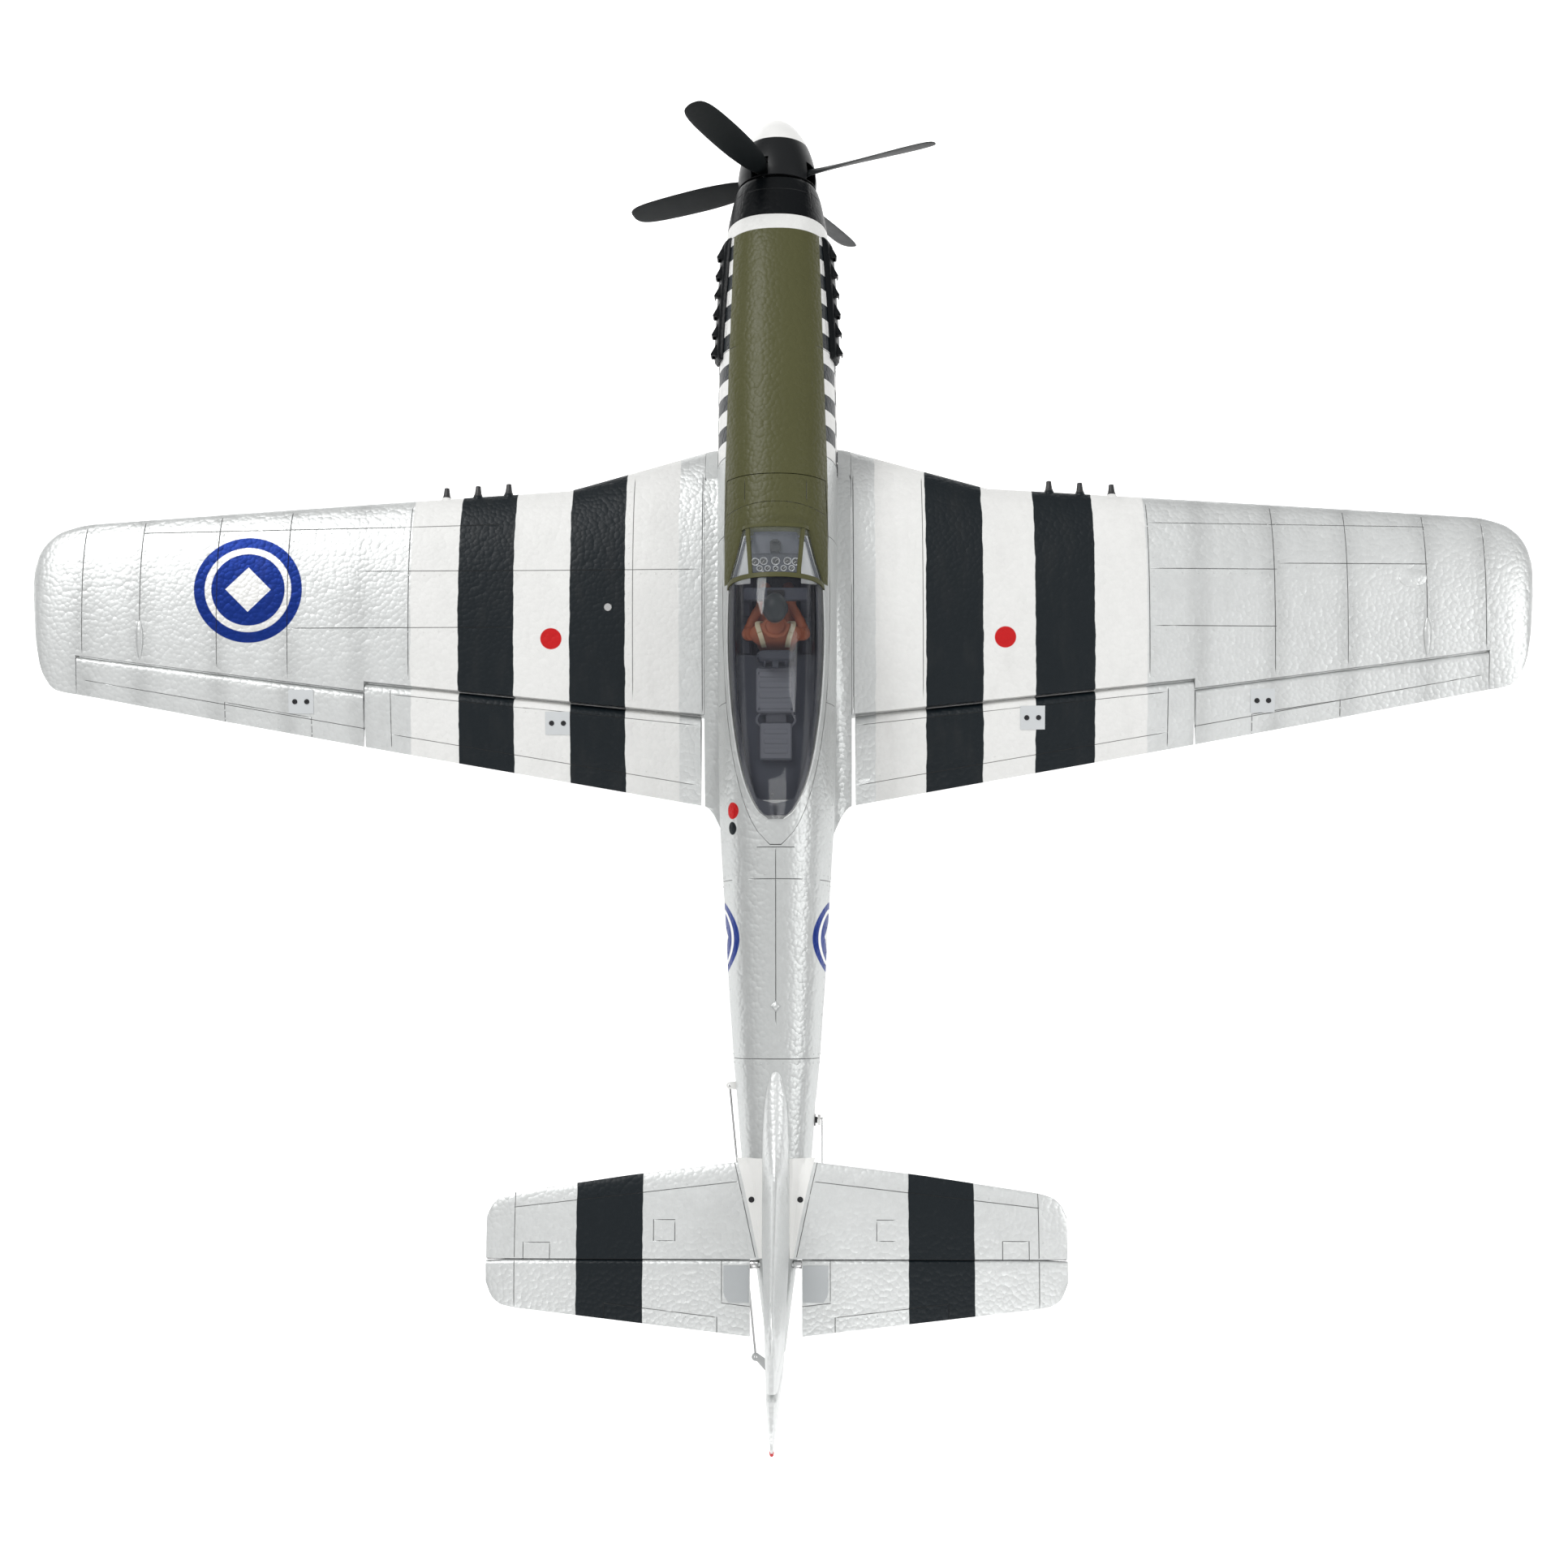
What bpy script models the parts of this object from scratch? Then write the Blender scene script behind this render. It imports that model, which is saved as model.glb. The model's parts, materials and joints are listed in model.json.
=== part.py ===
# Radio-controlled foam warbird, 1.2 m span, standing on its wheels.
# All shapes are drawn in the aircraft's own frame (mm): +Y forward along the thrust
# line, +X right wing, +Z up. A root empty pitches that frame nose-up onto three wheels.
import bpy
import bmesh
import math
from collections import namedtuple
from mathutils import Matrix, Vector

MM = 0.001                   # one millimetre in scene units


def vec(x, y, z):
    return Vector((x, y, z))


# ---------------------------------------------------------------- dimensions (mm)
GAP = 0.3                    # clearance between touching pieces
SKIN = 5.0                   # fuselage foam wall
FORWARD = vec(0, 1, 0)

# wing
SPAN_HALF = 600.0
ROOT_X = 60.0                # joint between wing panel and fuselage stub
ROOT_FRONT, ROOT_REAR = 284.5, -12.3    # leading and trailing edge at the joint
DIHEDRAL = 5.0               # degrees
INCIDENCE = 1.0              # degrees
WING_Z = -50.0               # chord plane height on the centre line
SPAR_Y, SPAR_Z, SPAR_R, SPAR_HALF = 140.0, -46.0, 4.0, 120.0
GUN_X = (223.0, 248.0, 273.5)

# nose and propeller
COWL_FRONT, COWL_REAR = 490.0, 455.0
SPINNER_Y, SPINNER_R, SPINNER_TIP = 493.0, 32.5, 554.0
PROP_Y, PROP_R = 502.0, 140.0
BLADES, BLADE_LEAN = 4, 26.5            # count, degrees of the first blade from vertical

# tail
STAB_Z = 27.0
STAB_REAR = -361.8
ELEV_Y, ELEV_Z = -366.0, STAB_Z         # elevator hinge axis
FIN_REAR = -431.4
RUDDER_Y = -438.0                       # rudder hinge axis

# landing gear
GEAR_X, GEAR_Y, GEAR_Z = 190.0, 205.0, -42.0      # leg pivot
GEAR_PIVOT = vec(GEAR_X, GEAR_Y, GEAR_Z)
AXLE_Z, WHEEL_R, WHEEL_W = -180.0, 36.0, 20.0
WHEEL_IN = 15.0                         # wheel centre inboard of the leg
TAIL_AXLE_Y, TAIL_AXLE_Z, TAIL_R, TAIL_W = -330.0, -86.0, 13.0, 9.0

# control linkages
HORN_HEIGHT, FLAP_HORN_HEIGHT = 16.0, 20.0        # pivot distance of horns and arms
WIRE_R, HOLE_R = 0.8, 1.15

# three-point attitude from the two wheel sizes and axle positions
AXLE_RUN, AXLE_RISE = GEAR_Y - TAIL_AXLE_Y, TAIL_AXLE_Z - AXLE_Z
GROUND = (math.asin((WHEEL_R - TAIL_R) / math.hypot(AXLE_RUN, AXLE_RISE))
          + math.atan2(AXLE_RISE, AXLE_RUN))
LIFT = -(GEAR_Y * math.sin(GROUND) + AXLE_Z * math.cos(GROUND)) + WHEEL_R
SHIFT_Y = -24.15             # puts the middle of the length over the origin


# ---------------------------------------------------------------- scene
def clear_scene():
    for item in list(bpy.data.objects):
        bpy.data.objects.remove(item, do_unlink=True)
    for mesh in list(bpy.data.meshes):
        bpy.data.meshes.remove(mesh)


def add_frame():
    """Empty that carries every piece and sets the parked attitude."""
    frame = bpy.data.objects.new("aircraft_frame", None)
    frame.rotation_euler = (GROUND, 0.0, 0.0)
    frame.location = (0.0, SHIFT_Y * MM, LIFT * MM)
    bpy.context.scene.collection.objects.link(frame)
    bpy.context.view_layer.update()
    return frame


clear_scene()
FRAME = add_frame()

# ---------------------------------------------------------------- materials
# finish: (base colour, roughness, metallic)
FINISHES = {
    "foam_silver": ((0.61, 0.63, 0.64), 0.55, 0.0),
    "foam_black": ((0.02, 0.022, 0.025), 0.6, 0.0),
    "plastic_black": ((0.012, 0.012, 0.013), 0.4, 0.0),
    "plastic_white": ((0.82, 0.82, 0.80), 0.35, 0.0),
    "clear_canopy": ((0.75, 0.80, 0.82), 0.05, 0.0),
    "cockpit_grey": ((0.22, 0.26, 0.29), 0.6, 0.0),
    "pilot_brown": ((0.20, 0.11, 0.06), 0.75, 0.0),
    "rubber_black": ((0.02, 0.02, 0.02), 0.8, 0.0),
    "steel_wire": ((0.62, 0.62, 0.62), 0.3, 1.0),
    "alloy": ((0.72, 0.73, 0.75), 0.35, 1.0),
    "carbon": ((0.03, 0.03, 0.035), 0.35, 0.0),
    "battery_wrap": ((0.02, 0.05, 0.25), 0.35, 0.0),
}


def add_material(piece_name, finish):
    colour, roughness, metallic = FINISHES[finish]
    material = bpy.data.materials.new(piece_name + "_" + finish)
    material.use_nodes = True
    shader = material.node_tree.nodes["Principled BSDF"]
    shader.inputs["Base Color"].default_value = (*colour, 1.0)
    shader.inputs["Roughness"].default_value = roughness
    shader.inputs["Metallic"].default_value = metallic
    material.diffuse_color = (*colour, 1.0)
    return material


# ---------------------------------------------------------------- pieces
# A shape is a pair (vertices in mm, faces); a piece is an object made from one.
SHARP_ANGLE = math.radians(35.0)


def shade(piece):
    for face in piece.data.polygons:
        face.use_smooth = True
    piece.data.set_sharp_from_angle(angle=SHARP_ANGLE)


def add_piece(name, shape, finish=None):
    verts, faces = shape
    mesh = bpy.data.meshes.new(name)
    mesh.from_pydata([Vector(v) * MM for v in verts], [], faces)
    bm = bmesh.new()
    bm.from_mesh(mesh)
    bmesh.ops.remove_doubles(bm, verts=bm.verts, dist=1e-6)
    bmesh.ops.dissolve_degenerate(bm, dist=1e-7, edges=bm.edges)
    bmesh.ops.recalc_face_normals(bm, faces=bm.faces)
    if bm.calc_volume(signed=True) < 0:
        bmesh.ops.reverse_faces(bm, faces=bm.faces)
    bm.to_mesh(mesh)
    bm.free()
    piece = bpy.data.objects.new(name, mesh)
    bpy.context.scene.collection.objects.link(piece)
    piece.parent = FRAME
    if finish:
        mesh.materials.append(add_material(name, finish))
    shade(piece)
    return piece


def combine(target, shapes, operation):
    """Applies one Boolean per shape to the target, in order."""
    tools = [add_piece("tool", shape) for shape in shapes]
    bpy.context.view_layer.update()
    materials = list(target.data.materials)
    for tool in tools:
        modifier = target.modifiers.new("cut", "BOOLEAN")
        modifier.operation = operation
        modifier.solver = "EXACT"
        modifier.object = tool
    depsgraph = bpy.context.evaluated_depsgraph_get()
    depsgraph.update()
    mesh = bpy.data.meshes.new_from_object(target.evaluated_get(depsgraph), depsgraph=depsgraph)
    target.modifiers.clear()
    old_mesh = target.data
    target.data = mesh
    bpy.data.meshes.remove(old_mesh)
    mesh.materials.clear()
    for material in materials:
        mesh.materials.append(material)
    for face in mesh.polygons:
        face.material_index = 0
    bm = bmesh.new()
    bm.from_mesh(mesh)
    bmesh.ops.remove_doubles(bm, verts=bm.verts, dist=2e-6)
    bmesh.ops.dissolve_degenerate(bm, dist=2e-6, edges=bm.edges)
    bm.to_mesh(mesh)
    bm.free()
    for tool in tools:
        bpy.data.objects.remove(tool, do_unlink=True)
    shade(target)


def cut(target, shapes):
    combine(target, shapes, "DIFFERENCE")


def join(target, shapes):
    combine(target, shapes, "UNION")


def set_origin(piece, origin):
    """Moves a piece's origin without moving its surface."""
    shift = Vector(origin) * MM - piece.location
    piece.data.transform(Matrix.Translation(-shift))
    piece.location = Vector(origin) * MM


# ---------------------------------------------------------------- shapes
def bridge(loops):
    """Closed loops of equal length joined by quads, ends open."""
    n = len(loops[0])
    verts = [point for loop in loops for point in loop]
    faces = []
    for k in range(len(loops) - 1):
        a, b = k * n, (k + 1) * n
        for i in range(n):
            j = (i + 1) % n
            faces.append((a + i, a + j, b + j, b + i))
    return verts, faces


def loft(loops):
    """Bridged loops with strip caps that pair point i with point n-1-i."""
    n = len(loops[0])
    verts, faces = bridge(loops)
    for base in (0, (len(loops) - 1) * n):
        for i in range(n // 2 - 1 + (n % 2)):
            quad = [base + i, base + i + 1, base + n - 2 - i, base + n - 1 - i]
            quad = list(dict.fromkeys(quad))
            if len(quad) > 2:
                faces.append(tuple(quad))
    return verts, faces


def polygon_loft(loops):
    """Bridged loops with one polygon over each end."""
    n = len(loops[0])
    verts, faces = bridge(loops)
    for base in (0, (len(loops) - 1) * n):
        faces.append(tuple(range(base, base + n)))
    return verts, faces


def shell_loft(outer, inner):
    """A wall between two open skins given as rows of points."""
    return loft([list(o) + list(reversed(i)) for o, i in zip(outer, inner)])


def axes_about(axis):
    """Two unit vectors square to the axis, and the unit axis itself."""
    along = Vector(axis).normalized()
    up = vec(0, 0, 1)
    if abs(along.dot(up)) > 0.98:
        up = vec(0, 1, 0)
    across = up.cross(along).normalized()
    return across, along.cross(across).normalized(), along


def revolve(profile, centre, axis, segments, ring=False, phase=0.0):
    """profile: (radius, distance along axis). A ring profile is a closed loop."""
    across, upward, along = axes_about(axis)
    centre = Vector(centre)
    verts, rings = [], []
    for radius, distance in profile:
        if radius < 1e-9:
            rings.append([len(verts)] * segments)
            verts.append(centre + along * distance)
            continue
        rings.append(list(range(len(verts), len(verts) + segments)))
        for i in range(segments):
            angle = phase + 2 * math.pi * i / segments
            verts.append(centre + along * distance + across * (radius * math.cos(angle))
                         + upward * (radius * math.sin(angle)))
    faces = []
    count = len(profile)
    for k in range(count if ring else count - 1):
        near, far = rings[k], rings[(k + 1) % count]
        for i in range(segments):
            j = (i + 1) % segments
            face = list(dict.fromkeys((near[i], near[j], far[j], far[i])))
            if len(face) > 2:
                faces.append(tuple(face))
    return verts, faces


def rod(start, end, radius, segments=16):
    span = Vector(end) - Vector(start)
    profile = [(0, 0), (radius, 0), (radius, span.length), (0, span.length)]
    return revolve(profile, start, span, segments)


def tube(path, radius, segments=10):
    """A round wire along a path with mitred corners."""
    headings = [(b - a).normalized() for a, b in zip(path, path[1:])]
    loops = []
    across = None
    for k, point in enumerate(path):
        before = headings[max(k - 1, 0)]
        heading = headings[min(k, len(headings) - 1)]
        mitre = (before + heading).normalized()
        if across is None:
            across = axes_about(heading)[0]
        else:
            across = (across - heading * across.dot(heading)).normalized()
        upward = heading.cross(across).normalized()
        loop = []
        for i in range(segments):
            angle = 2 * math.pi * i / segments
            offset = across * (radius * math.cos(angle)) + upward * (radius * math.sin(angle))
            slide = offset.dot(mitre) / max(0.2, heading.dot(mitre))
            loop.append(point + offset - heading * slide)
        loops.append(loop)
    return polygon_loft(loops)


def block(centre, size, x_axis=(1, 0, 0), y_axis=(0, 1, 0), z_axis=(0, 0, 1)):
    centre = Vector(centre)
    x_axis, y_axis, z_axis = Vector(x_axis), Vector(y_axis), Vector(z_axis)
    verts = []
    for k in (-0.5, 0.5):
        for i, j in ((-0.5, -0.5), (0.5, -0.5), (0.5, 0.5), (-0.5, 0.5)):
            verts.append(centre + x_axis * (i * size[0]) + y_axis * (j * size[1])
                         + z_axis * (k * size[2]))
    faces = [(3, 2, 1, 0), (4, 5, 6, 7), (0, 1, 5, 4), (1, 2, 6, 5), (2, 3, 7, 6), (3, 0, 4, 7)]
    return verts, faces


def prism(outline, low, high, place=vec):
    """An outline swept from low to high; place(u, v, height) gives each point."""
    n = len(outline)
    verts = [place(u, v, height) for height in (low, high) for u, v in outline]
    faces = [tuple(reversed(range(n))), tuple(range(n, 2 * n))]
    faces += [(i, (i + 1) % n, n + (i + 1) % n, n + i) for i in range(n)]
    return verts, faces


def ellipsoid(centre, radii, segments=16, bands=10):
    profile = [(math.sin(math.pi * k / bands) if 0 < k < bands else 0.0,
                -math.cos(math.pi * k / bands)) for k in range(bands + 1)]
    verts, faces = revolve(profile, (0, 0, 0), (0, 0, 1), segments)
    return [vec(*(p[i] * radii[i] + centre[i] for i in range(3))) for p in verts], faces


def mirror(shape, side):
    """The shape itself on the right (side +1), its mirror image on the left (-1)."""
    verts, faces = shape
    if side > 0:
        return verts, faces
    return [vec(-p[0], p[1], p[2]) for p in verts], [tuple(reversed(f)) for f in faces]


def side_tag(side):
    return "right" if side > 0 else "left"


def half_circle(count=9):
    """Angles from 0 to pi."""
    return [math.pi * i / (count - 1) for i in range(count)]


def cosine_steps(count):
    """0 to 1, crowded towards both ends."""
    return [0.5 - 0.5 * math.cos(angle) for angle in half_circle(count)]


# ---------------------------------------------------------------- table reading
def smooth(table, x, column):
    """Monotone cubic reading of a table sorted by falling first column."""
    if x >= table[0][0]:
        return table[0][column]
    if x <= table[-1][0]:
        return table[-1][column]
    for k in range(len(table) - 1):
        if table[k][0] >= x >= table[k + 1][0]:
            break
    x1, x2 = table[k][0], table[k + 1][0]
    y1, y2 = table[k][column], table[k + 1][column]

    def slope(a, b, c):
        s1 = (b[column] - a[column]) / (b[0] - a[0])
        s2 = (c[column] - b[column]) / (c[0] - b[0])
        return 0.0 if s1 * s2 <= 0 else 2 * s1 * s2 / (s1 + s2)

    chord = (y2 - y1) / (x2 - x1)
    slope1 = slope(*table[k - 1:k + 2]) if k > 0 else chord
    slope2 = slope(*table[k:k + 3]) if k < len(table) - 2 else chord
    h = x2 - x1
    t = (x - x1) / h
    return ((2 * t ** 3 - 3 * t ** 2 + 1) * y1 + (t ** 3 - 2 * t ** 2 + t) * h * slope1
            + (-2 * t ** 3 + 3 * t ** 2) * y2 + (t ** 3 - t ** 2) * h * slope2)


def linear(table, x, column):
    """Straight-line reading of a rising table, extended past both ends."""
    if x <= table[0][0]:
        a, b = table[0], table[1]
    else:
        a, b = table[-2], table[-1]
        for k in range(len(table) - 1):
            if table[k][0] <= x <= table[k + 1][0]:
                a, b = table[k], table[k + 1]
                break
    t = (x - a[0]) / (b[0] - a[0])
    return a[column] + (b[column] - a[column]) * t


# ---------------------------------------------------------------- fuselage outline
# y, half width, top z, bottom z, z of greatest width
BODY = [
    (490, 33.2, 32.4, -45, -7), (488, 34.4, 33.5, -47, -7), (470, 38.9, 37.9, -51, -8),
    (455, 41.5, 41, -55, -8), (442, 42.6, 43, -57, -9), (400, 45.2, 47, -62, -10),
    (345, 47.7, 51, -66, -10), (283, 48.4, 55, -70, -10), (235, 48.4, 58, -72, -10),
    (192, 48.2, 60, -73, -10), (148, 48.0, 58.5, -73, -10), (100, 47.6, 56, -73, -10),
    (50, 47.0, 53, -71, -9), (0, 46.0, 50.5, -67, -7), (-33, 45.0, 49, -62, -5),
    (-60, 43.4, 47, -58, -4), (-92, 41.4, 44.5, -53, -3), (-124, 39.4, 42.5, -47.5, -1),
    (-156, 37.7, 40.5, -42, 0), (-187, 35.4, 39, -37, 2), (-218, 33.1, 38, -32, 4),
    (-249, 30.1, 37.4, -27, 6), (-280, 27.6, 37, -22, 8), (-310, 24.2, 36.8, -17, 10),
    (-340, 19.5, 36.3, -12, 12), (-364, 16.0, 35, -8, 13), (-400, 11.0, 31, -3, 14),
    (-431, 7.0, 26, 2, 14),
]
BODY_POWER = 2.35            # superellipse exponent of the cross-section


def body_station(y, offset=0.0):
    """Half width, top z, bottom z and widest z of the skin moved outward by offset."""
    half_width, top, bottom, widest = (smooth(BODY, y, column) for column in range(1, 5))
    return half_width + offset, top + offset, bottom - offset, widest


def body_arc(y, offset, count, min_x, side=1.0):
    """Points down one side of the skin, from the top to the bottom."""
    half_width, top, bottom, widest = body_station(y, offset)
    power = 2.0 / BODY_POWER
    points = []
    for angle in half_circle(count):
        s, c = math.sin(angle), math.cos(angle)
        x = half_width * abs(s) ** power
        if c >= 0:
            z = widest + (top - widest) * c ** power
        else:
            z = widest - (widest - bottom) * (-c) ** power
        points.append(vec(side * max(x, min_x), y, z))
    return points


def superellipse(k):
    """Remaining fraction of one radius at fraction k of the other."""
    return max(0.0, 1 - min(1.0, k) ** BODY_POWER) ** (1 / BODY_POWER)


def body_skin_x(y, z, offset=0.0):
    """Half width of the skin at height z."""
    half_width, top, bottom, widest = body_station(y, offset)
    k = (z - widest) / (top - widest) if z > widest else (widest - z) / (widest - bottom)
    return half_width * superellipse(k)


def body_skin_z(y, x):
    """Height of the upper skin at distance x from the middle."""
    half_width, top, _, widest = body_station(y)
    return widest + (top - widest) * superellipse(abs(x) / half_width)


def body_solid(offset, front, rear, step):
    """Solid fuselage length, with its skin moved outward by offset."""
    count = max(2, int((front - rear) / step))
    loops = []
    for i in range(count + 1):
        right = body_arc(front + (rear - front) * i / count, offset, 13, 0.0)
        left = [vec(-p.x, p.y, p.z) for p in right]
        loops.append(right + list(reversed(left[1:-1])))
    return polygon_loft(loops)


# ---------------------------------------------------------------- wing outline
# x, leading edge y, trailing edge y, thickness ratio
WING = [
    (ROOT_X, ROOT_FRONT, ROOT_REAR, 0.150), (172, 249.5, 6.5, 0.142), (300, 238.0, 28.0, 0.132),
    (430, 226.0, 50.5, 0.122), (556, 214.0, 73.0, 0.112), (580, 207.0, 77.5, 0.100),
    (591, 198.0, 92.0, 0.085), (597, 188.0, 118.0, 0.070), (SPAN_HALF, 177.0, 148.0, 0.06),
]
WING_STATIONS = [ROOT_X + GAP, 115, 172, 235, 300, 390, 475,
                 556, 570, 580, 586, 591, 597, SPAN_HALF]
CAMBER, CAMBER_PLACE = 0.018, 0.38      # height and chord position of greatest camber

# hinge gap line of each control surface on the right wing
Surface = namedtuple("Surface", "inner_x inner_y outer_x outer_y")
FLAP = Surface(63.2, 61.5, 334.0, 86.0)
AILERON = Surface(335.5, 78.6, 563.0, 105.0)
SURFACES = {"aileron": AILERON, "flap": FLAP}


def naca_half(c, thickness):
    """Four-digit section half thickness at chord fraction c."""
    return 5 * thickness * (0.2969 * math.sqrt(c) - 0.126 * c - 0.3516 * c * c
                            + 0.2843 * c ** 3 - 0.1036 * c ** 4)


def camber(c):
    """Four-digit mean line at chord fraction c."""
    m, p = CAMBER, CAMBER_PLACE
    if c < p:
        return m / p ** 2 * (2 * p * c - c * c)
    return m / (1 - p) ** 2 * (1 - 2 * p + 2 * p * c - c * c)


def wing_point(x, y, face):
    """Skin point of the right wing; face +1 upper, -1 lower."""
    front, rear, thickness = (linear(WING, x, column) for column in (1, 2, 3))
    chord = front - rear
    c = min(1.0, max(0.0, (front - y) / chord))
    half = naca_half(c, thickness) * chord + 0.6 * c
    base = (WING_Z + x * math.tan(math.radians(DIHEDRAL))
            + (y - (front - 0.3 * chord)) * math.tan(math.radians(INCIDENCE)))
    return vec(x, y, base + camber(c) * chord + face * half)


def wing_section(x, front, rear):
    """Upper skin from the rear forward, then lower skin back."""
    steps = cosine_steps(12)
    upper = [wing_point(x, front - (front - rear) * c, 1) for c in reversed(steps)]
    lower = [wing_point(x, front - (front - rear) * c, -1) for c in steps[1:]]
    return upper + lower


def gap_y(surface, x):
    return (surface.inner_y + (surface.outer_y - surface.inner_y)
            * (x - surface.inner_x) / (surface.outer_x - surface.inner_x))


def hinge_at(surface, x):
    """Hinge axis point and nose radius; the nose stays 0.5 behind the gap line."""
    y = gap_y(surface, x) - 6.0
    for _ in range(6):
        upper, lower = wing_point(x, y, 1), wing_point(x, y, -1)
        radius = (upper.z - lower.z) / 2
        y = gap_y(surface, x) - 0.5 - radius
    return vec(x, y, (upper.z + lower.z) / 2), radius


def surface_section(surface, x):
    hinge, radius = hinge_at(surface, x)
    rear = linear(WING, x, 2)
    upper = [wing_point(x, rear + (hinge.y - rear) * k, 1) for k in (0.0, 0.35, 0.7)]
    lower = [wing_point(x, rear + (hinge.y - rear) * k, -1) for k in (0.7, 0.35, 0.0)]
    nose = [vec(x, hinge.y + radius * math.sin(a), hinge.z + radius * math.cos(a))
            for a in half_circle()]
    return upper + nose + lower


# ---------------------------------------------------------------- control linkages
class Linkage:
    """Servo, arm, push rod and horn of one control surface.

    Arm and horn are equal and parallel, so the rod keeps its direction.
    Local axes: along the hinge, forward to the servo, and out along arm and horn.
    The skin is two (forward, out) points under the horn's foot, front and back.
    """

    def __init__(self, name, hinge, along, forward, out, pivot, height, servo_size, in_wing):
        self.name, self.hinge, self.pivot, self.height = name, hinge, pivot, height
        self.along, self.forward = along.normalized(), forward.normalized()
        self.out = out.normalized()
        self.length, self.width, self.depth = servo_size
        self.in_wing = in_wing
        self.skin = []

    def point(self, base, along, forward, out):
        return base + self.along * along + self.forward * forward + self.out * out

    def box(self, along, forward, out):
        """Block around the servo pivot from (low, high) pairs on the local axes."""
        spans = (along, forward, out)
        centre = self.point(self.pivot, *((low + high) / 2 for low, high in spans))
        size = tuple(high - low for low, high in spans)
        return block(centre, size, self.along, self.forward, self.out)

    def pockets(self):
        """Foam cutters for servo body and lugs; tail ones also clear the arm."""
        base, half = -self.depth - 5.4, self.width / 2 + 0.5
        lugs = ((-10.0, -6.8), (-11.5, self.length - 0.5))
        if self.in_wing:
            through = (-half, 40)
            return [self.box((base, 4.0), (-15, self.length - 6 + 0.6), through),
                    self.box(*lugs, through)]
        snug = (-half, half)
        return [self.box((base, 0), (-6.5, self.length - 5.5), snug),
                self.box(*lugs, snug),
                self.box((-3.2, 3.6), (-16, 16), (-8, 30))]

    def add_servo(self):
        sides = (-self.width / 2, self.width / 2)
        case = self.box((-self.depth - 5, -5), (-6, self.length - 6), sides)
        lugs = self.box((-9.6, -7.2), (-11, self.length - 1), sides)
        boss = [(0, -6), (4.6, -6), (4.6, -3.2), (2.4, -3.2), (2.4, -1.6), (0, -1.6)]
        servo = add_piece(self.name + "_servo", case, "plastic_black")
        join(servo, [lugs, revolve(boss, self.pivot, self.along, 20)])

    def add_arm(self):
        """Hub and tip circles joined, with a pin hole at the tip."""
        hub_r, tip_r = 4.0, 2.6
        outline = [(hub_r * math.cos(math.pi + a), hub_r * math.sin(math.pi + a))
                   for a in half_circle()]
        outline += [(tip_r * math.cos(a), self.height + tip_r * math.sin(a))
                    for a in half_circle()]
        shape = prism(outline, -1.3, 0.7,
                      lambda x, y, z: self.point(self.pivot, z, x, y))
        arm = add_piece(self.name + "_arm", shape, "plastic_white")
        tip = self.point(self.pivot, 0, 0, self.height)
        cut(arm, [rod(tip - self.along * 4, tip + self.along * 4, HOLE_R, 14)])
        set_origin(arm, self.pivot)

    def add_push_rod(self):
        """Wire from arm tip to horn eye, bent in through both holes."""
        tip = self.point(self.pivot, 0, 0, self.height)
        eye = self.point(self.hinge, 0, 0, self.height)
        inner, outer = self.along * 1.9, self.along * 2.2
        wire = add_piece(self.name + "_rod",
                         tube([tip - inner, tip + outer, eye + outer, eye - inner], WIRE_R),
                         "steel_wire")
        set_origin(wire, tip)

    def add_horn(self):
        """Foot under the skin and a blade with the pin hole."""
        (front, front_out), (back, back_out) = self.skin
        slope = (back_out - front_out) / (back - front)
        height, eye_r = self.height, 3.0

        def off_skin(x, distance):
            return x, front_out + slope * (x - front) + distance

        def place(x, y, z):
            return self.point(self.hinge, z, x, y)

        foot = [off_skin(front, 0.4), off_skin(front, 1.7), off_skin(back, 1.7),
                off_skin(back, 0.4)]
        blade = [off_skin(front - 0.6, 0.8), (eye_r, height - 1.0)]
        blade += [(eye_r * math.cos(a), height + eye_r * math.sin(a))
                  for a in half_circle(7)[1:-1]]
        blade += [(-eye_r, height - 1.0), off_skin(back + 0.6, 0.8)]
        horn = add_piece(self.name + "_horn", prism(foot, -7, 7, place), "plastic_black")
        join(horn, [prism(blade, -1.2, 0.6, place)])
        eye = self.point(self.hinge, 0, 0, height)
        cut(horn, [rod(eye - self.along * 5, eye + self.along * 5, HOLE_R + 0.1, 14)])
        set_origin(horn, self.hinge)

    def build(self):
        self.add_servo()
        self.add_arm()
        self.add_push_rod()
        self.add_horn()


def wing_linkage(kind, x, height, reach):
    """Linkage at signed station x, its servo pivot a given reach ahead of the hinge."""
    surface, side = SURFACES[kind], (1 if x > 0 else -1)
    inner, _ = hinge_at(surface, surface.inner_x + 5)
    outer, _ = hinge_at(surface, surface.outer_x - 5)
    along = (outer - inner).normalized()
    hinge = inner + along * ((abs(x) - inner.x) / along.x)
    forward = (FORWARD - along * FORWARD.dot(along)).normalized()
    out = forward.cross(along).normalized()
    if out.z > 0:
        out = -out

    def to_side(v):
        return vec(side * v.x, v.y, v.z)

    link = Linkage(kind + "_" + side_tag(side), to_side(hinge), to_side(along),
                   to_side(forward), to_side(out), to_side(hinge + forward * reach),
                   height, WING_SERVO, in_wing=True)
    for distance in (-2.0, -18.0):
        skin = to_side(wing_point(abs(x), link.hinge.y + distance, -1)) - link.hinge
        link.skin.append((skin.dot(link.forward), skin.dot(link.out)))
    return link


def elevator_linkage():
    link = Linkage("elevator", vec(33, ELEV_Y, ELEV_Z), vec(1, 0, 0), FORWARD, vec(0, 0, -1),
                   vec(33, -261, 5), HORN_HEIGHT, TAIL_SERVO, in_wing=False)
    link.skin = [(-2.0, 3.65), (-17.0, 2.9)]
    return link


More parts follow.
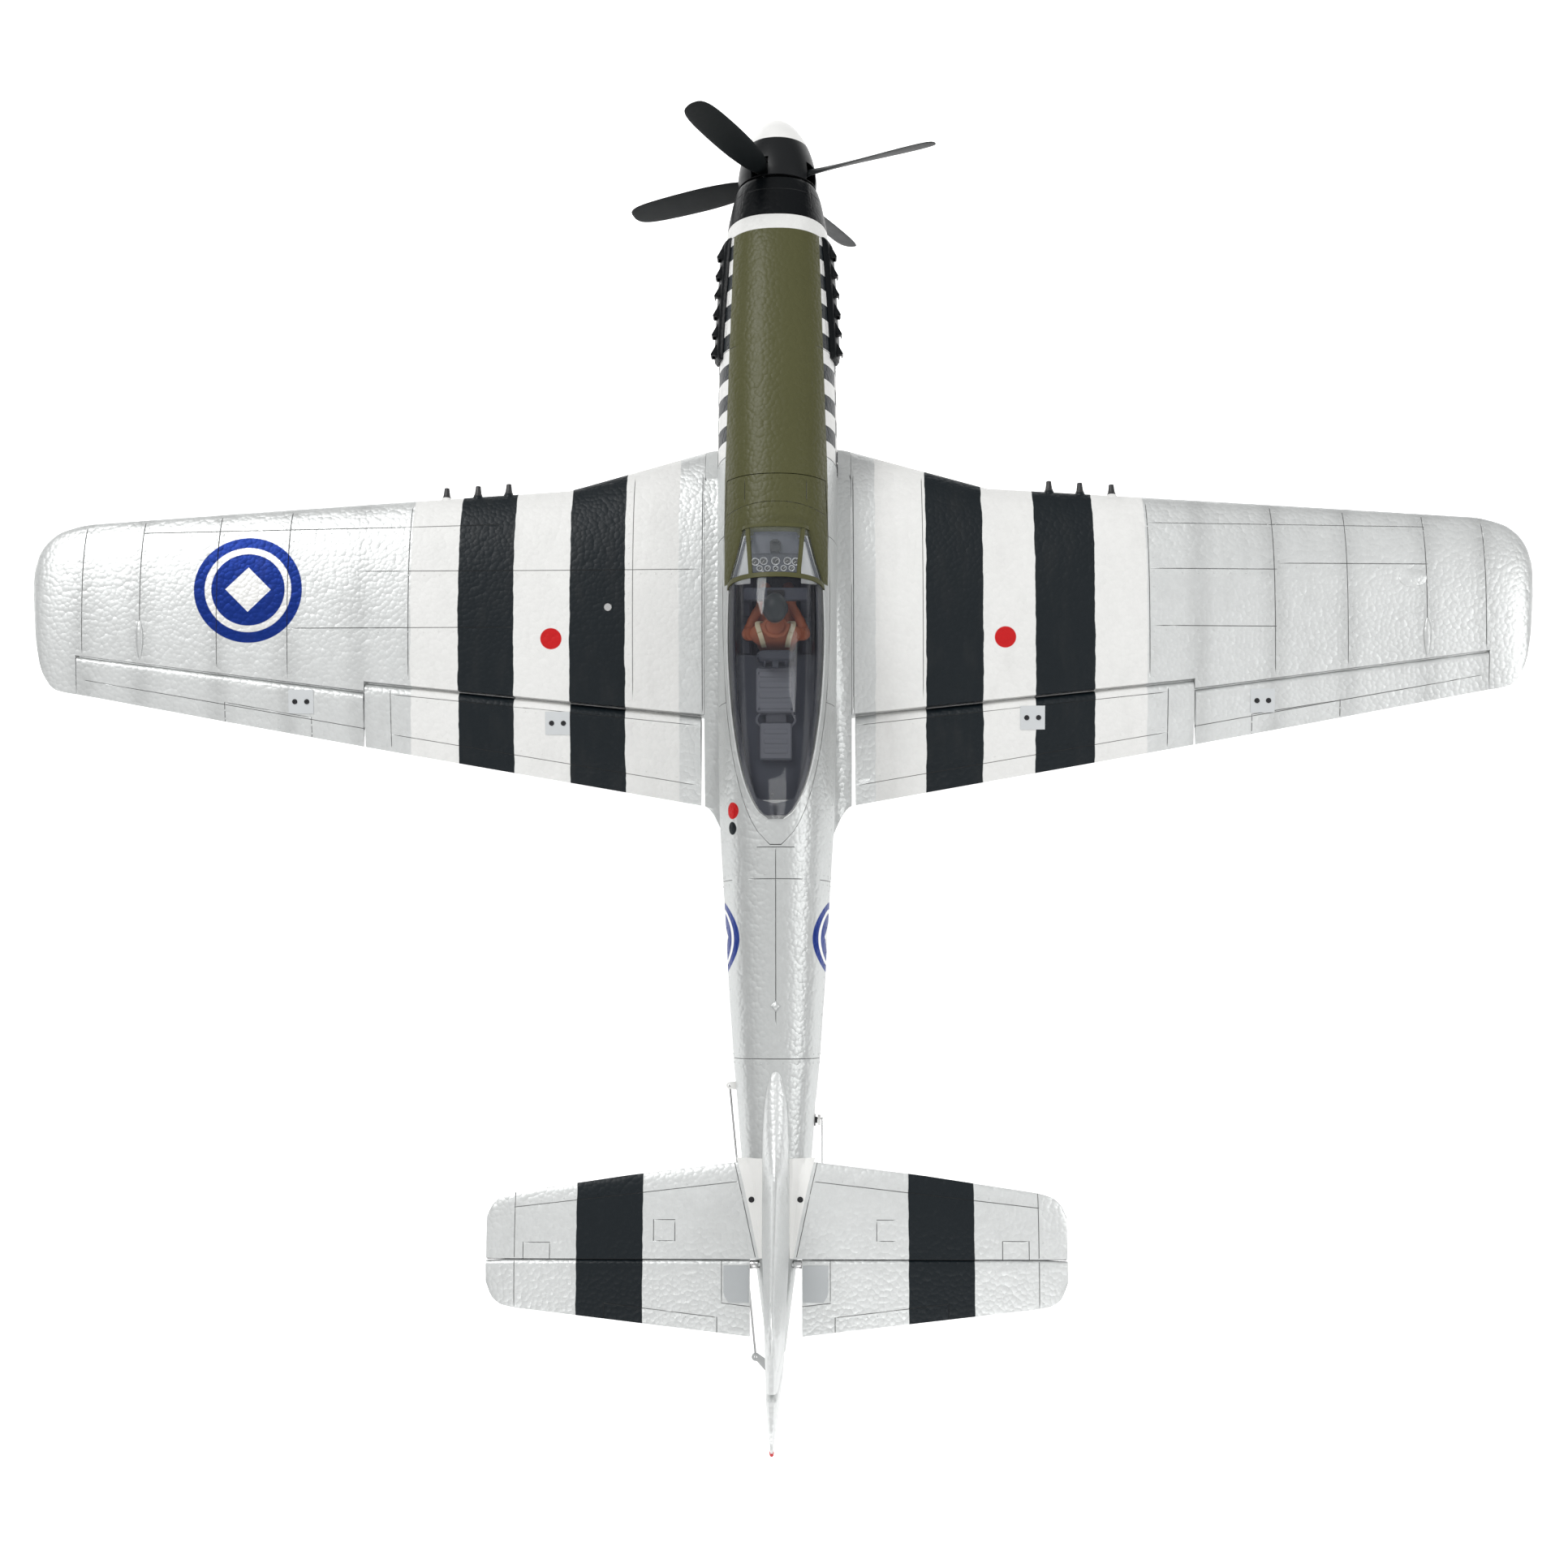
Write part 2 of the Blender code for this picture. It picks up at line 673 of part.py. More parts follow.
def rudder_linkage():
    link = Linkage("rudder", vec(0, RUDDER_Y, 3.0), vec(0, 0, -1), FORWARD, vec(-1, 0, 0),
                   vec(-20.5, -235, 3.0), HORN_HEIGHT, TAIL_SERVO, in_wing=False)
    link.skin = [(-2.0, 6.0), (-14.0, 4.6)]
    return link


# servo length, width, body depth
WING_SERVO = (23.0, 12.0, 22.0)
TAIL_SERVO = (20.0, 9.0, 18.0)
LINKS = {link.name: link for link in (
    wing_linkage("aileron", 391.0, HORN_HEIGHT, 50.0),
    wing_linkage("aileron", -384.0, HORN_HEIGHT, 50.0),
    wing_linkage("flap", 205.0, FLAP_HORN_HEIGHT, 56.0),
    wing_linkage("flap", -178.0, FLAP_HORN_HEIGHT, 56.0),
    elevator_linkage(),
    rudder_linkage(),
)}


# ---------------------------------------------------------------- wing panels
def wing_axes():
    """Unit vectors of the right wing: outboard along the dihedral, and up across it."""
    tilt = math.radians(DIHEDRAL)
    return vec(math.cos(tilt), 0, math.sin(tilt)), vec(-math.sin(tilt), 0, math.cos(tilt))


def retracted_wheel():
    """Right wheel centre with the gear up: the leg turned inboard to lie in the wing."""
    turn = math.radians(90.0 - DIHEDRAL)
    x, z = -WHEEL_IN, AXLE_Z - GEAR_Z
    return GEAR_PIVOT + vec(x * math.cos(turn) + z * math.sin(turn), 0,
                            -x * math.sin(turn) + z * math.cos(turn))


def gear_cutters():
    """Wheel well, leg slot and unit pocket, opened from below (right side)."""
    outboard, normal = wing_axes()
    well_r, well_top = WHEEL_R + 2.0, WHEEL_W / 2 + 1.5
    well = revolve([(0, -60), (well_r, -60), (well_r, well_top), (0, well_top)],
                   retracted_wheel(), normal, 32)
    slot = block(GEAR_PIVOT - outboard * 72 - normal * 24 - vec(0, 2.6, 0), (150, 22.4, 61.0),
                 outboard, FORWARD, normal)
    unit = block(GEAR_PIVOT + outboard * 6 - normal * 22.5, (47, 25, 62.0),
                 outboard, FORWARD, normal)
    return [well, slot, unit]


def surface_cutter(inner_x, surface):
    """Everything behind the hinge gap line of one control surface."""
    outer_x = surface.outer_x + 0.6
    return prism([(inner_x, -60), (outer_x, -60), (outer_x, gap_y(surface, outer_x)),
                  (inner_x, gap_y(surface, inner_x))], -90, 40)


def spar_hole(outer_x):
    return rod((-5, SPAR_Y, SPAR_Z), (outer_x, SPAR_Y, SPAR_Z), SPAR_R + GAP)


def gun_barrel(x):
    front = linear(WING, x, 1)
    z = wing_point(x, front, 1).z
    return rod((x, front - 12, z), (x, front + 9.0, z), 3.2, 12)


def build_wing(side):
    tag = side_tag(side)
    sections = [wing_section(x, linear(WING, x, 1), linear(WING, x, 2)) for x in WING_STATIONS]
    wing = add_piece("wing_" + tag, mirror(loft(sections), side), "foam_silver")
    cutters = [surface_cutter(50.0, FLAP), surface_cutter(AILERON.inner_x - 1.2, AILERON),
               spar_hole(SPAR_HALF + 1)] + gear_cutters()
    cutters = [mirror(shape, side) for shape in cutters]
    for kind in SURFACES:
        cutters += LINKS[kind + "_" + tag].pockets()
    cut(wing, cutters)
    join(wing, [mirror(gun_barrel(x), side) for x in GUN_X])


def build_wing_surface(kind, side):
    name = kind + "_" + side_tag(side)
    surface = SURFACES[kind]
    sections = [surface_section(surface, surface.inner_x
                                + (surface.outer_x - surface.inner_x) * k / 5)
                for k in range(6)]
    piece = add_piece(name, mirror(loft(sections), side), "foam_silver")
    set_origin(piece, LINKS[name].hinge)


def build_spar():
    add_piece("wing_spar_tube", rod((-SPAR_HALF, SPAR_Y, SPAR_Z), (SPAR_HALF, SPAR_Y, SPAR_Z),
                                    SPAR_R, 20), "carbon")


# ---------------------------------------------------------------- tail surfaces
# |x|, leading edge y
STAB_FRONT = [(0, -287.0), (30, -291.0), (110, -300.5), (194, -313.0), (207, -316.6),
              (214, -322.5), (218, -331.0)]
# |x|, trailing edge y
ELEV_REAR = [(0, -420.0), (15, -419.0), (192, -398.5), (205, -396.0), (213, -390.5),
             (218, -379.0)]
STAB_STATIONS = (-218, -214, -207, -200, -150, -80, -30, 0, 30, 80, 150, 200, 207, 214, 218)
ELEV_STATIONS = (19.5, 60, 110, 160, 200, 208, 213, 218)
ELEV_NOSE_R = 3.65
# z, leading edge y
FIN_FRONT = [(20, -190), (30, -204), (38, -222), (42, -243), (46, -262), (52, -283), (60, -299),
             (80, -318), (110, -345), (140, -372), (149, -381), (154, -390), (157, -404)]
# z, half thickness
FIN_HALF = [(20, 10.5), (60, 9.6), (110, 7.6), (149, 6.0), (154, 4.8), (157, 2.6)]
# z, trailing edge y
RUDDER_REAR = [(-3, -462), (8, -470), (40, -476), (80, -477), (130, -475), (148, -472),
               (154, -466), (156.5, -456)]
# z, nose radius
RUDDER_NOSE = [(-3, 5.2), (8, 6.0), (60, 6.0), (110, 4.9), (149, 4.0), (154, 3.2), (156.5, 1.8)]
FIN_STATIONS = (22, 30, 38, 42, 46, 52, 60, 80, 110, 140, 149, 152, 154, 156, 157)
RUDDER_STATIONS = (-3, 0, 8, 24, 40, 80, 110, 135, 148, 152, 154.5, 156.5)


def stab_section(x, offset=0.0):
    """Stabilizer section at x, grown by offset."""
    front = linear(STAB_FRONT, abs(x), 1)
    chord = front - linear(ELEV_REAR, abs(x), 1)
    thickness = 0.068 if abs(x) < 200 else 0.056
    front += offset
    rear = STAB_REAR - offset
    profile = []
    for i, step in enumerate(cosine_steps(9)):
        y = front - (front - rear) * step
        c = (front - y) / chord
        half = naca_half(c, thickness) * chord + 0.5 * c + (offset if i else 0)
        profile.append((y, half))
    upper = [vec(x, y, STAB_Z + half) for y, half in reversed(profile)]
    lower = [vec(x, y, STAB_Z - half) for y, half in profile[1:]]
    return upper + lower


def stab_slot(stations):
    return loft([stab_section(x, GAP) for x in stations])


def hinged_profile(rear, hinge_y, radius):
    """(y, offset) round a tail control surface: one face, round nose, other face."""
    edge = 0.8
    face = [(rear + (hinge_y - rear) * k, edge + (radius - edge) * k ** 0.85)
            for k in (0.0, 0.35, 0.7)]
    nose = [(hinge_y + radius * math.sin(a), radius * math.cos(a)) for a in half_circle()]
    return face + nose + [(y, -offset) for y, offset in reversed(face)]


def elevator_section(x):
    radius = ELEV_NOSE_R
    if abs(x) >= 200:
        radius -= 0.9 * (abs(x) - 200) / 18
    profile = hinged_profile(linear(ELEV_REAR, abs(x), 1), ELEV_Y, radius)
    return [vec(x, y, ELEV_Z + offset) for y, offset in profile]


def rudder_section(z):
    profile = hinged_profile(linear(RUDDER_REAR, z, 1), RUDDER_Y, linear(RUDDER_NOSE, z, 1))
    return [vec(offset, y, z) for y, offset in profile]


def fin_section(z):
    """Round leading edge, thinning towards the rudder nose at the rear."""
    front, half_max = linear(FIN_FRONT, z, 1), linear(FIN_HALF, z, 1)
    nose_r = linear(RUDDER_NOSE, z, 1)
    profile = []
    for step in cosine_steps(9):
        y = front - (front - FIN_REAR) * step
        s = (front - y) / 62.0
        half = half_max * math.sqrt(max(0.0, 1 - (1 - min(1.0, s)) ** 2))
        k = max(0.0, (-350 - y) / 82.0)
        profile.append((y, min(half, half_max + (nose_r - half_max) * min(1, k))))
    right = [vec(half, y, z) for y, half in reversed(profile)]
    left = [vec(-half, y, z) for y, half in profile[1:]]
    return right + left


def build_tail():
    add_piece("stabilizer", loft([stab_section(x) for x in STAB_STATIONS]), "foam_silver")

    elevator = add_piece("elevator", loft([elevator_section(x) for x in ELEV_STATIONS]),
                         "foam_silver")
    join(elevator, [loft([elevator_section(-x) for x in ELEV_STATIONS]),
                    rod((-24, ELEV_Y, ELEV_Z), (24, ELEV_Y, ELEV_Z), 1.7, 14)])
    set_origin(elevator, (0, ELEV_Y, ELEV_Z))

    rudder = add_piece("rudder", loft([rudder_section(z) for z in RUDDER_STATIONS]),
                       "foam_silver")
    set_origin(rudder, (0, RUDDER_Y, 0))

    fin = add_piece("fin", loft([fin_section(z) for z in FIN_STATIONS]), "foam_silver")
    cut(fin, [body_solid(GAP, -170, -450, 8.0), stab_slot((-30, 0, 30))])


# ---------------------------------------------------------------- hatch outline
# y, half width of the lift-off hatch seen from above
HATCH = [(235.5, 38.5), (148, 42.0), (109, 41.4), (66, 39.2), (26, 34.6), (-3, 28.8),
         (-25, 22.2), (-42, 13.6), (-52, 4.0)]
HATCH_FRONT, HATCH_REAR = HATCH[0][0], HATCH[-1][0]
HATCH_INNER = [192, 148, 109, 66, 46, 26, 10, -3, -14, -25, -34, -42, -48]
HATCH_DEPTH = 6.0            # joint below the skin at the hatch edge


def hatch_half(y):
    return smooth(HATCH, y, 1)


def hatch_floor(y):
    return body_skin_z(y, hatch_half(y)) - HATCH_DEPTH


def hatch_cutter():
    loops = []
    for y in [HATCH_FRONT + GAP] + HATCH_INNER + [HATCH_REAR - GAP]:
        half, z = hatch_half(y) + GAP, hatch_floor(y)
        loops.append([vec(-half, y, z), vec(half, y, z), vec(half, y, 120), vec(-half, y, 120)])
    return polygon_loft(loops)


# ---------------------------------------------------------------- fuselage
BODY_STATIONS = [COWL_REAR - GAP, 430, 400, 372, 345, 283, 235, 192, 148, 100, 50, 0, -33, -60,
                 -92, -124, -156, -187, -218, -249, -280, -310, -340, -364, -400, -431]


def wing_stub(side):
    """Centre section and wing root fillet, solid foam."""
    sections = []
    for x in (0.15, 20, 38, 42, 47, 53, ROOT_X):
        fillet = max(0.0, min(1.0, (ROOT_X - x) / 18.0))
        sections.append(wing_section(x, ROOT_FRONT, ROOT_REAR - 32.0 * fillet ** 1.6))
    return mirror(loft(sections), side)


def build_fuselage(side):
    """One hollow half shell; the right holds the elevator servo, the left the rudder's."""
    outer, inner = [], []
    for y in BODY_STATIONS:
        wall = min(SKIN, 0.42 * smooth(BODY, y, 1))
        outer.append(body_arc(y, 0.0, 12, 0.15, side))
        inner.append(body_arc(y, -wall, 12, 0.15, side))
    half = add_piece("fuselage_" + side_tag(side), shell_loft(outer, inner), "foam_silver")
    join(half, [wing_stub(side)])
    cutters = [hatch_cutter(), mirror(spar_hole(70), side)]
    cutters += [mirror(shape, side) for shape in gear_cutters()[:2]]
    cutters += [stab_slot((-45, -30, 0, 30, 45)),
                rod((-30, ELEV_Y, ELEV_Z), (30, ELEV_Y, ELEV_Z), 2.1, 14),
                block((0, TAIL_AXLE_Y, -20), (13.0, 33.0, 26.0))]
    cutters += LINKS["rudder" if side < 0 else "elevator"].pockets()
    cut(half, cutters)


def build_cowl():
    """Hollow nose ring, closed in front but for a shaft hole and an oval inlet below it."""
    cowl = add_piece("nose_cowl", body_solid(0.0, COWL_FRONT, COWL_REAR + GAP, 5.0),
                     "foam_black")
    angles = [math.pi * k / 10 for k in range(20)]
    inlet = [(16 * math.cos(a), -38.5 + 4.6 * math.sin(a)) for a in angles]
    cut(cowl, [body_solid(-4.0, COWL_FRONT - 4.5, COWL_REAR - 5, 8.0),
               rod((0, 480, 0), (0, 500, 0), 11.0, 28),
               prism(inlet, 470, 500, lambda x, z, y: vec(x, y, z))])


# radius, y
STATOR_PROFILE = [(14.6, 449), (14.6, 466), (3.2, 466), (3.2, 434), (26, 434), (26, 438),
                  (8, 438), (8, 449)]
BELL_PROFILE = [(0, 439), (2.5, 439), (2.5, 470), (15.3, 470), (15.3, 451), (17.3, 451),
                (17.3, 473), (8, 477), (2.5, 477), (2.5, 519), (0, 519)]


def build_motor():
    add_piece("motor_stator", revolve(STATOR_PROFILE, (0, 0, 0), FORWARD, 20, ring=True),
              "alloy")
    add_piece("motor_bell", revolve(BELL_PROFILE, (0, 0, 0), FORWARD, 20), "alloy")


def build_electronics():
    for name, centre, size, finish in (
            ("speed_controller", (0, 395, -20), (28, 58, 11), "plastic_black"),
            ("battery_pack", (0, 155, -4.0), (42, 132, 28), "battery_wrap"),
            ("receiver", (0, 30, -14), (26, 42, 13), "plastic_black")):
        box = add_piece(name, block(centre, size), finish)
        bevel = box.modifiers.new("edge", "BEVEL")
        bevel.width = 1.5 * MM
        bevel.segments = 2


# ---------------------------------------------------------------- propeller and spinner
# distance from the thrust line, chord, thickness, pitch in degrees
BLADE = [
    (9, 9.0, 7.0, 40), (20, 10.0, 6.5, 38), (32, 15.0, 4.6, 34), (46, 19.5, 3.6, 30),
    (64, 22.6, 3.0, 26), (86, 24.0, 2.6, 22), (108, 24.0, 2.2, 19), (125, 22.5, 1.9, 17),
    (136, 17.0, 1.7, 16), (PROP_R, 9.0, 1.4, 15),
]
BLADE_ANGLES = [math.radians(-BLADE_LEAN + 360.0 / BLADES * k) for k in range(BLADES)]


def blade_shape(angle):
    """Wide round-tipped blade standing off the hub at an angle from vertical."""
    radial = vec(math.sin(angle), 0, math.cos(angle))
    sideways = vec(math.cos(angle), 0, -math.sin(angle))
    loops = []
    for distance, chord, thickness, pitch in BLADE:
        pitch = math.radians(pitch)
        chord_axis = sideways * math.cos(pitch) + FORWARD * math.sin(pitch)
        normal = FORWARD * math.cos(pitch) - sideways * math.sin(pitch)
        loop = []
        for k in range(10):
            a = 2 * math.pi * (k + 0.5) / 10
            loop.append(vec(0, PROP_Y, 0) + radial * distance
                        + chord_axis * (chord / 2 * math.cos(a))
                        + normal * (thickness / 2 * math.sin(a)))
        loops.append(loop)
    return loft(loops)


def blade_slot(angle):
    """Opening in the spinner for one blade."""
    radial = vec(math.sin(angle), 0, math.cos(angle))
    return block(vec(0, PROP_Y - 1.0, 0) + radial * 34, (15.5, 15.5, 40),
                 radial.cross(FORWARD), FORWARD, radial)


def build_propeller():
    hub = [(2.8, 496), (12, 496), (12, 508), (2.8, 508)]
    propeller = add_piece("propeller", revolve(hub, (0, 0, 0), FORWARD, 28, ring=True),
                          "plastic_black")
    join(propeller, [blade_shape(angle) for angle in BLADE_ANGLES])
    set_origin(propeller, (0, PROP_Y, 0))


def build_spinner():
    """Hollow bullet open at the back, revolved about the thrust line."""
    rim = 5                  # length from the back edge to the start of the curve
    curve = []
    for k in range(11):
        s = k / 10.0
        curve.append((SPINNER_R * (1 - s ** 1.75) ** 0.56,
                      SPINNER_Y + rim + (SPINNER_TIP - SPINNER_Y - rim) * s))
    back_edge = (SPINNER_R - 0.5, SPINNER_Y)
    inner = [(0.0, SPINNER_TIP - 4.5)]
    inner += [(radius - 2.2, y - 1.2) for radius, y in reversed(curve[:9])]
    inner.append((SPINNER_R - 2.6, SPINNER_Y))
    profile = [back_edge] + curve + inner + [back_edge]
    spinner = add_piece("spinner", revolve(profile, (0, 0, 0), FORWARD, 26), "foam_black")
    cut(spinner, [blade_slot(angle) for angle in BLADE_ANGLES])
    set_origin(spinner, (0, SPINNER_Y, 0))


# ---------------------------------------------------------------- cockpit
# y, half width, top z of the canopy bubble
BUBBLE = [
    (193, 25.0, 66.0), (170, 31.0, 78.0), (148, 37.0, 87.5), (109, 38.0, 92.0),
    (66, 36.0, 87.0), (26, 31.2, 76.5), (-3, 24.6, 65.0), (-20, 17.6, 57.0),
    (-28, 12.4, 53.6), (-33, 5.5, 51.5),
]
CANOPY_STATIONS = [193, 182, 170, 148, 130, 109, 88, 66, 46, 26, 10, -3, -14, -22, -28, -33]
CANOPY_WALL = 1.3
COCKPIT_FRONT, COCKPIT_REAR = 183, -18
# z, half width, half depth, y of the pilot's bust
PILOT = [
    (14.0, 17, 10, 112), (22, 18, 12, 112), (34, 17, 10.5, 112), (44, 20, 10.5, 112),
    (52, 21, 10, 112), (58, 17, 8.5, 113), (62, 8, 6.5, 116), (66, 5.5, 5.5, 120),
    (70, 5.5, 5.5, 123),
]


def cockpit_outline(inset, end=0.0):
    """Plan outline inside the bubble, lengthened by end in front and behind."""
    stations = [COCKPIT_FRONT + end, 170, 148, 109, 66, 26, 5, -10, COCKPIT_REAR - end]
    right = [(smooth(BUBBLE, y, 1) - inset, y) for y in stations]
    return right + [(-x, y) for x, y in reversed(right)]


def build_hatch():
    top, under = [], []
    for y in [HATCH_FRONT] + HATCH_INNER + [HATCH_REAR]:
        half = hatch_half(y)
        row = []
        for i in range(13):
            point = vec(half * math.sin(math.pi / 2 * (2 * i / 12 - 1)), y, 0)
            point.z = body_skin_z(y, point.x)
            row.append(point)
        floor = hatch_floor(y) + GAP
        top.append(row)
        under.append([vec(p.x, p.y, floor) for p in row])
    hatch = add_piece("hatch_deck", shell_loft(top, under), "foam_silver")
    cut(hatch, [prism(cockpit_outline(4.2, 0.3), 10, 100)])


def build_tub():
    """Open cockpit tray with five blocks standing in it."""
    tub = add_piece("cockpit_tub", prism(cockpit_outline(4.5), 11, 41), "cockpit_grey")
    cut(tub, [prism(cockpit_outline(6.2, -1.7), 12.8, 60)])
    join(tub, [block((0, 171, 34.5), (40, 6, 45)),
               block((0, 66, 26), (30, 37, 28)),
               block((0, 28, 23), (22, 26, 22)),
               block((0, 90, 28), (28, 6, 33)),
               block((0, COCKPIT_FRONT - 9, 54), (26, 14, 10))])


def build_pilot():
    angles = [2 * math.pi * (k + 0.5) / 14 for k in range(14)]
    loops = [[vec(half_width * math.cos(a), y + half_depth * math.sin(a), z) for a in angles]
             for z, half_width, half_depth, y in PILOT]
    pilot = add_piece("pilot", loft(loops), "pilot_brown")
    join(pilot, [ellipsoid((0, 127, 74), (9.0, 10.5, 11.0))])


def canopy_row(y, inset):
    """Arch from the left edge over the top to the right edge."""
    half_width, top = smooth(BUBBLE, y, 1) - inset, smooth(BUBBLE, y, 2) - inset
    bottom = body_skin_z(y, half_width) + GAP
    power = 0.9
    row = []
    for i in range(13):
        angle = math.pi * (i / 12 - 0.5)
        s, c = math.sin(angle), max(0.0, math.cos(angle))
        row.append(vec(half_width * math.copysign(abs(s) ** power, s), y,
                       bottom + (top - bottom) * c ** power))
    return row


def build_canopy():
    outer = [canopy_row(y, 0.0) for y in CANOPY_STATIONS]
    inner = [canopy_row(y, CANOPY_WALL) for y in CANOPY_STATIONS]
    add_piece("canopy_glass", shell_loft(outer, inner), "clear_canopy")


# ---------------------------------------------------------------- fuselage fittings
EXHAUST_Y = [443, 437, 412, 386, 360, 347, 341]
EXHAUST_Z = [5, 8, 14, 20, 23]
STUB_FRONT_Y, STUB_PITCH, STUBS = 433.0, 16.4, 6
# y, half width, bottom z of the radiator scoop
SCOOP = [
    (113, 20, -101), (110, 21.5, -104), (95, 23, -109), (60, 24.5, -115), (20, 25, -117),
    (-20, 24.5, -115), (-60, 22.5, -108), (-100, 20, -97), (-135, 17, -83), (-152, 15.5, -76),
]


def exhaust_stub(y):
    x = body_skin_x(y, 14) + 2.6
    wedge = [(x, y + 6.0), (x, y - 5.2), (x + 5.0, y - 5.2), (x + 5.6, y - 4.2)]
    return prism(wedge, 9.4, 18.6)


def build_exhaust(side):
    """Raised strip on the skin, thinner at its edges, with a row of stubs."""
    outer, inner = [], []
    for y in EXHAUST_Y:
        ramp = 0.4 if y in (EXHAUST_Y[0], EXHAUST_Y[-1]) else 1.0
        skin = [(body_skin_x(y, z, GAP), z) for z in EXHAUST_Z]
        inner.append([vec(x, y, z) for x, z in skin])
        outer.append([vec(x + (1.2 if z in (EXHAUST_Z[0], EXHAUST_Z[-1]) else 4.0) * ramp + 0.2,
                          y, z) for x, z in skin])
    exhaust = add_piece("exhaust_" + side_tag(side), mirror(shell_loft(outer, inner), side),
                        "foam_black")
    join(exhaust, [mirror(exhaust_stub(STUB_FRONT_Y - STUB_PITCH * k), side)
                   for k in range(STUBS)])


def scoop_solid(rows, inset, top_offset):
    """U-shaped solid; its top lies top_offset above the fuselage bottom line."""
    loops = []
    for y, half_width, bottom in rows:
        top = smooth(BODY, y, 3) + top_offset
        loop = []
        for i in range(13):
            angle = math.pi * i / 12 - math.pi / 2
            s, c = math.sin(angle), max(0.0, math.cos(angle))
            x = (half_width - inset) * math.copysign(abs(s) ** 0.75, s)
            loop.append(vec(x, y, top + (bottom + inset - top) * c ** 0.6))
        loops.append(loop)
    return loft(loops)


def build_scoop():
    """Belly scoop, hollowed a little way in from the front and from the back."""
    front = [(120, *SCOOP[0][1:])] + SCOOP[1:3] + [(70, 23, -112)]
    back = SCOOP[-3:-1] + [(-160, *SCOOP[-1][1:])]
    scoop = add_piece("radiator_scoop", scoop_solid(SCOOP, 0.0, 12), "foam_silver")
    cut(scoop, [scoop_solid(front, 3.0, -5.0), scoop_solid(back, 3.0, -5.0),
                body_solid(GAP, 130, -170, 15.0)])


# ---------------------------------------------------------------- landing gear
def build_gear_leg(side):
    def below(y, drop):
        return GEAR_PIVOT + vec(0, y, -drop)

    strut = [(0, 0), (4.2, 0), (4.2, 80), (3.1, 80), (3.1, 126), (0, 126)]
    axle = [(0, 0), (2.0, 0), (2.0, 23.6), (3.6, 23.6), (3.6, 25.4), (0, 25.4)]
    leg = add_piece("gear_leg_" + side_tag(side),
                    mirror(revolve(strut, GEAR_PIVOT, (0, 0, -1), 20), side), "alloy")
    parts = [
        rod(below(-7.5, 0), below(7.5, 0), 5.2, 20),                # pivot barrel
        block(below(0, GEAR_Z - AXLE_Z - 4), (9.5, 10, 19)),        # axle block
        revolve(axle, (GEAR_X, GEAR_Y, AXLE_Z), (-1, 0, 0), 16),
        rod(below(0, 80), below(0, 86), 5.0, 20),                   # collar
        block(below(-7.5, 88), (5, 9, 3)),                          # link behind the leg
        block(below(-7.5, 122), (5, 9, 3)),
        block(below(-11, 105), (4, 2.4, 36)),
    ]
    join(leg, [mirror(part, side) for part in parts])
    set_origin(leg, (side * GEAR_X, GEAR_Y, GEAR_Z))


def build_retract_unit(side):
    """Block outboard of the leg with a lug on each side of the pivot."""
    outboard, normal = wing_axes()

    def wing_block(out, y, size):
        centre = GEAR_PIVOT + outboard * out + vec(0, y, 0) + normal * 1.2
        return mirror(block(centre, size, outboard, FORWARD, normal), side)

    unit = add_piece("retract_unit_" + side_tag(side), wing_block(17.5, 0, (21, 22, 10.5)),
                     "plastic_black")
    join(unit, [wing_block(0.5, 9.6 * k, (19, 2.8, 10.5)) for k in (-1, 1)])


def wheel_profile(radius, width, bore, segments):
    """Ring section; the tread is enlarged so that its flats lie at the true radius."""
    tread = radius / math.cos(math.pi / segments)
    half = [(bore, -0.40 * width), (0.26 * radius, -0.40 * width),
            (0.28 * radius, -0.25 * width), (0.56 * radius, -0.25 * width),
            (0.60 * radius, -0.36 * width), (0.68 * radius, -0.47 * width),
            (0.82 * radius, -0.50 * width), (0.93 * radius, -0.44 * width),
            (tread, -0.27 * width)]
    return half + [(r, -across) for r, across in reversed(half)]


def build_wheel(name, centre, radius, width, bore, segments):
    # the phase lays one flat of the tread on the ground
    phase = -math.pi / 2 - GROUND + math.pi / segments
    shape = revolve(wheel_profile(radius, width, bore, segments), centre, (1, 0, 0), segments,
                    ring=True, phase=phase)
    set_origin(add_piece(name, shape, "rubber_black"), centre)


def build_main_wheel(side):
    build_wheel("wheel_" + side_tag(side), (side * (GEAR_X - WHEEL_IN), GEAR_Y, AXLE_Z),
                WHEEL_R, WHEEL_W, bore=2.4, segments=28)


def build_tail_gear():
    """Upright leg ahead of the axle, with a fork, axle pin and top collar."""
    y, z = TAIL_AXLE_Y, TAIL_AXLE_Z
    leg_y = y + 9
    leg = add_piece("tail_leg", rod((0, leg_y, -9.5), (0, leg_y, z + 18), 2.6, 16), "alloy")
    parts = [block((0, y + 5, z + 17.5), (16.4, 14, 4.5))]
    parts += [block((k * 7.2, y + 1.5, z + 7.5), (2.0, 8, 22)) for k in (-1, 1)]
    parts += [rod((-7.4, y, z), (7.4, y, z), 1.3, 14),
              rod((0, leg_y, -12.0), (0, leg_y, -9.2), 4.6, 16)]
    join(leg, parts)
    set_origin(leg, (0, leg_y, -30))
    build_wheel("tail_wheel", (0, y, z), TAIL_R, TAIL_W, bore=1.6, segments=16)


# ---------------------------------------------------------------- build all
for side in (-1, 1):
    build_fuselage(side)
    build_wing(side)
    build_exhaust(side)
    build_gear_leg(side)
    build_retract_unit(side)
    build_main_wheel(side)
    for kind in SURFACES:
        build_wing_surface(kind, side)
build_cowl()
build_motor()
build_electronics()
build_propeller()
build_spinner()
build_spar()
build_scoop()
build_hatch()
build_tub()
build_pilot()
build_canopy()
build_tail_gear()
build_tail()
for link in LINKS.values():
    link.build()
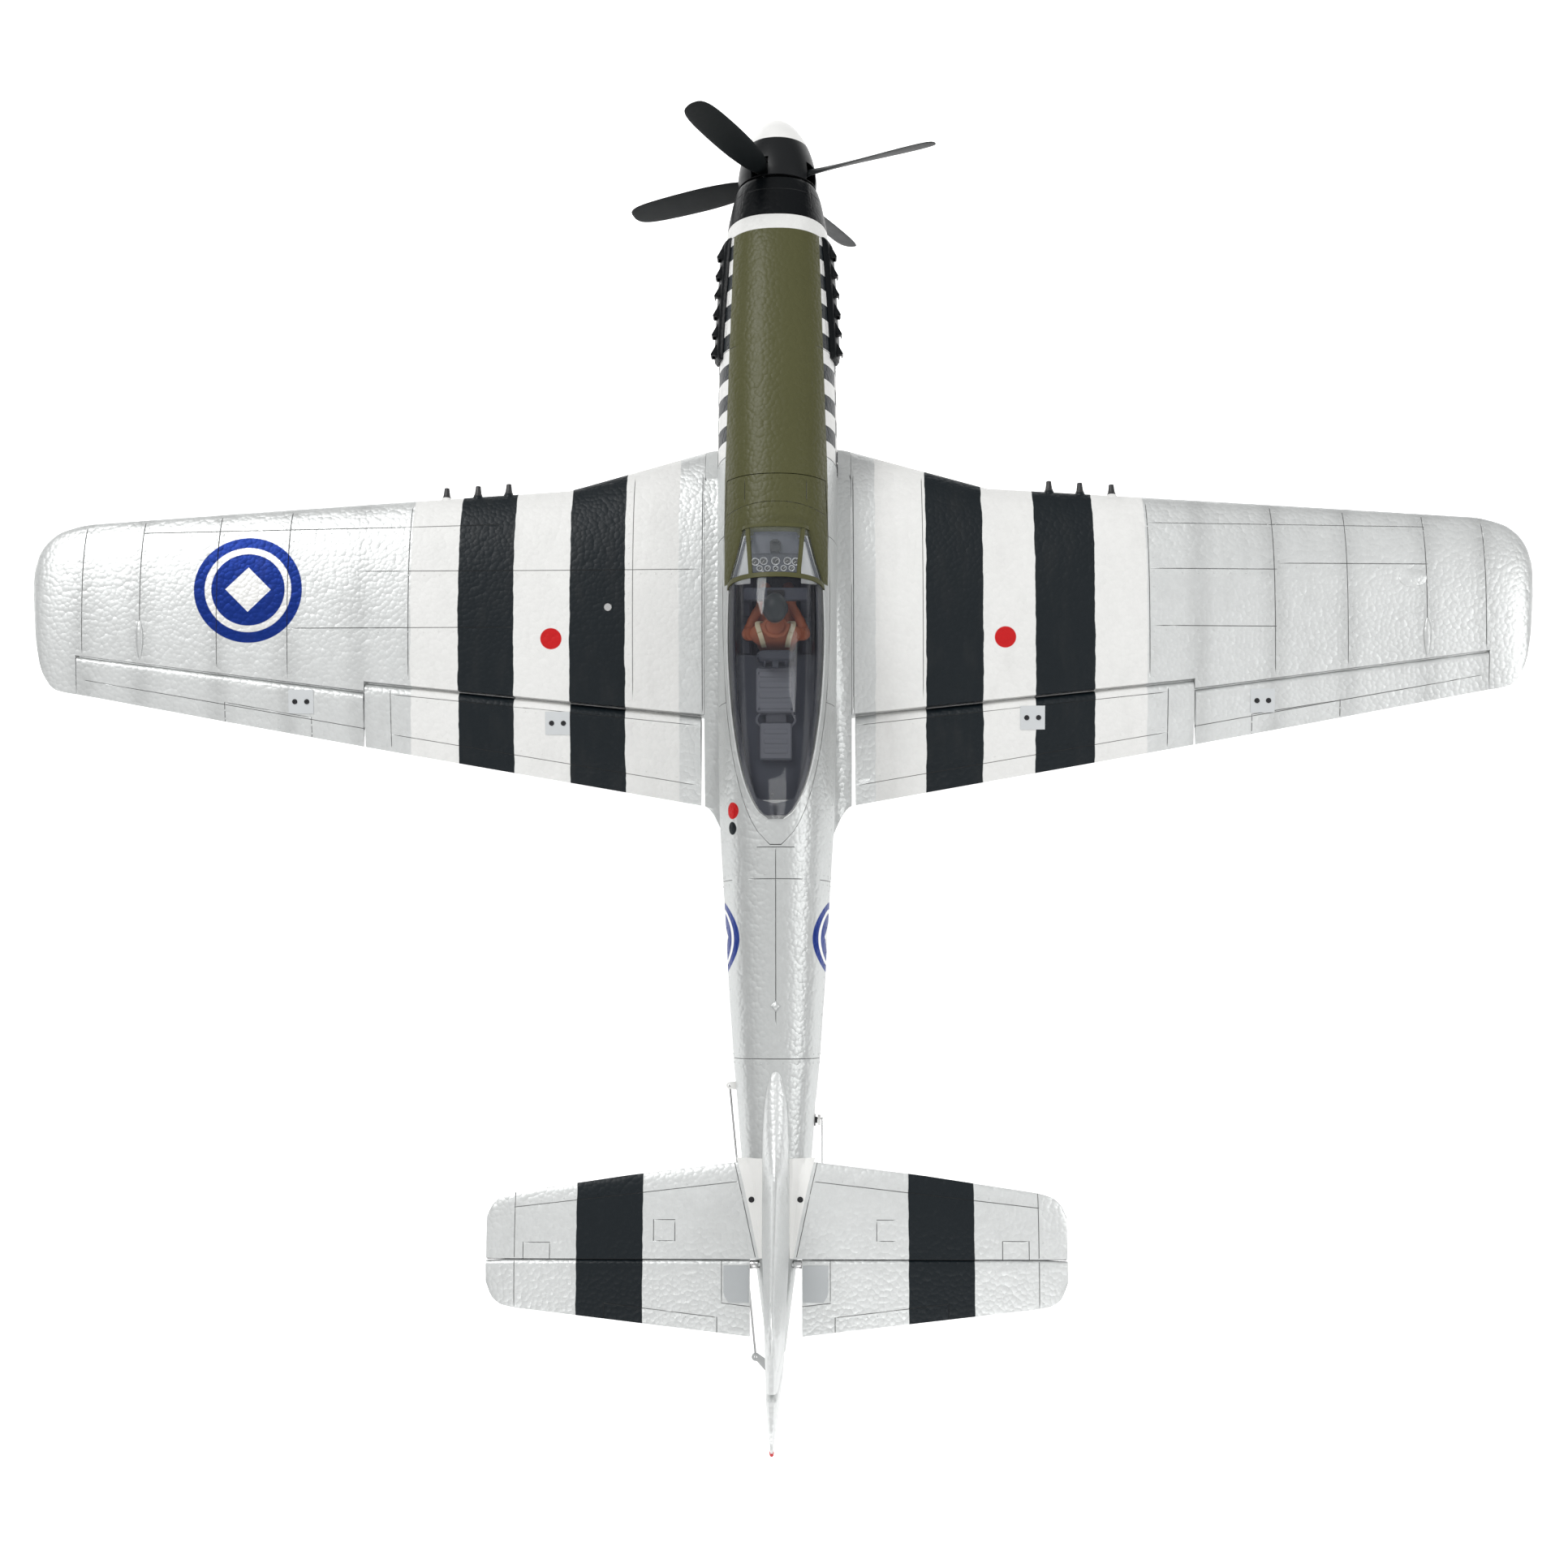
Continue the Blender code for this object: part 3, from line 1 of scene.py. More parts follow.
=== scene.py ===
# Radio-controlled foam warbird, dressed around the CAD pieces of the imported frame.
# Shapes are given in the aircraft frame: mm, +X to the right wing, +Y to the nose, +Z up.
# TO_ROW carries them into the scene in metres, where the nose is raised as on the ground.
import bpy
import bmesh
import json
import numpy as np
from functools import cached_property, reduce
from math import asin, copysign, cos, degrees, hypot, pi, radians, sin, sqrt, tan
from mathutils import Matrix, Vector
from operator import add

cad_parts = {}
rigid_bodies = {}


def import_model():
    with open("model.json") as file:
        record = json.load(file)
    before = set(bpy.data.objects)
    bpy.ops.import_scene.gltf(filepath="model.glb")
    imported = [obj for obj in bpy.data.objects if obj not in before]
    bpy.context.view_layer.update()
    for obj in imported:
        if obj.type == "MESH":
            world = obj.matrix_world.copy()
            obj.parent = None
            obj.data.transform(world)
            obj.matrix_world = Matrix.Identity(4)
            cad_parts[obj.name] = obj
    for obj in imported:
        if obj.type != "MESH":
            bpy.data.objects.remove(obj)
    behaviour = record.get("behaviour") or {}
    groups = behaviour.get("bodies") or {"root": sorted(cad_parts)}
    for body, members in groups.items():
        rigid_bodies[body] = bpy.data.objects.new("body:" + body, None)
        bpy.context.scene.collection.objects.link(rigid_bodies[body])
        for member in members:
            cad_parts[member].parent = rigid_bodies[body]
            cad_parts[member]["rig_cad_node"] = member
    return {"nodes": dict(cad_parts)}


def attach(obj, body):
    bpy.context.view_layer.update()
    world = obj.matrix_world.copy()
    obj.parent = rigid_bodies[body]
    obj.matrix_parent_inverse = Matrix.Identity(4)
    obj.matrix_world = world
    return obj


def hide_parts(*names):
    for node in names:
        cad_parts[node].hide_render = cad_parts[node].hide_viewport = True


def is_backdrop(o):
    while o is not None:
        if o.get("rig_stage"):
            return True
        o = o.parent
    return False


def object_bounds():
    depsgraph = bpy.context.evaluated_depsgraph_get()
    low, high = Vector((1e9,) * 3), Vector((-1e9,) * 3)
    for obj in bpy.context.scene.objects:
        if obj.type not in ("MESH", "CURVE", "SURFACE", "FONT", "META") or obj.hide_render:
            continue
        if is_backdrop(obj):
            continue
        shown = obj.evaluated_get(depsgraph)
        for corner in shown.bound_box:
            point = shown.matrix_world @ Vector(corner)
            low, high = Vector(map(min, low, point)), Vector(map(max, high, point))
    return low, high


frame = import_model()
CAD_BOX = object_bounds()

GROUND_ANGLE = radians(12.391954628292845)
LIFT, SHIFT_Y = 167.81380845792995, -24.15
TO_ROW = (Matrix.Translation((0, SHIFT_Y * 1e-3, LIFT * 1e-3))
          @ Matrix.Rotation(GROUND_ANGLE, 4, "X") @ Matrix.Scale(1e-3, 4))
SCENE = bpy.context.scene
SIDES = ((-1, "left"), (1, "right"))
UP, DOWN, RIGHT, LEFT, FORWARD = (0, 0, 1), (0, 0, -1), (1, 0, 0), (-1, 0, 0), (0, 1, 0)
HALF_TURN = [pi * i / 14 for i in range(15)]     # angles of a rounded nose


def vec(x, y, z):
    return Vector((x, y, z))


# ------------------------------------------------------------------ node graphs
def operation(kind):
    """A method that joins values with a Math node."""
    return lambda *values: values[0].shader.node("Math", values, operation=kind)


class Value:
    """A value in a node graph, with arithmetic."""

    def __init__(self, shader, socket):
        self.shader, self.socket = shader, socket

    __add__ = __radd__ = operation("ADD")
    __sub__ = operation("SUBTRACT")
    __mul__ = __rmul__ = operation("MULTIPLY")
    __truediv__ = operation("DIVIDE")
    abs = operation("ABSOLUTE")
    max = operation("MAXIMUM")
    min = operation("MINIMUM")
    floor = operation("FLOOR")
    sqrt = operation("SQRT")

    def __rsub__(self, other):
        return (self * -1.0) + other

    def ramp(self, low, high, start=0.0, end=1.0, smooth=True):
        return self.shader.node("MapRange", (self, low, high, start, end), clamp=True,
                                interpolation_type="SMOOTHSTEP" if smooth else "LINEAR")

    def edge(self, place, soft=0.25):
        """0 below, 1 above, with a step of the given half width."""
        return self.ramp(place - soft, place + soft, smooth=False)

    def band(self, low, high, soft=0.25):
        return self.edge(low, soft) * (1.0 - self.edge(high, soft))


class Shader:
    """The node graph of a material or world, ending in the named surface node."""

    def __init__(self, owner, surface="Principled BSDF", packed=False):
        self.owner, self.packed = owner, packed
        owner.use_nodes = True
        self.tree = owner.node_tree
        self.surface = self.tree.nodes[surface]

    def feed(self, socket, item):
        if isinstance(item, Value):
            self.tree.links.new(item.socket, socket)
        elif isinstance(item, tuple) and socket.type == "RGBA":
            socket.default_value = (*item, 1.0)
        else:
            socket.default_value = item

    def node(self, kind, inputs=(), output=0, **settings):
        """A new node with its inputs fed in order, or by key when given as a dict."""
        node = self.tree.nodes.new("ShaderNode" + kind)
        for name, setting in settings.items():
            setattr(node, name, setting)
        for key, item in inputs.items() if isinstance(inputs, dict) else enumerate(inputs):
            self.feed(node.inputs[key], item)
        return Value(self, node.outputs[output])

    @cached_property
    def position(self):
        """Aircraft-frame mm stored on the mesh, or row-frame mm for a node shown as packed."""
        if self.packed:
            metres = self.node("TexCoord", output="Object")
            return self.node("Mapping", {0: metres, "Scale": (1000.0, 1000.0, 1000.0)})
        return self.node("Attribute", output="Vector", attribute_name="ac")

    def axes(self):
        outputs = self.node("SeparateXYZ", [self.position]).socket.node.outputs
        return [Value(self, socket) for socket in outputs]

    def scaled(self, scale, offset=(0, 0, 0)):
        return self.node("Mapping", {0: self.position, "Scale": scale, "Location": offset})

    def noise(self, size, detail=3.0, rough=0.5, offset=(0, 0, 0), stretch=(1, 1, 1)):
        place = self.scaled(tuple(factor / size for factor in stretch), offset)
        return self.node("TexNoise", {"Vector": place, "Scale": 1.0, "Detail": detail,
                                      "Roughness": rough}, output="Fac")

    def voronoi(self, size, output, feature, **inputs):
        place = self.scaled((1.0 / size,) * 3)
        return self.node("TexVoronoi", {"Vector": place, "Scale": 1.0, **inputs}, output,
                         feature=feature)

    def mix(self, factor, first, second):
        return self.node("Mix", {0: factor, 6: first, 7: second}, 2, data_type="RGBA")

    def shade(self, colour, value):
        """Colour times a value."""
        grey = self.node("CombineColor", (value, value, value))
        return self.node("Mix", {0: 1.0, 6: colour, 7: grey}, 2, data_type="RGBA",
                         blend_type="MULTIPLY")

    def finish(self, height=None, bump=0.0, strength=0.0, **inputs):
        """Feeds the surface node; bump is the bump distance in metres."""
        if height is not None:
            inputs["Normal"] = self.node("Bump", {"Strength": strength, "Distance": bump,
                                                  "Height": height})
        for name, item in inputs.items():
            self.feed(self.surface.inputs[name.replace("_", " ")], item)
        return self.owner


def new_shader(name, packed=False):
    return Shader(bpy.data.materials.new(name), packed=packed)


# ------------------------------------------------------------------ mesh objects
def merge(parts):
    verts, faces = [], []
    for part_verts, part_faces in parts:
        base = len(verts)
        verts += list(part_verts)
        faces += [tuple(i + base for i in face) for face in part_faces]
    return verts, faces


def mesh_object(name, shape):
    """A clean mesh from an aircraft-frame shape (points, faces), or from a list of shapes."""
    verts, faces = merge(shape) if isinstance(shape, list) else shape
    points = np.asarray([tuple(p) for p in verts], dtype=float)
    mesh = bpy.data.meshes.new(name)
    matrix = np.array(TO_ROW)
    mesh.from_pydata((points @ matrix[:3, :3].T + matrix[:3, 3]).tolist(), [], faces)
    bm = bmesh.new()
    bm.from_mesh(mesh)
    bmesh.ops.remove_doubles(bm, verts=bm.verts, dist=1e-6)
    bmesh.ops.recalc_face_normals(bm, faces=bm.faces)
    if bm.calc_volume(signed=True) < 0:
        bmesh.ops.reverse_faces(bm, faces=bm.faces)
    bm.to_mesh(mesh)
    bm.free()
    obj = bpy.data.objects.new(name, mesh)
    SCENE.collection.objects.link(obj)
    return obj


def smooth(obj, sharp):
    for face in obj.data.polygons:
        face.use_smooth = True
    obj.data.set_sharp_from_angle(angle=radians(sharp))


def make(name, shape, material, body, *replaced, sharp=28.0):
    """A finished piece that rides on a body and stands in for the replaced CAD nodes."""
    obj = mesh_object(name, shape)
    obj.data.materials.append(MAT[material])
    smooth(obj, sharp)
    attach(obj, body)
    if replaced:
        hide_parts(*replaced)
    return obj


def stamp(obj):
    """Stores the aircraft-frame coordinates on the mesh for its materials."""
    mesh = obj.data
    points = np.empty(len(mesh.vertices) * 3)
    mesh.vertices.foreach_get("co", points)
    matrix = np.array(TO_ROW.inverted())
    points = points.reshape(-1, 3) @ matrix[:3, :3].T + matrix[:3, 3]
    layer = mesh.attributes.get("ac") or mesh.attributes.new("ac", "FLOAT_VECTOR", "POINT")
    layer.data.foreach_set("vector", points.ravel())


def boolean(target, shapes, mode="DIFFERENCE", sharp=28.0):
    materials = list(target.data.materials)
    tools = [mesh_object("tool", shape) for shape in shapes]
    for tool in tools:
        modifier = target.modifiers.new("cut", "BOOLEAN")
        modifier.operation, modifier.solver, modifier.object = mode, "EXACT", tool
    graph = bpy.context.evaluated_depsgraph_get()
    graph.update()
    mesh = bpy.data.meshes.new_from_object(target.evaluated_get(graph), depsgraph=graph)
    target.modifiers.clear()
    target.data = mesh
    mesh.materials.clear()
    for material in materials:
        mesh.materials.append(material)
    for face in mesh.polygons:
        if face.material_index >= len(materials):
            face.material_index = 0
    for tool in tools:
        bpy.data.objects.remove(tool, do_unlink=True)
    smooth(target, sharp)


def engrave(obj, lines, up, width=0.9, depth=0.4, facing=0.25):
    """Cuts V grooves seen along up: (x, y) polylines from above or below, else (y, z) ones.
    Only faces whose normal has at least the facing cosine with up are cut."""
    bm = bmesh.new()
    bm.from_mesh(obj.data)
    groove = bm.verts.layers.float.get("groove") or bm.verts.layers.float.new("groove")
    view = (TO_ROW.to_3x3() @ Vector(up)).normalized()
    half = width * 0.5e-3
    segments = []
    for line in lines:
        points = [TO_ROW @ (vec(*p, 0) if up[2] else vec(0, *p)) for p in line]
        segments += list(zip(points[:-1], points[1:]))
    for start, end in segments:
        along = end - start
        along -= view * along.dot(view)
        length = along.length
        if length < 1e-6:
            continue
        along /= length
        across = along.cross(view).normalized()
        bm.faces.ensure_lookup_table()
        picked = []
        for face in bm.faces:
            if face.normal.dot(view) < facing:
                continue
            offsets = [(v.co - start) for v in face.verts]
            ahead = [t.dot(along) for t in offsets]
            aside = [t.dot(across) for t in offsets]
            if (max(ahead) < -half or min(ahead) > length + half
                    or max(aside) < -half * 1.01 or min(aside) > half * 1.01):
                continue
            picked.append(face)
        for place, normal in ((start + across * half, across), (start - across * half, across),
                              (start, across), (start - along * half, along),
                              (end + along * half, along)):
            picked = [f for f in picked if f.is_valid]
            geometry = set(picked)
            for face in picked:
                geometry.update(face.edges)
                geometry.update(face.verts)
            result = bmesh.ops.bisect_plane(bm, geom=list(geometry), dist=1e-7,
                                            plane_co=place, plane_no=normal)
            picked = [g for g in result["geom"] if isinstance(g, bmesh.types.BMFace)]
        seen = set()
        for face in picked:
            for v in face.verts:
                if v in seen:
                    continue
                seen.add(v)
                t = v.co - start
                if (abs(t.dot(across)) < 1e-6 and v[groove] < 0.5
                        and -half * 0.9 < t.dot(along) < length + half * 0.9):
                    v.co -= view * (depth * 1e-3)
                    v[groove] = 1.0
    bm.to_mesh(obj.data)
    bm.free()
    smooth(obj, 22.0)


# ------------------------------------------------------------------ shapes: (points, faces)
def rings(loops):
    """Points of the loops and the side faces between them."""
    n = len(loops[0])
    faces = []
    for k in range(len(loops) - 1):
        a, b = k * n, (k + 1) * n
        for i in range(n):
            j = (i + 1) % n
            faces.append((a + i, a + j, b + j, b + i))
    return [v for loop in loops for v in loop], faces


def loft(loops):
    """Closed skin whose end caps are strips across each end loop."""
    n = len(loops[0])
    verts, faces = rings(loops)
    for base in (0, (len(loops) - 1) * n):
        for i in range(n // 2 - 1 + (n % 2)):
            corners = (base + i, base + i + 1, base + n - 2 - i, base + n - 1 - i)
            face = list(dict.fromkeys(corners))
            if len(face) > 2:
                faces.append(tuple(face))
    return verts, faces


def closed(loops):
    """Closed skin with one flat face at each end."""
    n, last = len(loops[0]), (len(loops) - 1) * len(loops[0])
    verts, faces = rings(loops)
    return verts, faces + [tuple(range(n)), tuple(last + i for i in range(n))]


def shell_loft(outer, inner):
    return loft([list(o) + list(reversed(i)) for o, i in zip(outer, inner)])


def frame_from(axis):
    axis = Vector(axis).normalized()
    up = Vector(UP)
    if abs(axis.dot(up)) > 0.98:
        up = Vector(FORWARD)
    across = up.cross(axis).normalized()
    return across, axis.cross(across).normalized(), axis


def revolve(profile, centre, axis, n=48, ring=False):
    """Turns (radius, height) points about an axis; ring joins the last point to the first."""
    across, upward, axis = frame_from(axis)
    centre = Vector(centre)
    verts, index = [], []
    for r, h in profile:
        if r < 1e-9:
            index.append([len(verts)] * n)
            verts.append(centre + axis * h)
        else:
            index.append(list(range(len(verts), len(verts) + n)))
            for i in range(n):
                angle = 2 * pi * i / n
                verts.append(centre + axis * h + across * (r * cos(angle))
                             + upward * (r * sin(angle)))
    faces = []
    count = len(profile)
    for k in range(count if ring else count - 1):
        p, q = index[k], index[(k + 1) % count]
        for i in range(n):
            j = (i + 1) % n
            face = list(dict.fromkeys((p[i], p[j], q[j], q[i])))
            if len(face) > 2:
                faces.append(tuple(face))
    return verts, faces


def cylinder(start, end, r, n=24):
    axis = Vector(end) - Vector(start)
    return revolve([(0, 0), (r, 0), (r, axis.length), (0, axis.length)], start, axis, n)


def block(centre, size, x_axis=(1, 0, 0), y_axis=(0, 1, 0), z_axis=(0, 0, 1)):
    centre, x_axis, y_axis, z_axis = map(Vector, (centre, x_axis, y_axis, z_axis))
    verts = []
    for k in (-0.5, 0.5):
        for i, j in ((-0.5, -0.5), (0.5, -0.5), (0.5, 0.5), (-0.5, 0.5)):
            verts.append(centre + x_axis * (i * size[0]) + y_axis * (j * size[1])
                         + z_axis * (k * size[2]))
    return verts, [(3, 2, 1, 0), (4, 5, 6, 7), (0, 1, 5, 4), (1, 2, 6, 5), (2, 3, 7, 6),
                   (3, 0, 4, 7)]


def prism(outline, low, high, put=vec):
    """An outline carried from low to high; put places its points."""
    n = len(outline)
    verts = [put(x, y, low) for x, y in outline] + [put(x, y, high) for x, y in outline]
    faces = [tuple(reversed(range(n))), tuple(range(n, 2 * n))]
    return verts, faces + [(i, (i + 1) % n, n + (i + 1) % n, n + i) for i in range(n)]


def mirror(shape, side):
    """The shape itself for side 1, its mirror image across x = 0 for side -1."""
    if side > 0:
        return shape
    return [vec(-p[0], p[1], p[2]) for p in shape[0]], [tuple(reversed(f)) for f in shape[1]]


def dome(centre, normal, r, h, n=8):
    """A rivet or screw head: a low closed dome."""
    profile = [(0, -0.3), (r, -0.3), (r, 0.15 * h), (0.72 * r, 0.75 * h), (0, h)]
    return revolve(profile, centre, normal, n)


def ellipsoid(centre, radii, n=36, m=24, tilt=0.0):
    profile = [(sin(pi * k / m) if 0 < k < m else 0.0, -cos(pi * k / m)) for k in range(m + 1)]
    verts, faces = revolve(profile, (0, 0, 0), UP, n)
    turn = Matrix.Rotation(tilt, 3, "X")
    return [turn @ vec(p[0] * radii[0], p[1] * radii[1], p[2] * radii[2]) + Vector(centre)
            for p in verts], faces


def tube(path, r, n=14):
    """A round tube along a path; r is one radius or one per point."""
    points = [Vector(p) for p in path]
    radii = r if isinstance(r, list) else [r] * len(points)
    loops, across = [], None
    for k, p in enumerate(points):
        d = (points[min(k + 1, len(points) - 1)] - points[max(k - 1, 0)]).normalized()
        s = frame_from(d)[0] if across is None else (across - d * across.dot(d)).normalized()
        across, t = s, d.cross(s).normalized()
        loops.append([p + s * (radii[k] * cos(2 * pi * i / n))
                      + t * (radii[k] * sin(2 * pi * i / n)) for i in range(n)])
    return loft(loops)


def spline(points, m=6):
    """Points of a smooth curve through the given points, m to a span."""
    pts = [Vector(p) for p in points]
    pts = [pts[0] * 2 - pts[1]] + pts + [pts[-1] * 2 - pts[-2]]
    out = []
    for a, b, c, d in zip(pts, pts[1:], pts[2:], pts[3:]):
        for i in range(m):
            t = i / m
            out.append(0.5 * (2 * b + (c - a) * t + (2 * a - 5 * b + 4 * c - d) * t * t
                              + (3 * b - a - 3 * c + d) * t ** 3))
    return out + [pts[-2]]


def rounded_box(centre, size, r, x_axis=(1, 0, 0), y_axis=(0, 1, 0), z_axis=(0, 0, 1)):
    """Box with rounded upright edges and a softened top and bottom rim."""
    centre, x_axis, y_axis, z_axis = map(Vector, (centre, x_axis, y_axis, z_axis))
    soft = 0.45 * r
    loops = []
    for half, inset, shift in ((-0.5, soft, 0), (-0.5, 0, soft), (0.5, 0, -soft), (0.5, soft, 0)):
        height = half * size[2] + shift
        half_x, half_y = size[0] / 2 - inset, size[1] / 2 - inset
        corner = max(0.05, r - inset * 0.5)
        loop = []
        for quarter, (sx, sy) in enumerate(((1, 1), (-1, 1), (-1, -1), (1, -1))):
            for i in range(5):
                angle = pi / 2 * (quarter + i / 4)
                loop.append(centre + x_axis * (sx * (half_x - corner) + corner * cos(angle))
                            + y_axis * (sy * (half_y - corner) + corner * sin(angle))
                            + z_axis * height)
        loops.append(loop)
    return closed(loops)


def rounded_boxes(rows):
    return [rounded_box(*row) for row in rows]


def dense(stations, step):
    """Stations with evenly divided gaps of at most about two steps."""
    out = []
    for a, b in zip(stations[:-1], stations[1:]):
        m = max(1, int(abs(b - a) / step))
        out += [a + (b - a) * i / m for i in range(m)]
    return out + [stations[-1]]


def along_lines(lines, step):
    """Evenly spaced (x, y) places along polylines, ends included."""
    for line in lines:
        for (x0, y0), (x1, y1) in zip(line[:-1], line[1:]):
            m = max(1, int(hypot(x1 - x0, y1 - y0) / step))
            for i in range(m + 1):
                yield x0 + (x1 - x0) * i / m, y0 + (y1 - y0) * i / m


def cosine_steps(n):
    return [0.5 - 0.5 * cos(pi * i / (n - 1)) for i in range(n)]


# ------------------------------------------------------------------ outlines of the airframe
# y, half width, top z, bottom z, z of the widest place
FUSELAGE = [
    (490, 33.2, 32.4, -45, -7), (488, 34.4, 33.5, -47, -7), (470, 38.9, 37.9, -51, -8),
    (455, 41.5, 41, -55, -8), (442, 42.6, 43, -57, -9), (400, 45.2, 47, -62, -10),
    (345, 47.7, 51, -66, -10), (283, 48.4, 55, -70, -10), (235, 48.4, 58, -72, -10),
    (192, 48.2, 60, -73, -10), (148, 48.0, 58.5, -73, -10), (100, 47.6, 56, -73, -10),
    (50, 47.0, 53, -71, -9), (0, 46.0, 50.5, -67, -7), (-33, 45.0, 49, -62, -5),
    (-60, 43.4, 47, -58, -4), (-92, 41.4, 44.5, -53, -3), (-124, 39.4, 42.5, -47.5, -1),
    (-156, 37.7, 40.5, -42, 0), (-187, 35.4, 39, -37, 2), (-218, 33.1, 38, -32, 4),
    (-249, 30.1, 37.4, -27, 6), (-280, 27.6, 37, -22, 8), (-310, 24.2, 36.8, -17, 10),
    (-340, 19.5, 36.3, -12, 12), (-364, 16.0, 35, -8, 13), (-400, 11.0, 31, -3, 14),
    (-431, 7.0, 26, 2, 14),
]
BODY_POWER = 2.35                # how square the fuselage section is
# x, leading edge y, trailing edge y, thickness over chord
WING = [
    (60, 284.5, -12.3, 0.150), (172, 249.5, 6.5, 0.142), (300, 238.0, 28.0, 0.132),
    (430, 226.0, 50.5, 0.122), (556, 214.0, 73.0, 0.112), (580, 207.0, 77.5, 0.100),
    (591, 198.0, 92.0, 0.085), (597, 188.0, 118.0, 0.070), (600, 177.0, 148.0, 0.06),
]
WING_ROOT, WING_TIP_START = 60, 556
WING_Z, DIHEDRAL, INCIDENCE = -50.0, 5.0, 1.0      # mm, degrees, degrees
# inner x, gap y there, outer x, gap y there
FLAP = (63.2, 61.5, 334.0, 86.0)
AILERON = (335.5, 78.6, 563.0, 105.0)
# x, edge y
STAB = [(0, -287.0), (30, -291.0), (110, -300.5), (194, -313.0), (207, -316.6), (214, -322.5),
        (218, -331.0)]
ELEVATOR_EDGE = [(0, -420.0), (15, -419.0), (192, -398.5), (205, -396.0), (213, -390.5),
                 (218, -379.0)]
TAIL_Z, ELEVATOR_HINGE, RUDDER_HINGE, STAB_REAR = 27.0, -366.0, -438.0, -361.8
STAB_THICKNESS = 0.068
# z, edge y
FIN_EDGE = [(20, -190), (30, -204), (38, -222), (42, -243), (46, -262), (52, -283), (60, -299),
            (80, -318), (110, -345), (140, -372), (149, -381), (154, -390), (157, -404)]
RUDDER_EDGE = [(-3, -462), (8, -470), (40, -476), (80, -477), (130, -475), (148, -472),
               (154, -466), (156.5, -456)]
# z, half thickness
FIN_HALF = [(20, 10.5), (60, 9.6), (110, 7.6), (149, 6.0), (154, 4.8), (157, 2.6)]
RUDDER_HALF = [(-3, 5.2), (8, 6.0), (60, 6.0), (110, 4.9), (149, 4.0), (154, 3.2), (156.5, 1.8)]
# y, half width
HATCH = [(235.5, 38.5), (148, 42.0), (109, 41.4), (66, 39.2), (26, 34.6), (-3, 28.8),
         (-25, 22.2), (-42, 13.6), (-52, 4.0)]
HATCH_INNER_Y = [192, 148, 109, 66, 46, 26, 10, -3, -14, -25, -34, -42, -48]
# y, half width, top z
BUBBLE = [(193, 25.0, 66.0), (170, 31.0, 78.0), (148, 37.0, 87.5), (109, 38.0, 92.0),
          (66, 36.0, 87.0), (26, 31.2, 76.5), (-3, 24.6, 65.0), (-20, 17.6, 57.0),
          (-28, 12.4, 53.6), (-33, 5.5, 51.5)]
SPAR_Y, SPAR_Z, SPAR_HOLE = 140, -46, 4.3


def curve(rows, place, col):
    """Smooth value of a column without overshoot; the first column runs downwards."""
    if place >= rows[0][0]:
        return rows[0][col]
    if place <= rows[-1][0]:
        return rows[-1][col]
    k = next(k for k in range(len(rows) - 1) if rows[k][0] >= place >= rows[k + 1][0])
    x1, x2, y1, y2 = rows[k][0], rows[k + 1][0], rows[k][col], rows[k + 1][col]
    chord = (y2 - y1) / (x2 - x1)

    def slope(a, b, c):
        s1 = (b[col] - a[col]) / (b[0] - a[0])
        s2 = (c[col] - b[col]) / (c[0] - b[0])
        return 0.0 if s1 * s2 <= 0 else 2 * s1 * s2 / (s1 + s2)

    m1 = slope(rows[k - 1], rows[k], rows[k + 1]) if k > 0 else chord
    m2 = slope(rows[k], rows[k + 1], rows[k + 2]) if k < len(rows) - 2 else chord
    h = x2 - x1
    t = (place - x1) / h
    return ((2 * t ** 3 - 3 * t ** 2 + 1) * y1 + (t ** 3 - 2 * t ** 2 + t) * h * m1
            + (-2 * t ** 3 + 3 * t ** 2) * y2 + (t ** 3 - t ** 2) * h * m2)


def linear(rows, place, col):
    """Straight-line value, carried on past the ends; the first column runs upwards."""
    last = len(rows) - 2
    k = next((k for k in range(last) if place <= rows[k + 1][0]), last)
    a, b = rows[k], rows[k + 1]
    return a[col] + (b[col] - a[col]) * (place - a[0]) / (b[0] - a[0])


def rounded(rows, place, col):
    """Smooth form of linear."""
    return curve([(-row[0], *row[1:]) for row in rows], -place, col)


def fuselage_section(y, offset=0.0):
    half, top, bottom, middle = (curve(FUSELAGE, y, col) for col in (1, 2, 3, 4))
    return half + offset, top + offset, bottom - offset, middle


def fuselage_ring(y, offset, n):
    half, top, bottom, middle = fuselage_section(y, offset)
    power = 2.0 / BODY_POWER
    right = []
    for i in range(n):
        s, c = sin(pi * i / (n - 1)), cos(pi * i / (n - 1))
        z = middle + (top - middle) * c ** power if c >= 0 else \
            middle - (middle - bottom) * (-c) ** power
        right.append(vec(half * abs(s) ** power, y, z))
    return right + [vec(-p.x, p.y, p.z) for p in reversed(right[1:-1])]


def fuselage_solid(offset, front, rear, step, n=36):
    """The fuselage between two stations; offset is a number or a function of y."""
    k = max(2, int((front - rear) / step))
    ys = [front + (rear - front) * i / k for i in range(k + 1)]
    return closed([fuselage_ring(y, offset(y) if callable(offset) else offset, n) for y in ys])


def skin_x(y, z, offset=0.0):
    half, top, bottom, middle = fuselage_section(y, offset)
    k = (z - middle) / (top - middle) if z > middle else (middle - z) / (middle - bottom)
    return half * max(0.0, 1 - min(1.0, k) ** BODY_POWER) ** (1 / BODY_POWER)


def skin_z(y, x):
    """Height of the fuselage top."""
    half, top, _, middle = fuselage_section(y)
    k = min(1.0, abs(x) / half)
    return middle + (top - middle) * max(0.0, 1 - k ** BODY_POWER) ** (1 / BODY_POWER)


def hatch_half(y):
    return curve(HATCH, y, 1)


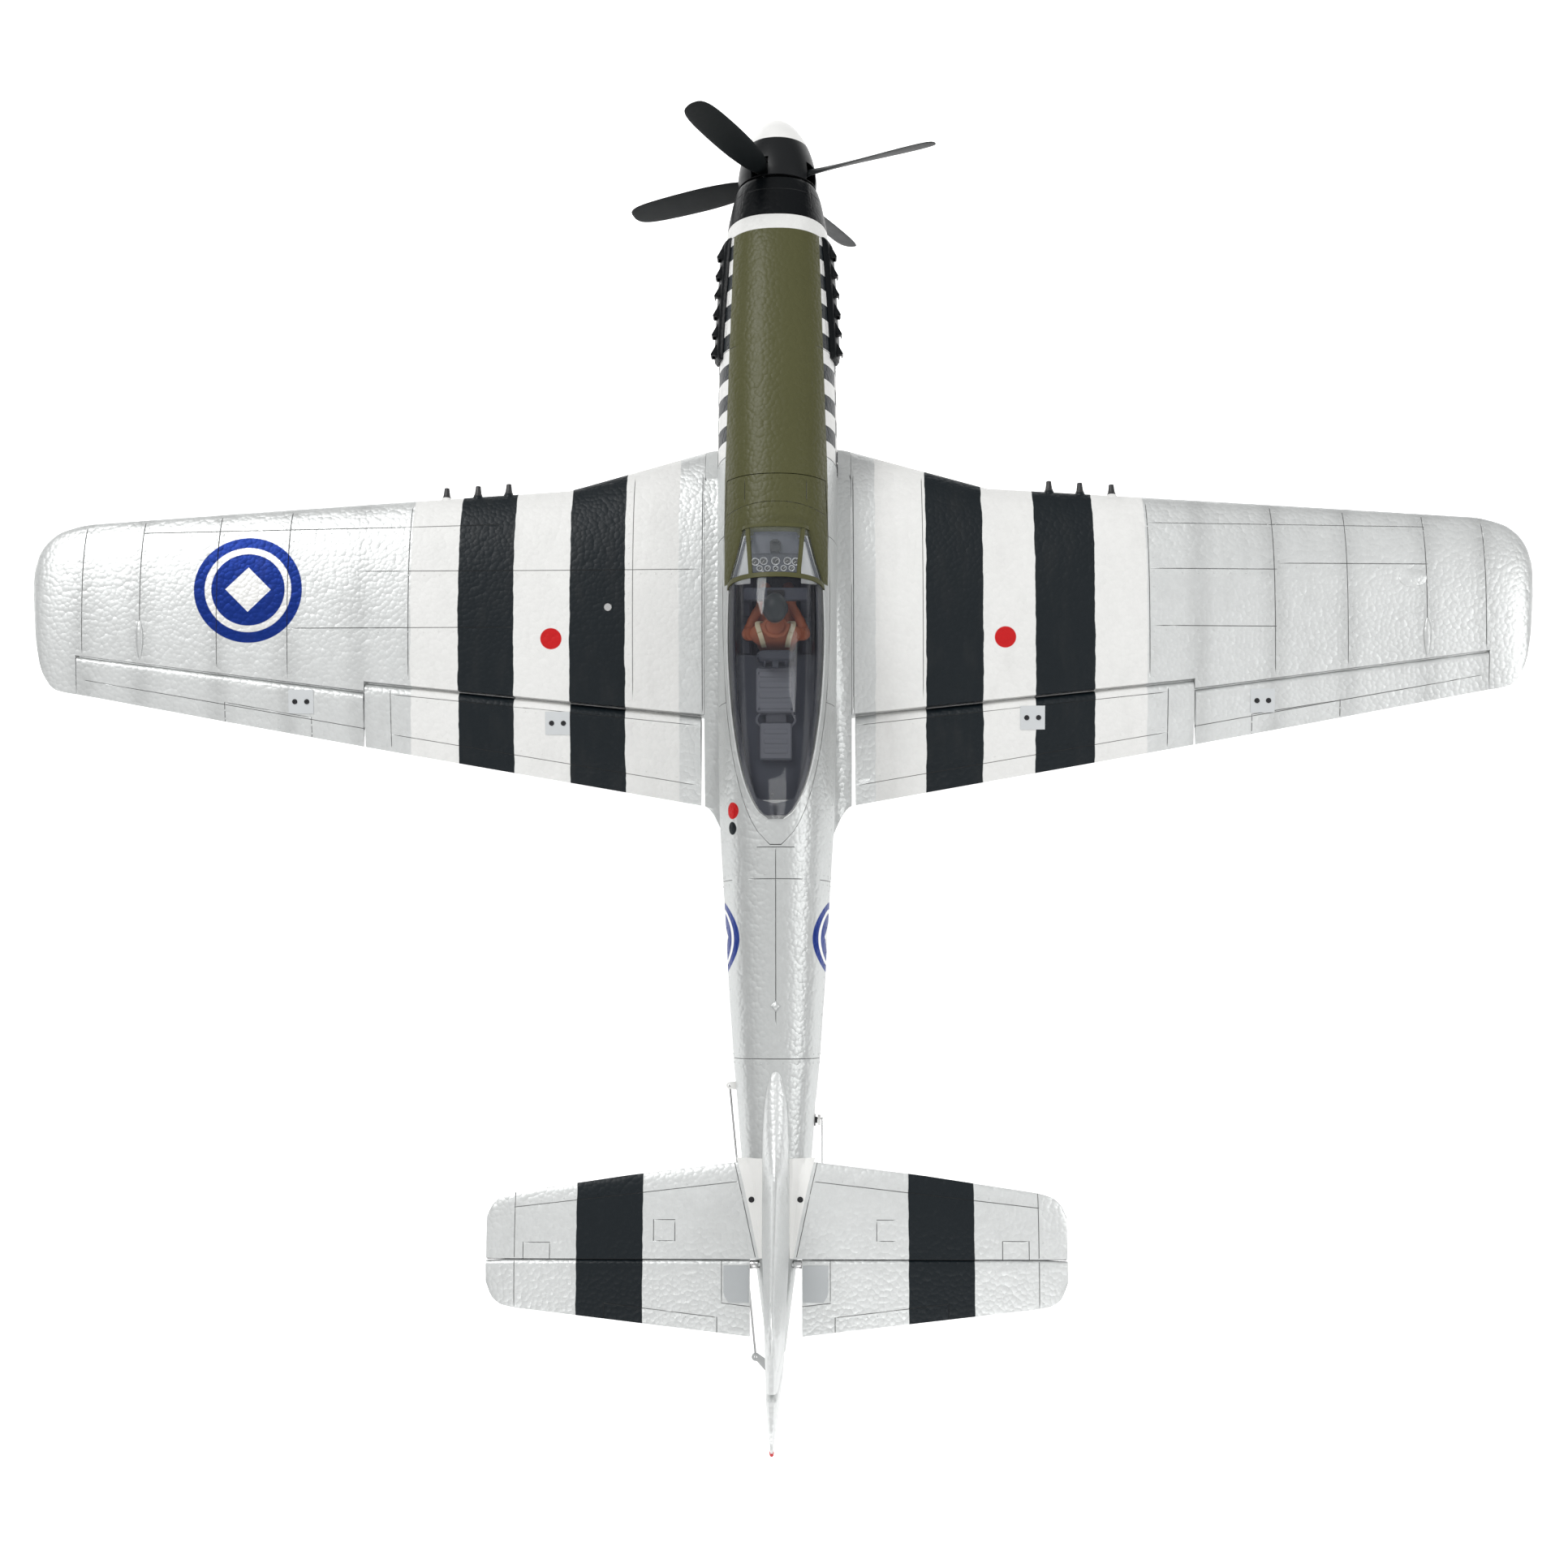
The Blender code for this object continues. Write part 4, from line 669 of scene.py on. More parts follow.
def naca(c, t):
    """Half thickness over chord of a four-digit section."""
    return 5 * t * (0.2969 * sqrt(max(c, 0)) - 0.126 * c - 0.3516 * c * c
                    + 0.2843 * c ** 3 - 0.1036 * c ** 4)


def camber(c, m=0.018, p=0.38):
    if c < p:
        return m / p ** 2 * (2 * p * c - c * c)
    return m / (1 - p) ** 2 * (1 - 2 * p + 2 * p * c - c * c)


def wing_value(x, col):
    return linear(WING, x, col) if x < WING_TIP_START else rounded(WING, x, col)


def wing_point(x, y, face):
    """Right wing skin point; face is 1 on top and -1 below."""
    front, rear, thickness = (wing_value(x, col) for col in (1, 2, 3))
    chord = front - rear
    c = min(1.0, max(0.0, (front - y) / chord))
    half = naca(c, thickness) * chord + 0.6 * c
    base = (WING_Z + x * tan(radians(DIHEDRAL))
            + (y - (front - 0.3 * chord)) * tan(radians(INCIDENCE)))
    return vec(x, y, base + camber(c) * chord + face * half)


def wing_top(x, y, offset=0.0):
    """Point and outward normal on top of either wing."""
    a, b = wing_point(abs(x) + 1, y, 1), wing_point(abs(x) - 1, y, 1)
    c, d = wing_point(abs(x), y + 1, 1), wing_point(abs(x), y - 1, 1)
    n = (a - b).cross(c - d).normalized()
    p = wing_point(abs(x), y, 1) + n * offset
    k = 1 if x > 0 else -1
    return vec(k * p.x, p.y, p.z), vec(k * n.x, n.y, n.z)


def wing_ring(x, front, rear, n=30):
    steps = cosine_steps(n)
    return ([wing_point(x, front - (front - rear) * c, 1) for c in reversed(steps)]
            + [wing_point(x, front - (front - rear) * c, -1) for c in steps[1:]])


def gap_y(surface, x):
    x0, y0, x1, y1 = surface
    return y0 + (y1 - y0) * (x - x0) / (x1 - x0)


def hinge_at(surface, x):
    """Hinge centre and the half thickness there."""
    y = gap_y(surface, x) - 6.0
    for _ in range(6):
        top, low = wing_point(x, y, 1), wing_point(x, y, -1)
        half = (top.z - low.z) / 2
        y = gap_y(surface, x) - 0.5 - half
    return vec(x, y, (top.z + low.z) / 2), half


# ------------------------------------------------------------------ paints
SILVER, OLIVE = (0.70, 0.715, 0.71), (0.078, 0.078, 0.030)
WHITE, BLACK = (0.765, 0.765, 0.75), (0.005, 0.009, 0.012)
BLUE, RED = (0.004, 0.026, 0.20), (0.52, 0.006, 0.008)
BEAD = 3.4                       # size of the foam beads
SILVER_METAL = 0.55
# x limits of the painted stripes
WING_WHITE = [(-297.3, -259.0), (-214.5, -169.2), (-124.5, -80.6), (79.5, 120.5),
              (166.5, 208.3), (255.8, 297.3)]
WING_BLACK = [(-259.0, -214.5), (-169.2, -124.5), (120.5, 166.5), (208.3, 255.8)]
TAIL_BLACK = [(-150.0, -100.0), (99.3, 148.5)]
# x of the lines along which the wing silver gets painted shade
WING_PAINTED_SHADE_X = (-558.5, -512.8, -452.0, -395.7, 397.6, 454.4, 515.6, 561.0, -339.0, 339.0)


def foam_finish(shader, colour, rough=0.46, metal=0.0, bead=1.0, specular=0.24):
    """Paint over bead foam: bead bump, slight colour variation, painted shade darkening the grooves.
    """
    broad = shader.noise(size=70, detail=3.0, rough=0.55)
    small = shader.noise(size=9, detail=2.0, offset=(3.1, 7.7, 1.3))
    bead_colour = shader.voronoi(BEAD, "Color", "F1")
    cell = shader.node("SeparateColor", [bead_colour])
    colour = shader.shade(colour, (0.93 + broad * 0.09) * (0.975 + small * 0.03)
                          * (0.985 + cell * 0.03))
    # painted shade: the centre of each engraved groove is darkened towards near black
    groove = shader.node("Attribute", output="Fac", attribute_name="groove")
    groove = groove.ramp(low=0.05, high=0.9)
    colour = shader.mix(groove * 0.86, colour, (0.035, 0.035, 0.035))
    dents = shader.voronoi(BEAD, "Distance", "SMOOTH_F1", Smoothness=0.25)
    fine = shader.noise(size=0.9, detail=2.0, rough=0.6)
    height = ((1.0 - dents * dents * 1.6) * 0.75 + fine * 0.12
              + shader.noise(size=22, detail=2) * 0.5)
    return shader.finish(
        Base_Color=colour, Roughness=rough + (small - 0.5) * 0.10 + cell * 0.04, Metallic=metal,
        height=height, bump=0.00036 * bead, strength=0.8, Specular_IOR_Level=specular)


def stripes(value, bands):
    return reduce(add, (value.band(*band) for band in bands))


def disc(u, v, centre_u, centre_v, r):
    distance = ((u - centre_u) * (u - centre_u) + (v - centre_v) * (v - centre_v)).sqrt()
    return 1.0 - distance.edge(r, soft=0.3)


def roundel(shader, colour, u, v, centre, r, mask=None):
    """Blue disc, white ring, white lozenge."""
    blue = disc(u, v, *centre, r)
    ring = disc(u, v, *centre, r * 0.80) * (1.0 - disc(u, v, *centre, r * 0.68))
    lozenge = 1.0 - ((u - centre[0]).abs() + (v - centre[1]).abs()).edge(r * 0.42, soft=0.3)
    white = ring.max(lozenge)
    if mask is not None:
        blue, white = blue * mask, white * mask
    return shader.mix(white, shader.mix(blue, colour, BLUE), WHITE)


def wing_paint():
    shader = new_shader("paint_wing")
    x, y, _ = shader.axes()
    wobbly = x + (shader.noise(size=16, detail=2) - 0.5) * 2.2
    white, black = stripes(wobbly, WING_WHITE), stripes(wobbly, WING_BLACK)
    # silver, a touch darker along the rib lines as painted shade, and varied at random over broad
    # patches
    rib_shade = reduce(Value.max, (1.0 - (x - rib_x).abs().ramp(low=0.5, high=20.0)
                             for rib_x in WING_PAINTED_SHADE_X))
    tone = 1.0 - rib_shade * rib_shade * 0.13 * (0.5 + shader.noise(size=30, detail=2))
    tone = tone * (0.93 + 0.12 * shader.noise(size=120, detail=2, offset=(4.0, 1.0, 2.0)))
    colour = shader.mix(white, shader.shade(SILVER, tone), WHITE)
    colour = shader.mix(black, colour, BLACK)
    colour = roundel(shader, colour, x, y, centre=(-427.0, 159.0), r=43.0)
    dots = disc(x, y, -184.0, 121.2, r=8.6).max(disc(x, y, 184.0, 121.2, r=8.6))
    colour = shader.mix(dots, colour, RED)
    # faint soot drawn out along the chord
    soot = shader.noise(size=14, rough=0.6, stretch=(1.0, 0.25, 1.0)).ramp(low=0.45, high=0.8)
    colour = shader.mix(soot * 0.06, colour, (0.10, 0.09, 0.08))
    return foam_finish(shader, colour, rough=0.40,
                       metal=SILVER_METAL * (1.0 - (white + black).min(1.0)))


def fuselage_paint():
    shader = new_shader("paint_fuselage")
    x, y, z = shader.axes()
    side_x = x.abs()
    wobble = (shader.noise(size=14, detail=2) - 0.5) * 1.2
    # olive panel on top of the nose, narrowing forwards
    half = (y + wobble).ramp(low=235.0, high=440.0, start=40.6, end=34.4, smooth=False)
    upper = z.edge(18.0, soft=2.0)
    nose = y.edge(256.5, soft=0.3)
    olive = (1.0 - (side_x + wobble * 0.5).edge(0.0, soft=0.3)
             * (side_x + wobble * 0.5 - half).edge(0.0, soft=0.3)) * upper * y.edge(152.0, 0.4)
    # checkers on the nose
    square = 12.75
    column = ((y - 269.3) / square).floor()
    row = ((10.0 - z) / square).floor().max(-1.0)
    parity = (column + row + 400.0) * 0.5
    parity = (parity - parity.floor()) * 2.0
    checkers = shader.mix(parity, WHITE, BLACK)
    colour = shader.mix(nose * (1.0 - side_x.edge(49.3, soft=0.2)), (0.565, 0.58, 0.575),
                        checkers)
    colour = shader.mix(olive, colour, OLIVE)
    colour = shader.mix(y.edge(442.0, soft=0.3), colour, WHITE)
    colour = shader.mix(y.edge(455.0, soft=0.3), colour, BLACK)
    left = 1.0 - x.edge(0.0, soft=0.1)
    behind = 1.0 - y.edge(150.0, soft=1.0)
    colour = roundel(shader, colour, y, z, centre=(-121.0, 6.0), r=27.0,
                     mask=side_x.edge(20.0, soft=0.2) * behind)

    def left_oval(ahead, centre_z, length_squared, height_squared, soft):
        """Oval on the left flank, centred at y = -ahead, from squared half axes."""
        distance = ((y + ahead) * (y + ahead) / length_squared
                    + (z - centre_z) * (z - centre_z) / height_squared).sqrt()
        return (1.0 - distance.edge(1.0, soft)) * left

    colour = shader.mix(left_oval(25.0, 35.6, 42.0, 25.0, soft=0.04), colour, RED)
    colour = shader.mix(left_oval(38.5, 34.6, 25.0, 13.0, soft=0.05), colour, BLACK)
    # dark streaks along the flanks behind the exhaust stacks
    streaks = (shader.noise(size=26, rough=0.6, stretch=(1, 0.12, 1.6)).ramp(low=0.42, high=0.75)
               * y.ramp(low=60, high=330) * (1.0 - y.edge(352.0, soft=4.0))
               * z.band(-8, 24, soft=6.0))
    colour = shader.mix(streaks * 0.35, colour, (0.05, 0.045, 0.04))
    return foam_finish(shader, colour, rough=0.38,
                       metal=SILVER_METAL * (1.0 - (nose + olive).min(1.0)))


def tail_paint():
    shader = new_shader("paint_tail")
    wobble = (shader.noise(size=14, detail=2) - 0.5) * 1.4
    black = stripes(shader.axes()[0] + wobble, TAIL_BLACK)
    return foam_finish(shader, shader.mix(black, SILVER, BLACK), rough=0.40,
                       metal=SILVER_METAL * (1.0 - black.min(1.0)))


def plain(name, colour, rough=0.5, metal=0.0, vary=0.10, grain=0.0, size=18.0, specular=0.5,
          coat=0.0, packed=False):
    """One colour, varied by vary over patches of the given size; grain scales the fine bump."""
    shader = new_shader(name, packed)
    tone = (1.0 - vary / 2) + shader.noise(size, rough=0.55) * vary
    patches = shader.noise(size * 0.5, rough=0.6, offset=(5, 1, 2))
    inputs = dict(Base_Color=shader.shade(colour, tone), Roughness=rough + (patches - 0.5) * 0.16,
                  Metallic=metal, Specular_IOR_Level=specular, Coat_Weight=coat)
    if grain:
        height = shader.noise(size=0.6, detail=2, rough=0.6) + shader.noise(size=3.0, detail=2)
        inputs.update(height=height, bump=0.00006 * grain, strength=0.6)
    return shader.finish(**inputs)


def spinner_paint():
    """Dark at the back, white tip."""
    shader = new_shader("paint_spinner")
    y = shader.axes()[1]
    tip = (y + (shader.noise(size=8, detail=2) - 0.5) * 0.4).edge(527.5)
    colour = shader.mix(tip, (0.005, 0.006, 0.007), (0.80, 0.80, 0.785))
    tone = 0.93 + shader.noise(size=12) * 0.12
    return shader.finish(
        Base_Color=shader.shade(colour, tone),
        Roughness=0.30 + shader.noise(size=5, detail=2) * 0.12,
        height=shader.noise(size=2.5, detail=2), bump=0.00003, strength=0.5,
        Specular_IOR_Level=0.25)


def glass(name, colour, alpha):
    shader = new_shader(name)
    return shader.finish(Base_Color=colour, IOR=1.49, Alpha=alpha, Specular_IOR_Level=0.8,
                         Roughness=0.04 + shader.noise(size=30, detail=2) * 0.03)


STEEL = dict(colour=(0.62, 0.62, 0.62), rough=0.28, metal=1.0, vary=0.08)
MAT = {
    "wing": wing_paint(),
    "body": fuselage_paint(),
    "tail": tail_paint(),
    "black_foam": foam_finish(new_shader("paint_black"), (0.002, 0.003, 0.004), rough=0.36,
                              bead=0.6, specular=0.14),
    "olive": foam_finish(new_shader("paint_olive"), OLIVE, rough=0.5, bead=0.5),
    "gun": plain("gun_black", (0.02, 0.02, 0.022), rough=0.45, grain=1),
    "prop": plain("propeller_black", (0.008, 0.010, 0.011), vary=0.3, grain=1.2, specular=0.2),
    "black": plain("plastic_black", (0.014, 0.014, 0.015), rough=0.40, vary=0.3, grain=1),
    "white": plain("plastic_white", (0.80, 0.80, 0.78), rough=0.34, vary=0.06, grain=0.6),
    "pale": plain("plastic_pale", (0.56, 0.58, 0.59), rough=0.40, vary=0.06, grain=0.8),
    "steel": plain("steel", **STEEL),
    "screw": plain("screw_black", (0.03, 0.03, 0.033), rough=0.35, metal=0.6),
    "tyre": plain("tyre", (0.018, 0.018, 0.018), rough=0.82, vary=0.35, grain=2.0, size=9),
    "hub": plain("hub", (0.55, 0.56, 0.57), rough=0.4, metal=0.3),
    "tub": plain("cockpit", (0.060, 0.067, 0.090), rough=0.6, vary=0.15, grain=1),
    "panel": plain("instrument_panel", (0.085, 0.092, 0.115), rough=0.55, grain=0.6),
    "dial": plain("dial", (0.015, 0.015, 0.016), rough=0.3),
    "dial_ring": plain("dial_ring", (0.62, 0.64, 0.66), rough=0.35, metal=0.2),
    "helmet": plain("helmet", (0.040, 0.050, 0.054), rough=0.42, vary=0.2, grain=1),
    "jacket": plain("jacket", (0.42, 0.125, 0.055), rough=0.55, vary=0.30, grain=3, size=7),
    "strap": plain("strap", (0.74, 0.66, 0.46), rough=0.7, grain=3, size=4),
    "skin": plain("face", (0.50, 0.27, 0.17), vary=0.12, grain=0.5, size=6),
    "red_lamp": plain("lamp_red", (0.6, 0.01, 0.015), rough=0.15, coat=0.8),
    "spinner": spinner_paint(),
    "glass": glass("canopy_tint", (0.020, 0.022, 0.030), alpha=0.22),
    "pane": glass("windshield_clear", (0.30, 0.33, 0.35), alpha=0.10),
    "plate": plain("plate_grey", (0.46, 0.48, 0.49), rough=0.4, vary=0.06, grain=0.8),
    "console": plain("console_grey", (0.20, 0.21, 0.245), grain=1),
}


# ------------------------------------------------------------------ cutters shared by skins
def pockets(pivot, along, away, down, size, wing):
    """Recesses for a servo and its linkage; size is length, width, depth."""
    pivot = Vector(pivot)
    along, away, down = (Vector(axis).normalized() for axis in (along, away, down))
    length, width, depth = size
    half, rear = width / 2, -depth - 5.4

    def box(a0, a1, b0, b1, c0, c1):
        centre = pivot + along * ((a0 + a1) / 2) + away * ((b0 + b1) / 2) + down * ((c0 + c1) / 2)
        return block(centre, (a1 - a0, b1 - b0, c1 - c0), along, away, down)

    low = -half - 0.5
    if wing:
        return [box(rear, 4.0, -15, length - 5.4, low, 40),
                box(-10.0, -6.8, -11.5, length - 0.5, low, 40)]
    return [box(rear, 0, -6.5, length - 5.5, low, half + 0.5),
            box(-10.0, -6.8, -11.5, length - 0.5, low, half + 0.5),
            box(-3.2, 3.6, -16, 16, -8, 30)]


def wing_pockets(surface, x, reach):
    """Pockets at x, reach ahead of the hinge line of a wing surface."""
    side = 1 if x > 0 else -1
    a, b = hinge_at(surface, surface[0] + 5)[0], hinge_at(surface, surface[2] - 5)[0]
    along = (b - a).normalized()
    hinge = a + along * ((abs(x) - a.x) / along.x)
    away = Vector(FORWARD)
    away = (away - along * away.dot(along)).normalized()
    down = away.cross(along).normalized()
    down = -down if down.z > 0 else down
    places = [vec(side * v.x, v.y, v.z) for v in (hinge + away * reach, along, away, down)]
    return pockets(*places, size=(23.0, 12.0, 22.0), wing=True)


TAIL_SERVO = (20.0, 9.0, 18.0)
POCKETS = {
    "wing_right": wing_pockets(AILERON, 391.0, 50.0) + wing_pockets(FLAP, 205.0, 56.0),
    "wing_left": wing_pockets(AILERON, -384.0, 50.0) + wing_pockets(FLAP, -178.0, 56.0),
    "elevator": pockets((33, -261, 5), RIGHT, FORWARD, DOWN, TAIL_SERVO, wing=False),
    "rudder": pockets((-20.5, -235, 3.0), DOWN, FORWARD, LEFT, TAIL_SERVO, wing=False),
}


def gear_cutters():
    """Wheel well, leg slot and pivot well of the right main gear."""
    tilt, leg = radians(5.0), radians(85.0)
    pivot = vec(190.0, 205.0, -42.0)
    normal, across = vec(-sin(tilt), 0, cos(tilt)), vec(cos(tilt), 0, sin(tilt))
    wheel = pivot + vec(-15 * cos(leg) - 138 * sin(leg), 0, 15 * sin(leg) - 138 * cos(leg))
    return [revolve([(0, -60), (38.0, -60), (38.0, 11.5), (0, 11.5)], wheel, normal, 56),
            block(pivot - across * 72 - normal * 24 - vec(0, 2.6, 0), (150, 22.4, 61.0),
                  across, FORWARD, normal),
            block(pivot + across * 6 - normal * 22.5, (47, 25, 62.0), across, FORWARD, normal)]


# ------------------------------------------------------------------ wings
# x, front y, rear y of the chordwise rib lines
RIBS = {-1: [(-558.5, 209.0, 107), (-512.8, 214, 104), (-452, 220, 97), (-395.7, 225, 89)],
        1: [(397.6, 225, 89), (454.4, 219, 95), (515.6, 213.5, 102), (561, 208, 107)]}
# (x, y) panel lines; the last two of each wing run along the chord
PANEL_LINES = {
    -1: [[(-512, 205.4), (-299.8, 212.8), (-227, 215.9)],
         [(-339.5, 174.8), (-299, 175.4), (-62, 178.8)], [(-394.6, 128), (-214.6, 130.3)],
         [(-299, 232), (-299, 88)], [(-118, 258), (-118, 72)]],
    1: [[(299, 213.7), (516, 205.3)], [(300.4, 174.9), (400.4, 172.2)],
        [(401.6, 177.1), (517.6, 174)], [(299.9, 128.7), (398.8, 126.4)],
        [(299, 232), (299, 88)], [(118, 258), (118, 72)]]}
FAIRINGS = {-1: (-512.8, 133, 102), 1: (515.6, 131, 100.6)}      # x, front y, rear y
WING_XS = ([60.3 + (WING_TIP_START - 60.3) * i / 44 for i in range(45)]
           + [560, 564, 568, 572, 576, 580, 584, 588, 591, 593.5, 595.5, 597, 598.2, 599.2, 600])
GUN_XS = (223.0, 248.0, 273.5)
# (radius, height) about the gun axis
BARREL = [(0, -14), (3.6, -14), (3.6, 1.0), (3.2, 2.2), (2.9, 2.6), (2.3, 6.5), (2.1, 8.9),
          (1.9, 9.2), (1.3, 9.2), (1.3, 3), (0, 3)]
GUN_MOUNT = [(0, -22), (1.5, -21), (4.2, -12), (4.9, -5), (4.6, -1), (3.6, 0.8), (0, 0.8)]
# (x, y) lines: grooves on both faces, grooves on top only, rivet rows
AILERON_LINES = {
    -1: ([[(-557.7, 85.5), (-333.5, 48.2)]],
         [[(-446.0, 68.5), (-377.0, 57.0), (-377.0, 40.5)], [(-446.0, 68.5), (-446.0, 51.5)]],
         [[(-445.9, 62.4), (-377, 50.9)], [(-445.6, 55.7), (-376.8, 44.2)]]),
    1: ([[(557.7, 85.5), (333.5, 48.2)]],
        [[(379.6, 57.3), (448.4, 67.6), (448.4, 50.5)], [(379.6, 57.3), (379.6, 39.5)]],
        [[(379.7, 51.2), (448.4, 61.5)], [(379.4, 43.3), (448, 54.3)]])}
FLAP_LINES = {side: [[[(side * x, y) for x, y in line] for line in lines] for lines in (
    [[(313.8, 75.7), (64.0, 52.3)], [(312.9, 43.8), (64, 4.1)]],
    [[(313.5, 79), (313.2, 33)]],
    [[(310, 72.5), (66, 49.5)], [(310, 47.5), (66, 8.6)]])] for side in (-1, 1)}
# control surface, its gap line, plate x limits, plate y limits
HORN_PLATES = {-1: [("aileron_left", AILERON, -394.9, -375.0, 60.0, 78.9),
                    ("flap_left", FLAP, -188.9, -169.1, 44.3, 62.7)],
               1: [("aileron_right", AILERON, 378.3, 397.2, 58.5, 77.2),
                   ("flap_right", FLAP, 195.9, 215.6, 47.1, 66.0)]}


def wing_rivets(lines, step):
    return [dome(*wing_top(x, y), 0.75, 0.32) for x, y in along_lines(lines, step)]


def wing_skin(side, tag):
    loops = [wing_ring(x, wing_value(x, 1), wing_value(x, 2)) for x in WING_XS]
    wing = make("wing_skin_" + tag, mirror(loft(loops), side), "wing", "airframe", "wing_" + tag)
    cuts = []
    for surface, x0 in ((FLAP, 50.0), (AILERON, AILERON[0] - 1.2)):
        x1 = surface[2] + 0.6
        bay = [(x0, -60), (x1, -60), (x1, gap_y(surface, x1)), (x0, gap_y(surface, x0))]
        cuts.append(mirror(prism(bay, -90, 40), side))
    cuts.append(mirror(cylinder((-5, SPAR_Y, SPAR_Z), (121, SPAR_Y, SPAR_Z), SPAR_HOLE), side))
    cuts += [mirror(cut, side) for cut in gear_cutters()]
    boolean(wing, cuts + POCKETS["wing_" + tag])
    lines = [[(x, front), (x, rear)] for x, front, rear in RIBS[side]] + PANEL_LINES[side]
    root = [(side * 61.6, 262), (side * 61.6, 62)]
    engrave(wing, lines + [root], UP, width=0.95, depth=0.42)
    engrave(wing, lines, DOWN)


def wing_rivet_rows(side, tag):
    panels = PANEL_LINES[side]
    rows = wing_rivets([[(x + 3.2 * side * k, front - 4), (x + 3.2 * side * k, rear + 4)]
                        for x, front, rear in RIBS[side] for k in (-1, 1)], 10.5)
    rows += wing_rivets([[(x, y - 3.4) for x, y in line] for line in panels[:-2]], 12.0)
    rows += wing_rivets([[(x + 3.4 * side, y) for x, y in line] for line in panels[-2:]], 12.0)
    make("wing_rivets_" + tag, rows, "wing", "airframe")


def wing_fairing(side, tag):
    """Tear-drop bump ahead of the aileron gap."""
    x, front, rear = FAIRINGS[side]
    loops = []
    for i in range(15):
        t = i / 14
        p, n = wing_top(x, front + (rear - front) * t)
        half = 3.6 * sin(pi * min(1.0, t * 0.92 + 0.04)) ** 0.7 * (1.0 - 0.35 * t)
        angles = [2 * pi * k / 12 for k in range(12)]
        loops.append([p + vec(cos(a) * half, 0, 0) + n * (sin(a) * half * 0.62)
                      for a in angles])
    make("wing_fairing_" + tag, loft(loops), "wing", "airframe")


def wing_guns(side, tag):
    for name, profile, material in (("wing_guns_", BARREL, "gun"),
                                    ("wing_gun_mounts_", GUN_MOUNT, "wing")):
        parts = []
        for x in GUN_XS:
            edge = linear(WING, x, 1)
            centre = (x, edge, wing_point(x, edge, 1).z)
            parts.append(mirror(revolve(profile, centre, FORWARD, 28), side))
        make(name + tag, parts, material, "airframe")


def surface_ring(surface, x, m=9):
    centre, half = hinge_at(surface, x)
    rear = wing_value(x, 2)
    ys = [rear + (centre.y - rear) * k / m for k in range(m)]
    nose = [vec(x, centre.y + half * sin(a), centre.z + half * cos(a)) for a in HALF_TURN]
    return ([wing_point(x, y, 1) for y in ys] + nose
            + [wing_point(x, y, -1) for y in reversed(ys)])


def control_surface(kind, surface, lines, side, tag, n=30):
    x0, _, x1, _ = surface
    both, top, rivet_rows = lines[side]
    body = kind + "_" + tag
    loops = [surface_ring(surface, x0 + (x1 - x0) * k / n) for k in range(n + 1)]
    skin = make(kind + "_skin_" + tag, mirror(loft(loops), side), "wing", body, body)
    engrave(skin, both + top, UP, depth=0.38)
    engrave(skin, both, DOWN, width=0.8, depth=0.35)
    make(kind + "_rivets_" + tag, wing_rivets(rivet_rows, 8.5), "wing", body)


def horn_plate(body, surface, x0, x1, y0, y1):
    """Plate with two screws on top of a control surface."""
    y1 = min(y1, hinge_at(surface, abs(x0 + x1) / 2)[0].y + 1.0)
    loops = []
    for i in range(7):
        top, low = [], []
        for j in range(7):
            p, n = wing_top(x0 + (x1 - x0) * i / 6, y0 + (y1 - y0) * j / 6)
            top.append(p + n * (0.85 if 0 < j < 6 and 0 < i < 6 else 0.6))
            low.append(p - n * 0.6)
        loops.append(top + list(reversed(low)))
    make(body + "_plate", loft(loops), "pale", body)
    profile = [(0, -0.4), (2.1, -0.4), (2.1, 0.4), (1.6, 0.95), (0.75, 1.1), (0.75, 0.5),
               (0, 0.5)]
    screws = [revolve(profile, *wing_top(x0 + (x1 - x0) * part, y0 + (y1 - y0) * 0.5, 0.7), 18)
              for part in (0.26, 0.74)]
    make(body + "_screws", screws, "screw", body)


def fuel_cap():
    profile = [(0, -0.6), (3.2, -0.6), (3.2, 0.5), (2.8, 0.8), (0.8, 0.8), (0.8, 0.5), (0, 0.5)]
    make("fuel_cap", revolve(profile, *wing_top(-138, 147), 24), "steel", "airframe")


def wing_door():
    """Oval door on the right wing."""
    loops = []
    for part, height in ((1.0, -0.5), (1.0, 0.35), (0.93, 0.6), (0.01, 0.65)):
        angles = [2 * pi * k / 40 for k in range(40)]
        loops.append([wing_top(505 + 10.6 * part * cos(a), 163 + 7.2 * part * sin(a), height)[0]
                      for a in angles])
    make("wing_door", loft(loops), "wing", "airframe")


for side, tag in SIDES:
    wing_skin(side, tag)
    wing_rivet_rows(side, tag)
    wing_fairing(side, tag)
    wing_guns(side, tag)
    control_surface("aileron", AILERON, AILERON_LINES, side, tag)
    control_surface("flap", FLAP, FLAP_LINES, side, tag)
    for plate in HORN_PLATES[side]:
        horn_plate(*plate)
fuel_cap()
wing_door()

# ------------------------------------------------------------------ fuselage
FILLET = 18.0                    # radius of the wing root fillet
FILLET_XS = [0, 20, 36, 40, 42, 43, 44.2, 45.6, 47.2, 49, 51, 53.2, 55.4, 57.6, 60]
HATCH_GAP, HATCH_DROP = 0.35, 6.0
# (x, y) lines on the back and under the belly
BACK_LINES = [[(0, -54), (0, -188)], [(-20, -78), (20, -78)], [(-22, -213.6), (22, -213.6)],
              [(-14, -54), (14, -54)]]
BELLY_LINES = [[(0, 452), (0, 120)], [(0, -158), (0, -300)], [(-20, 430), (20, 430)],
               [(-24, 330), (24, 330)]]
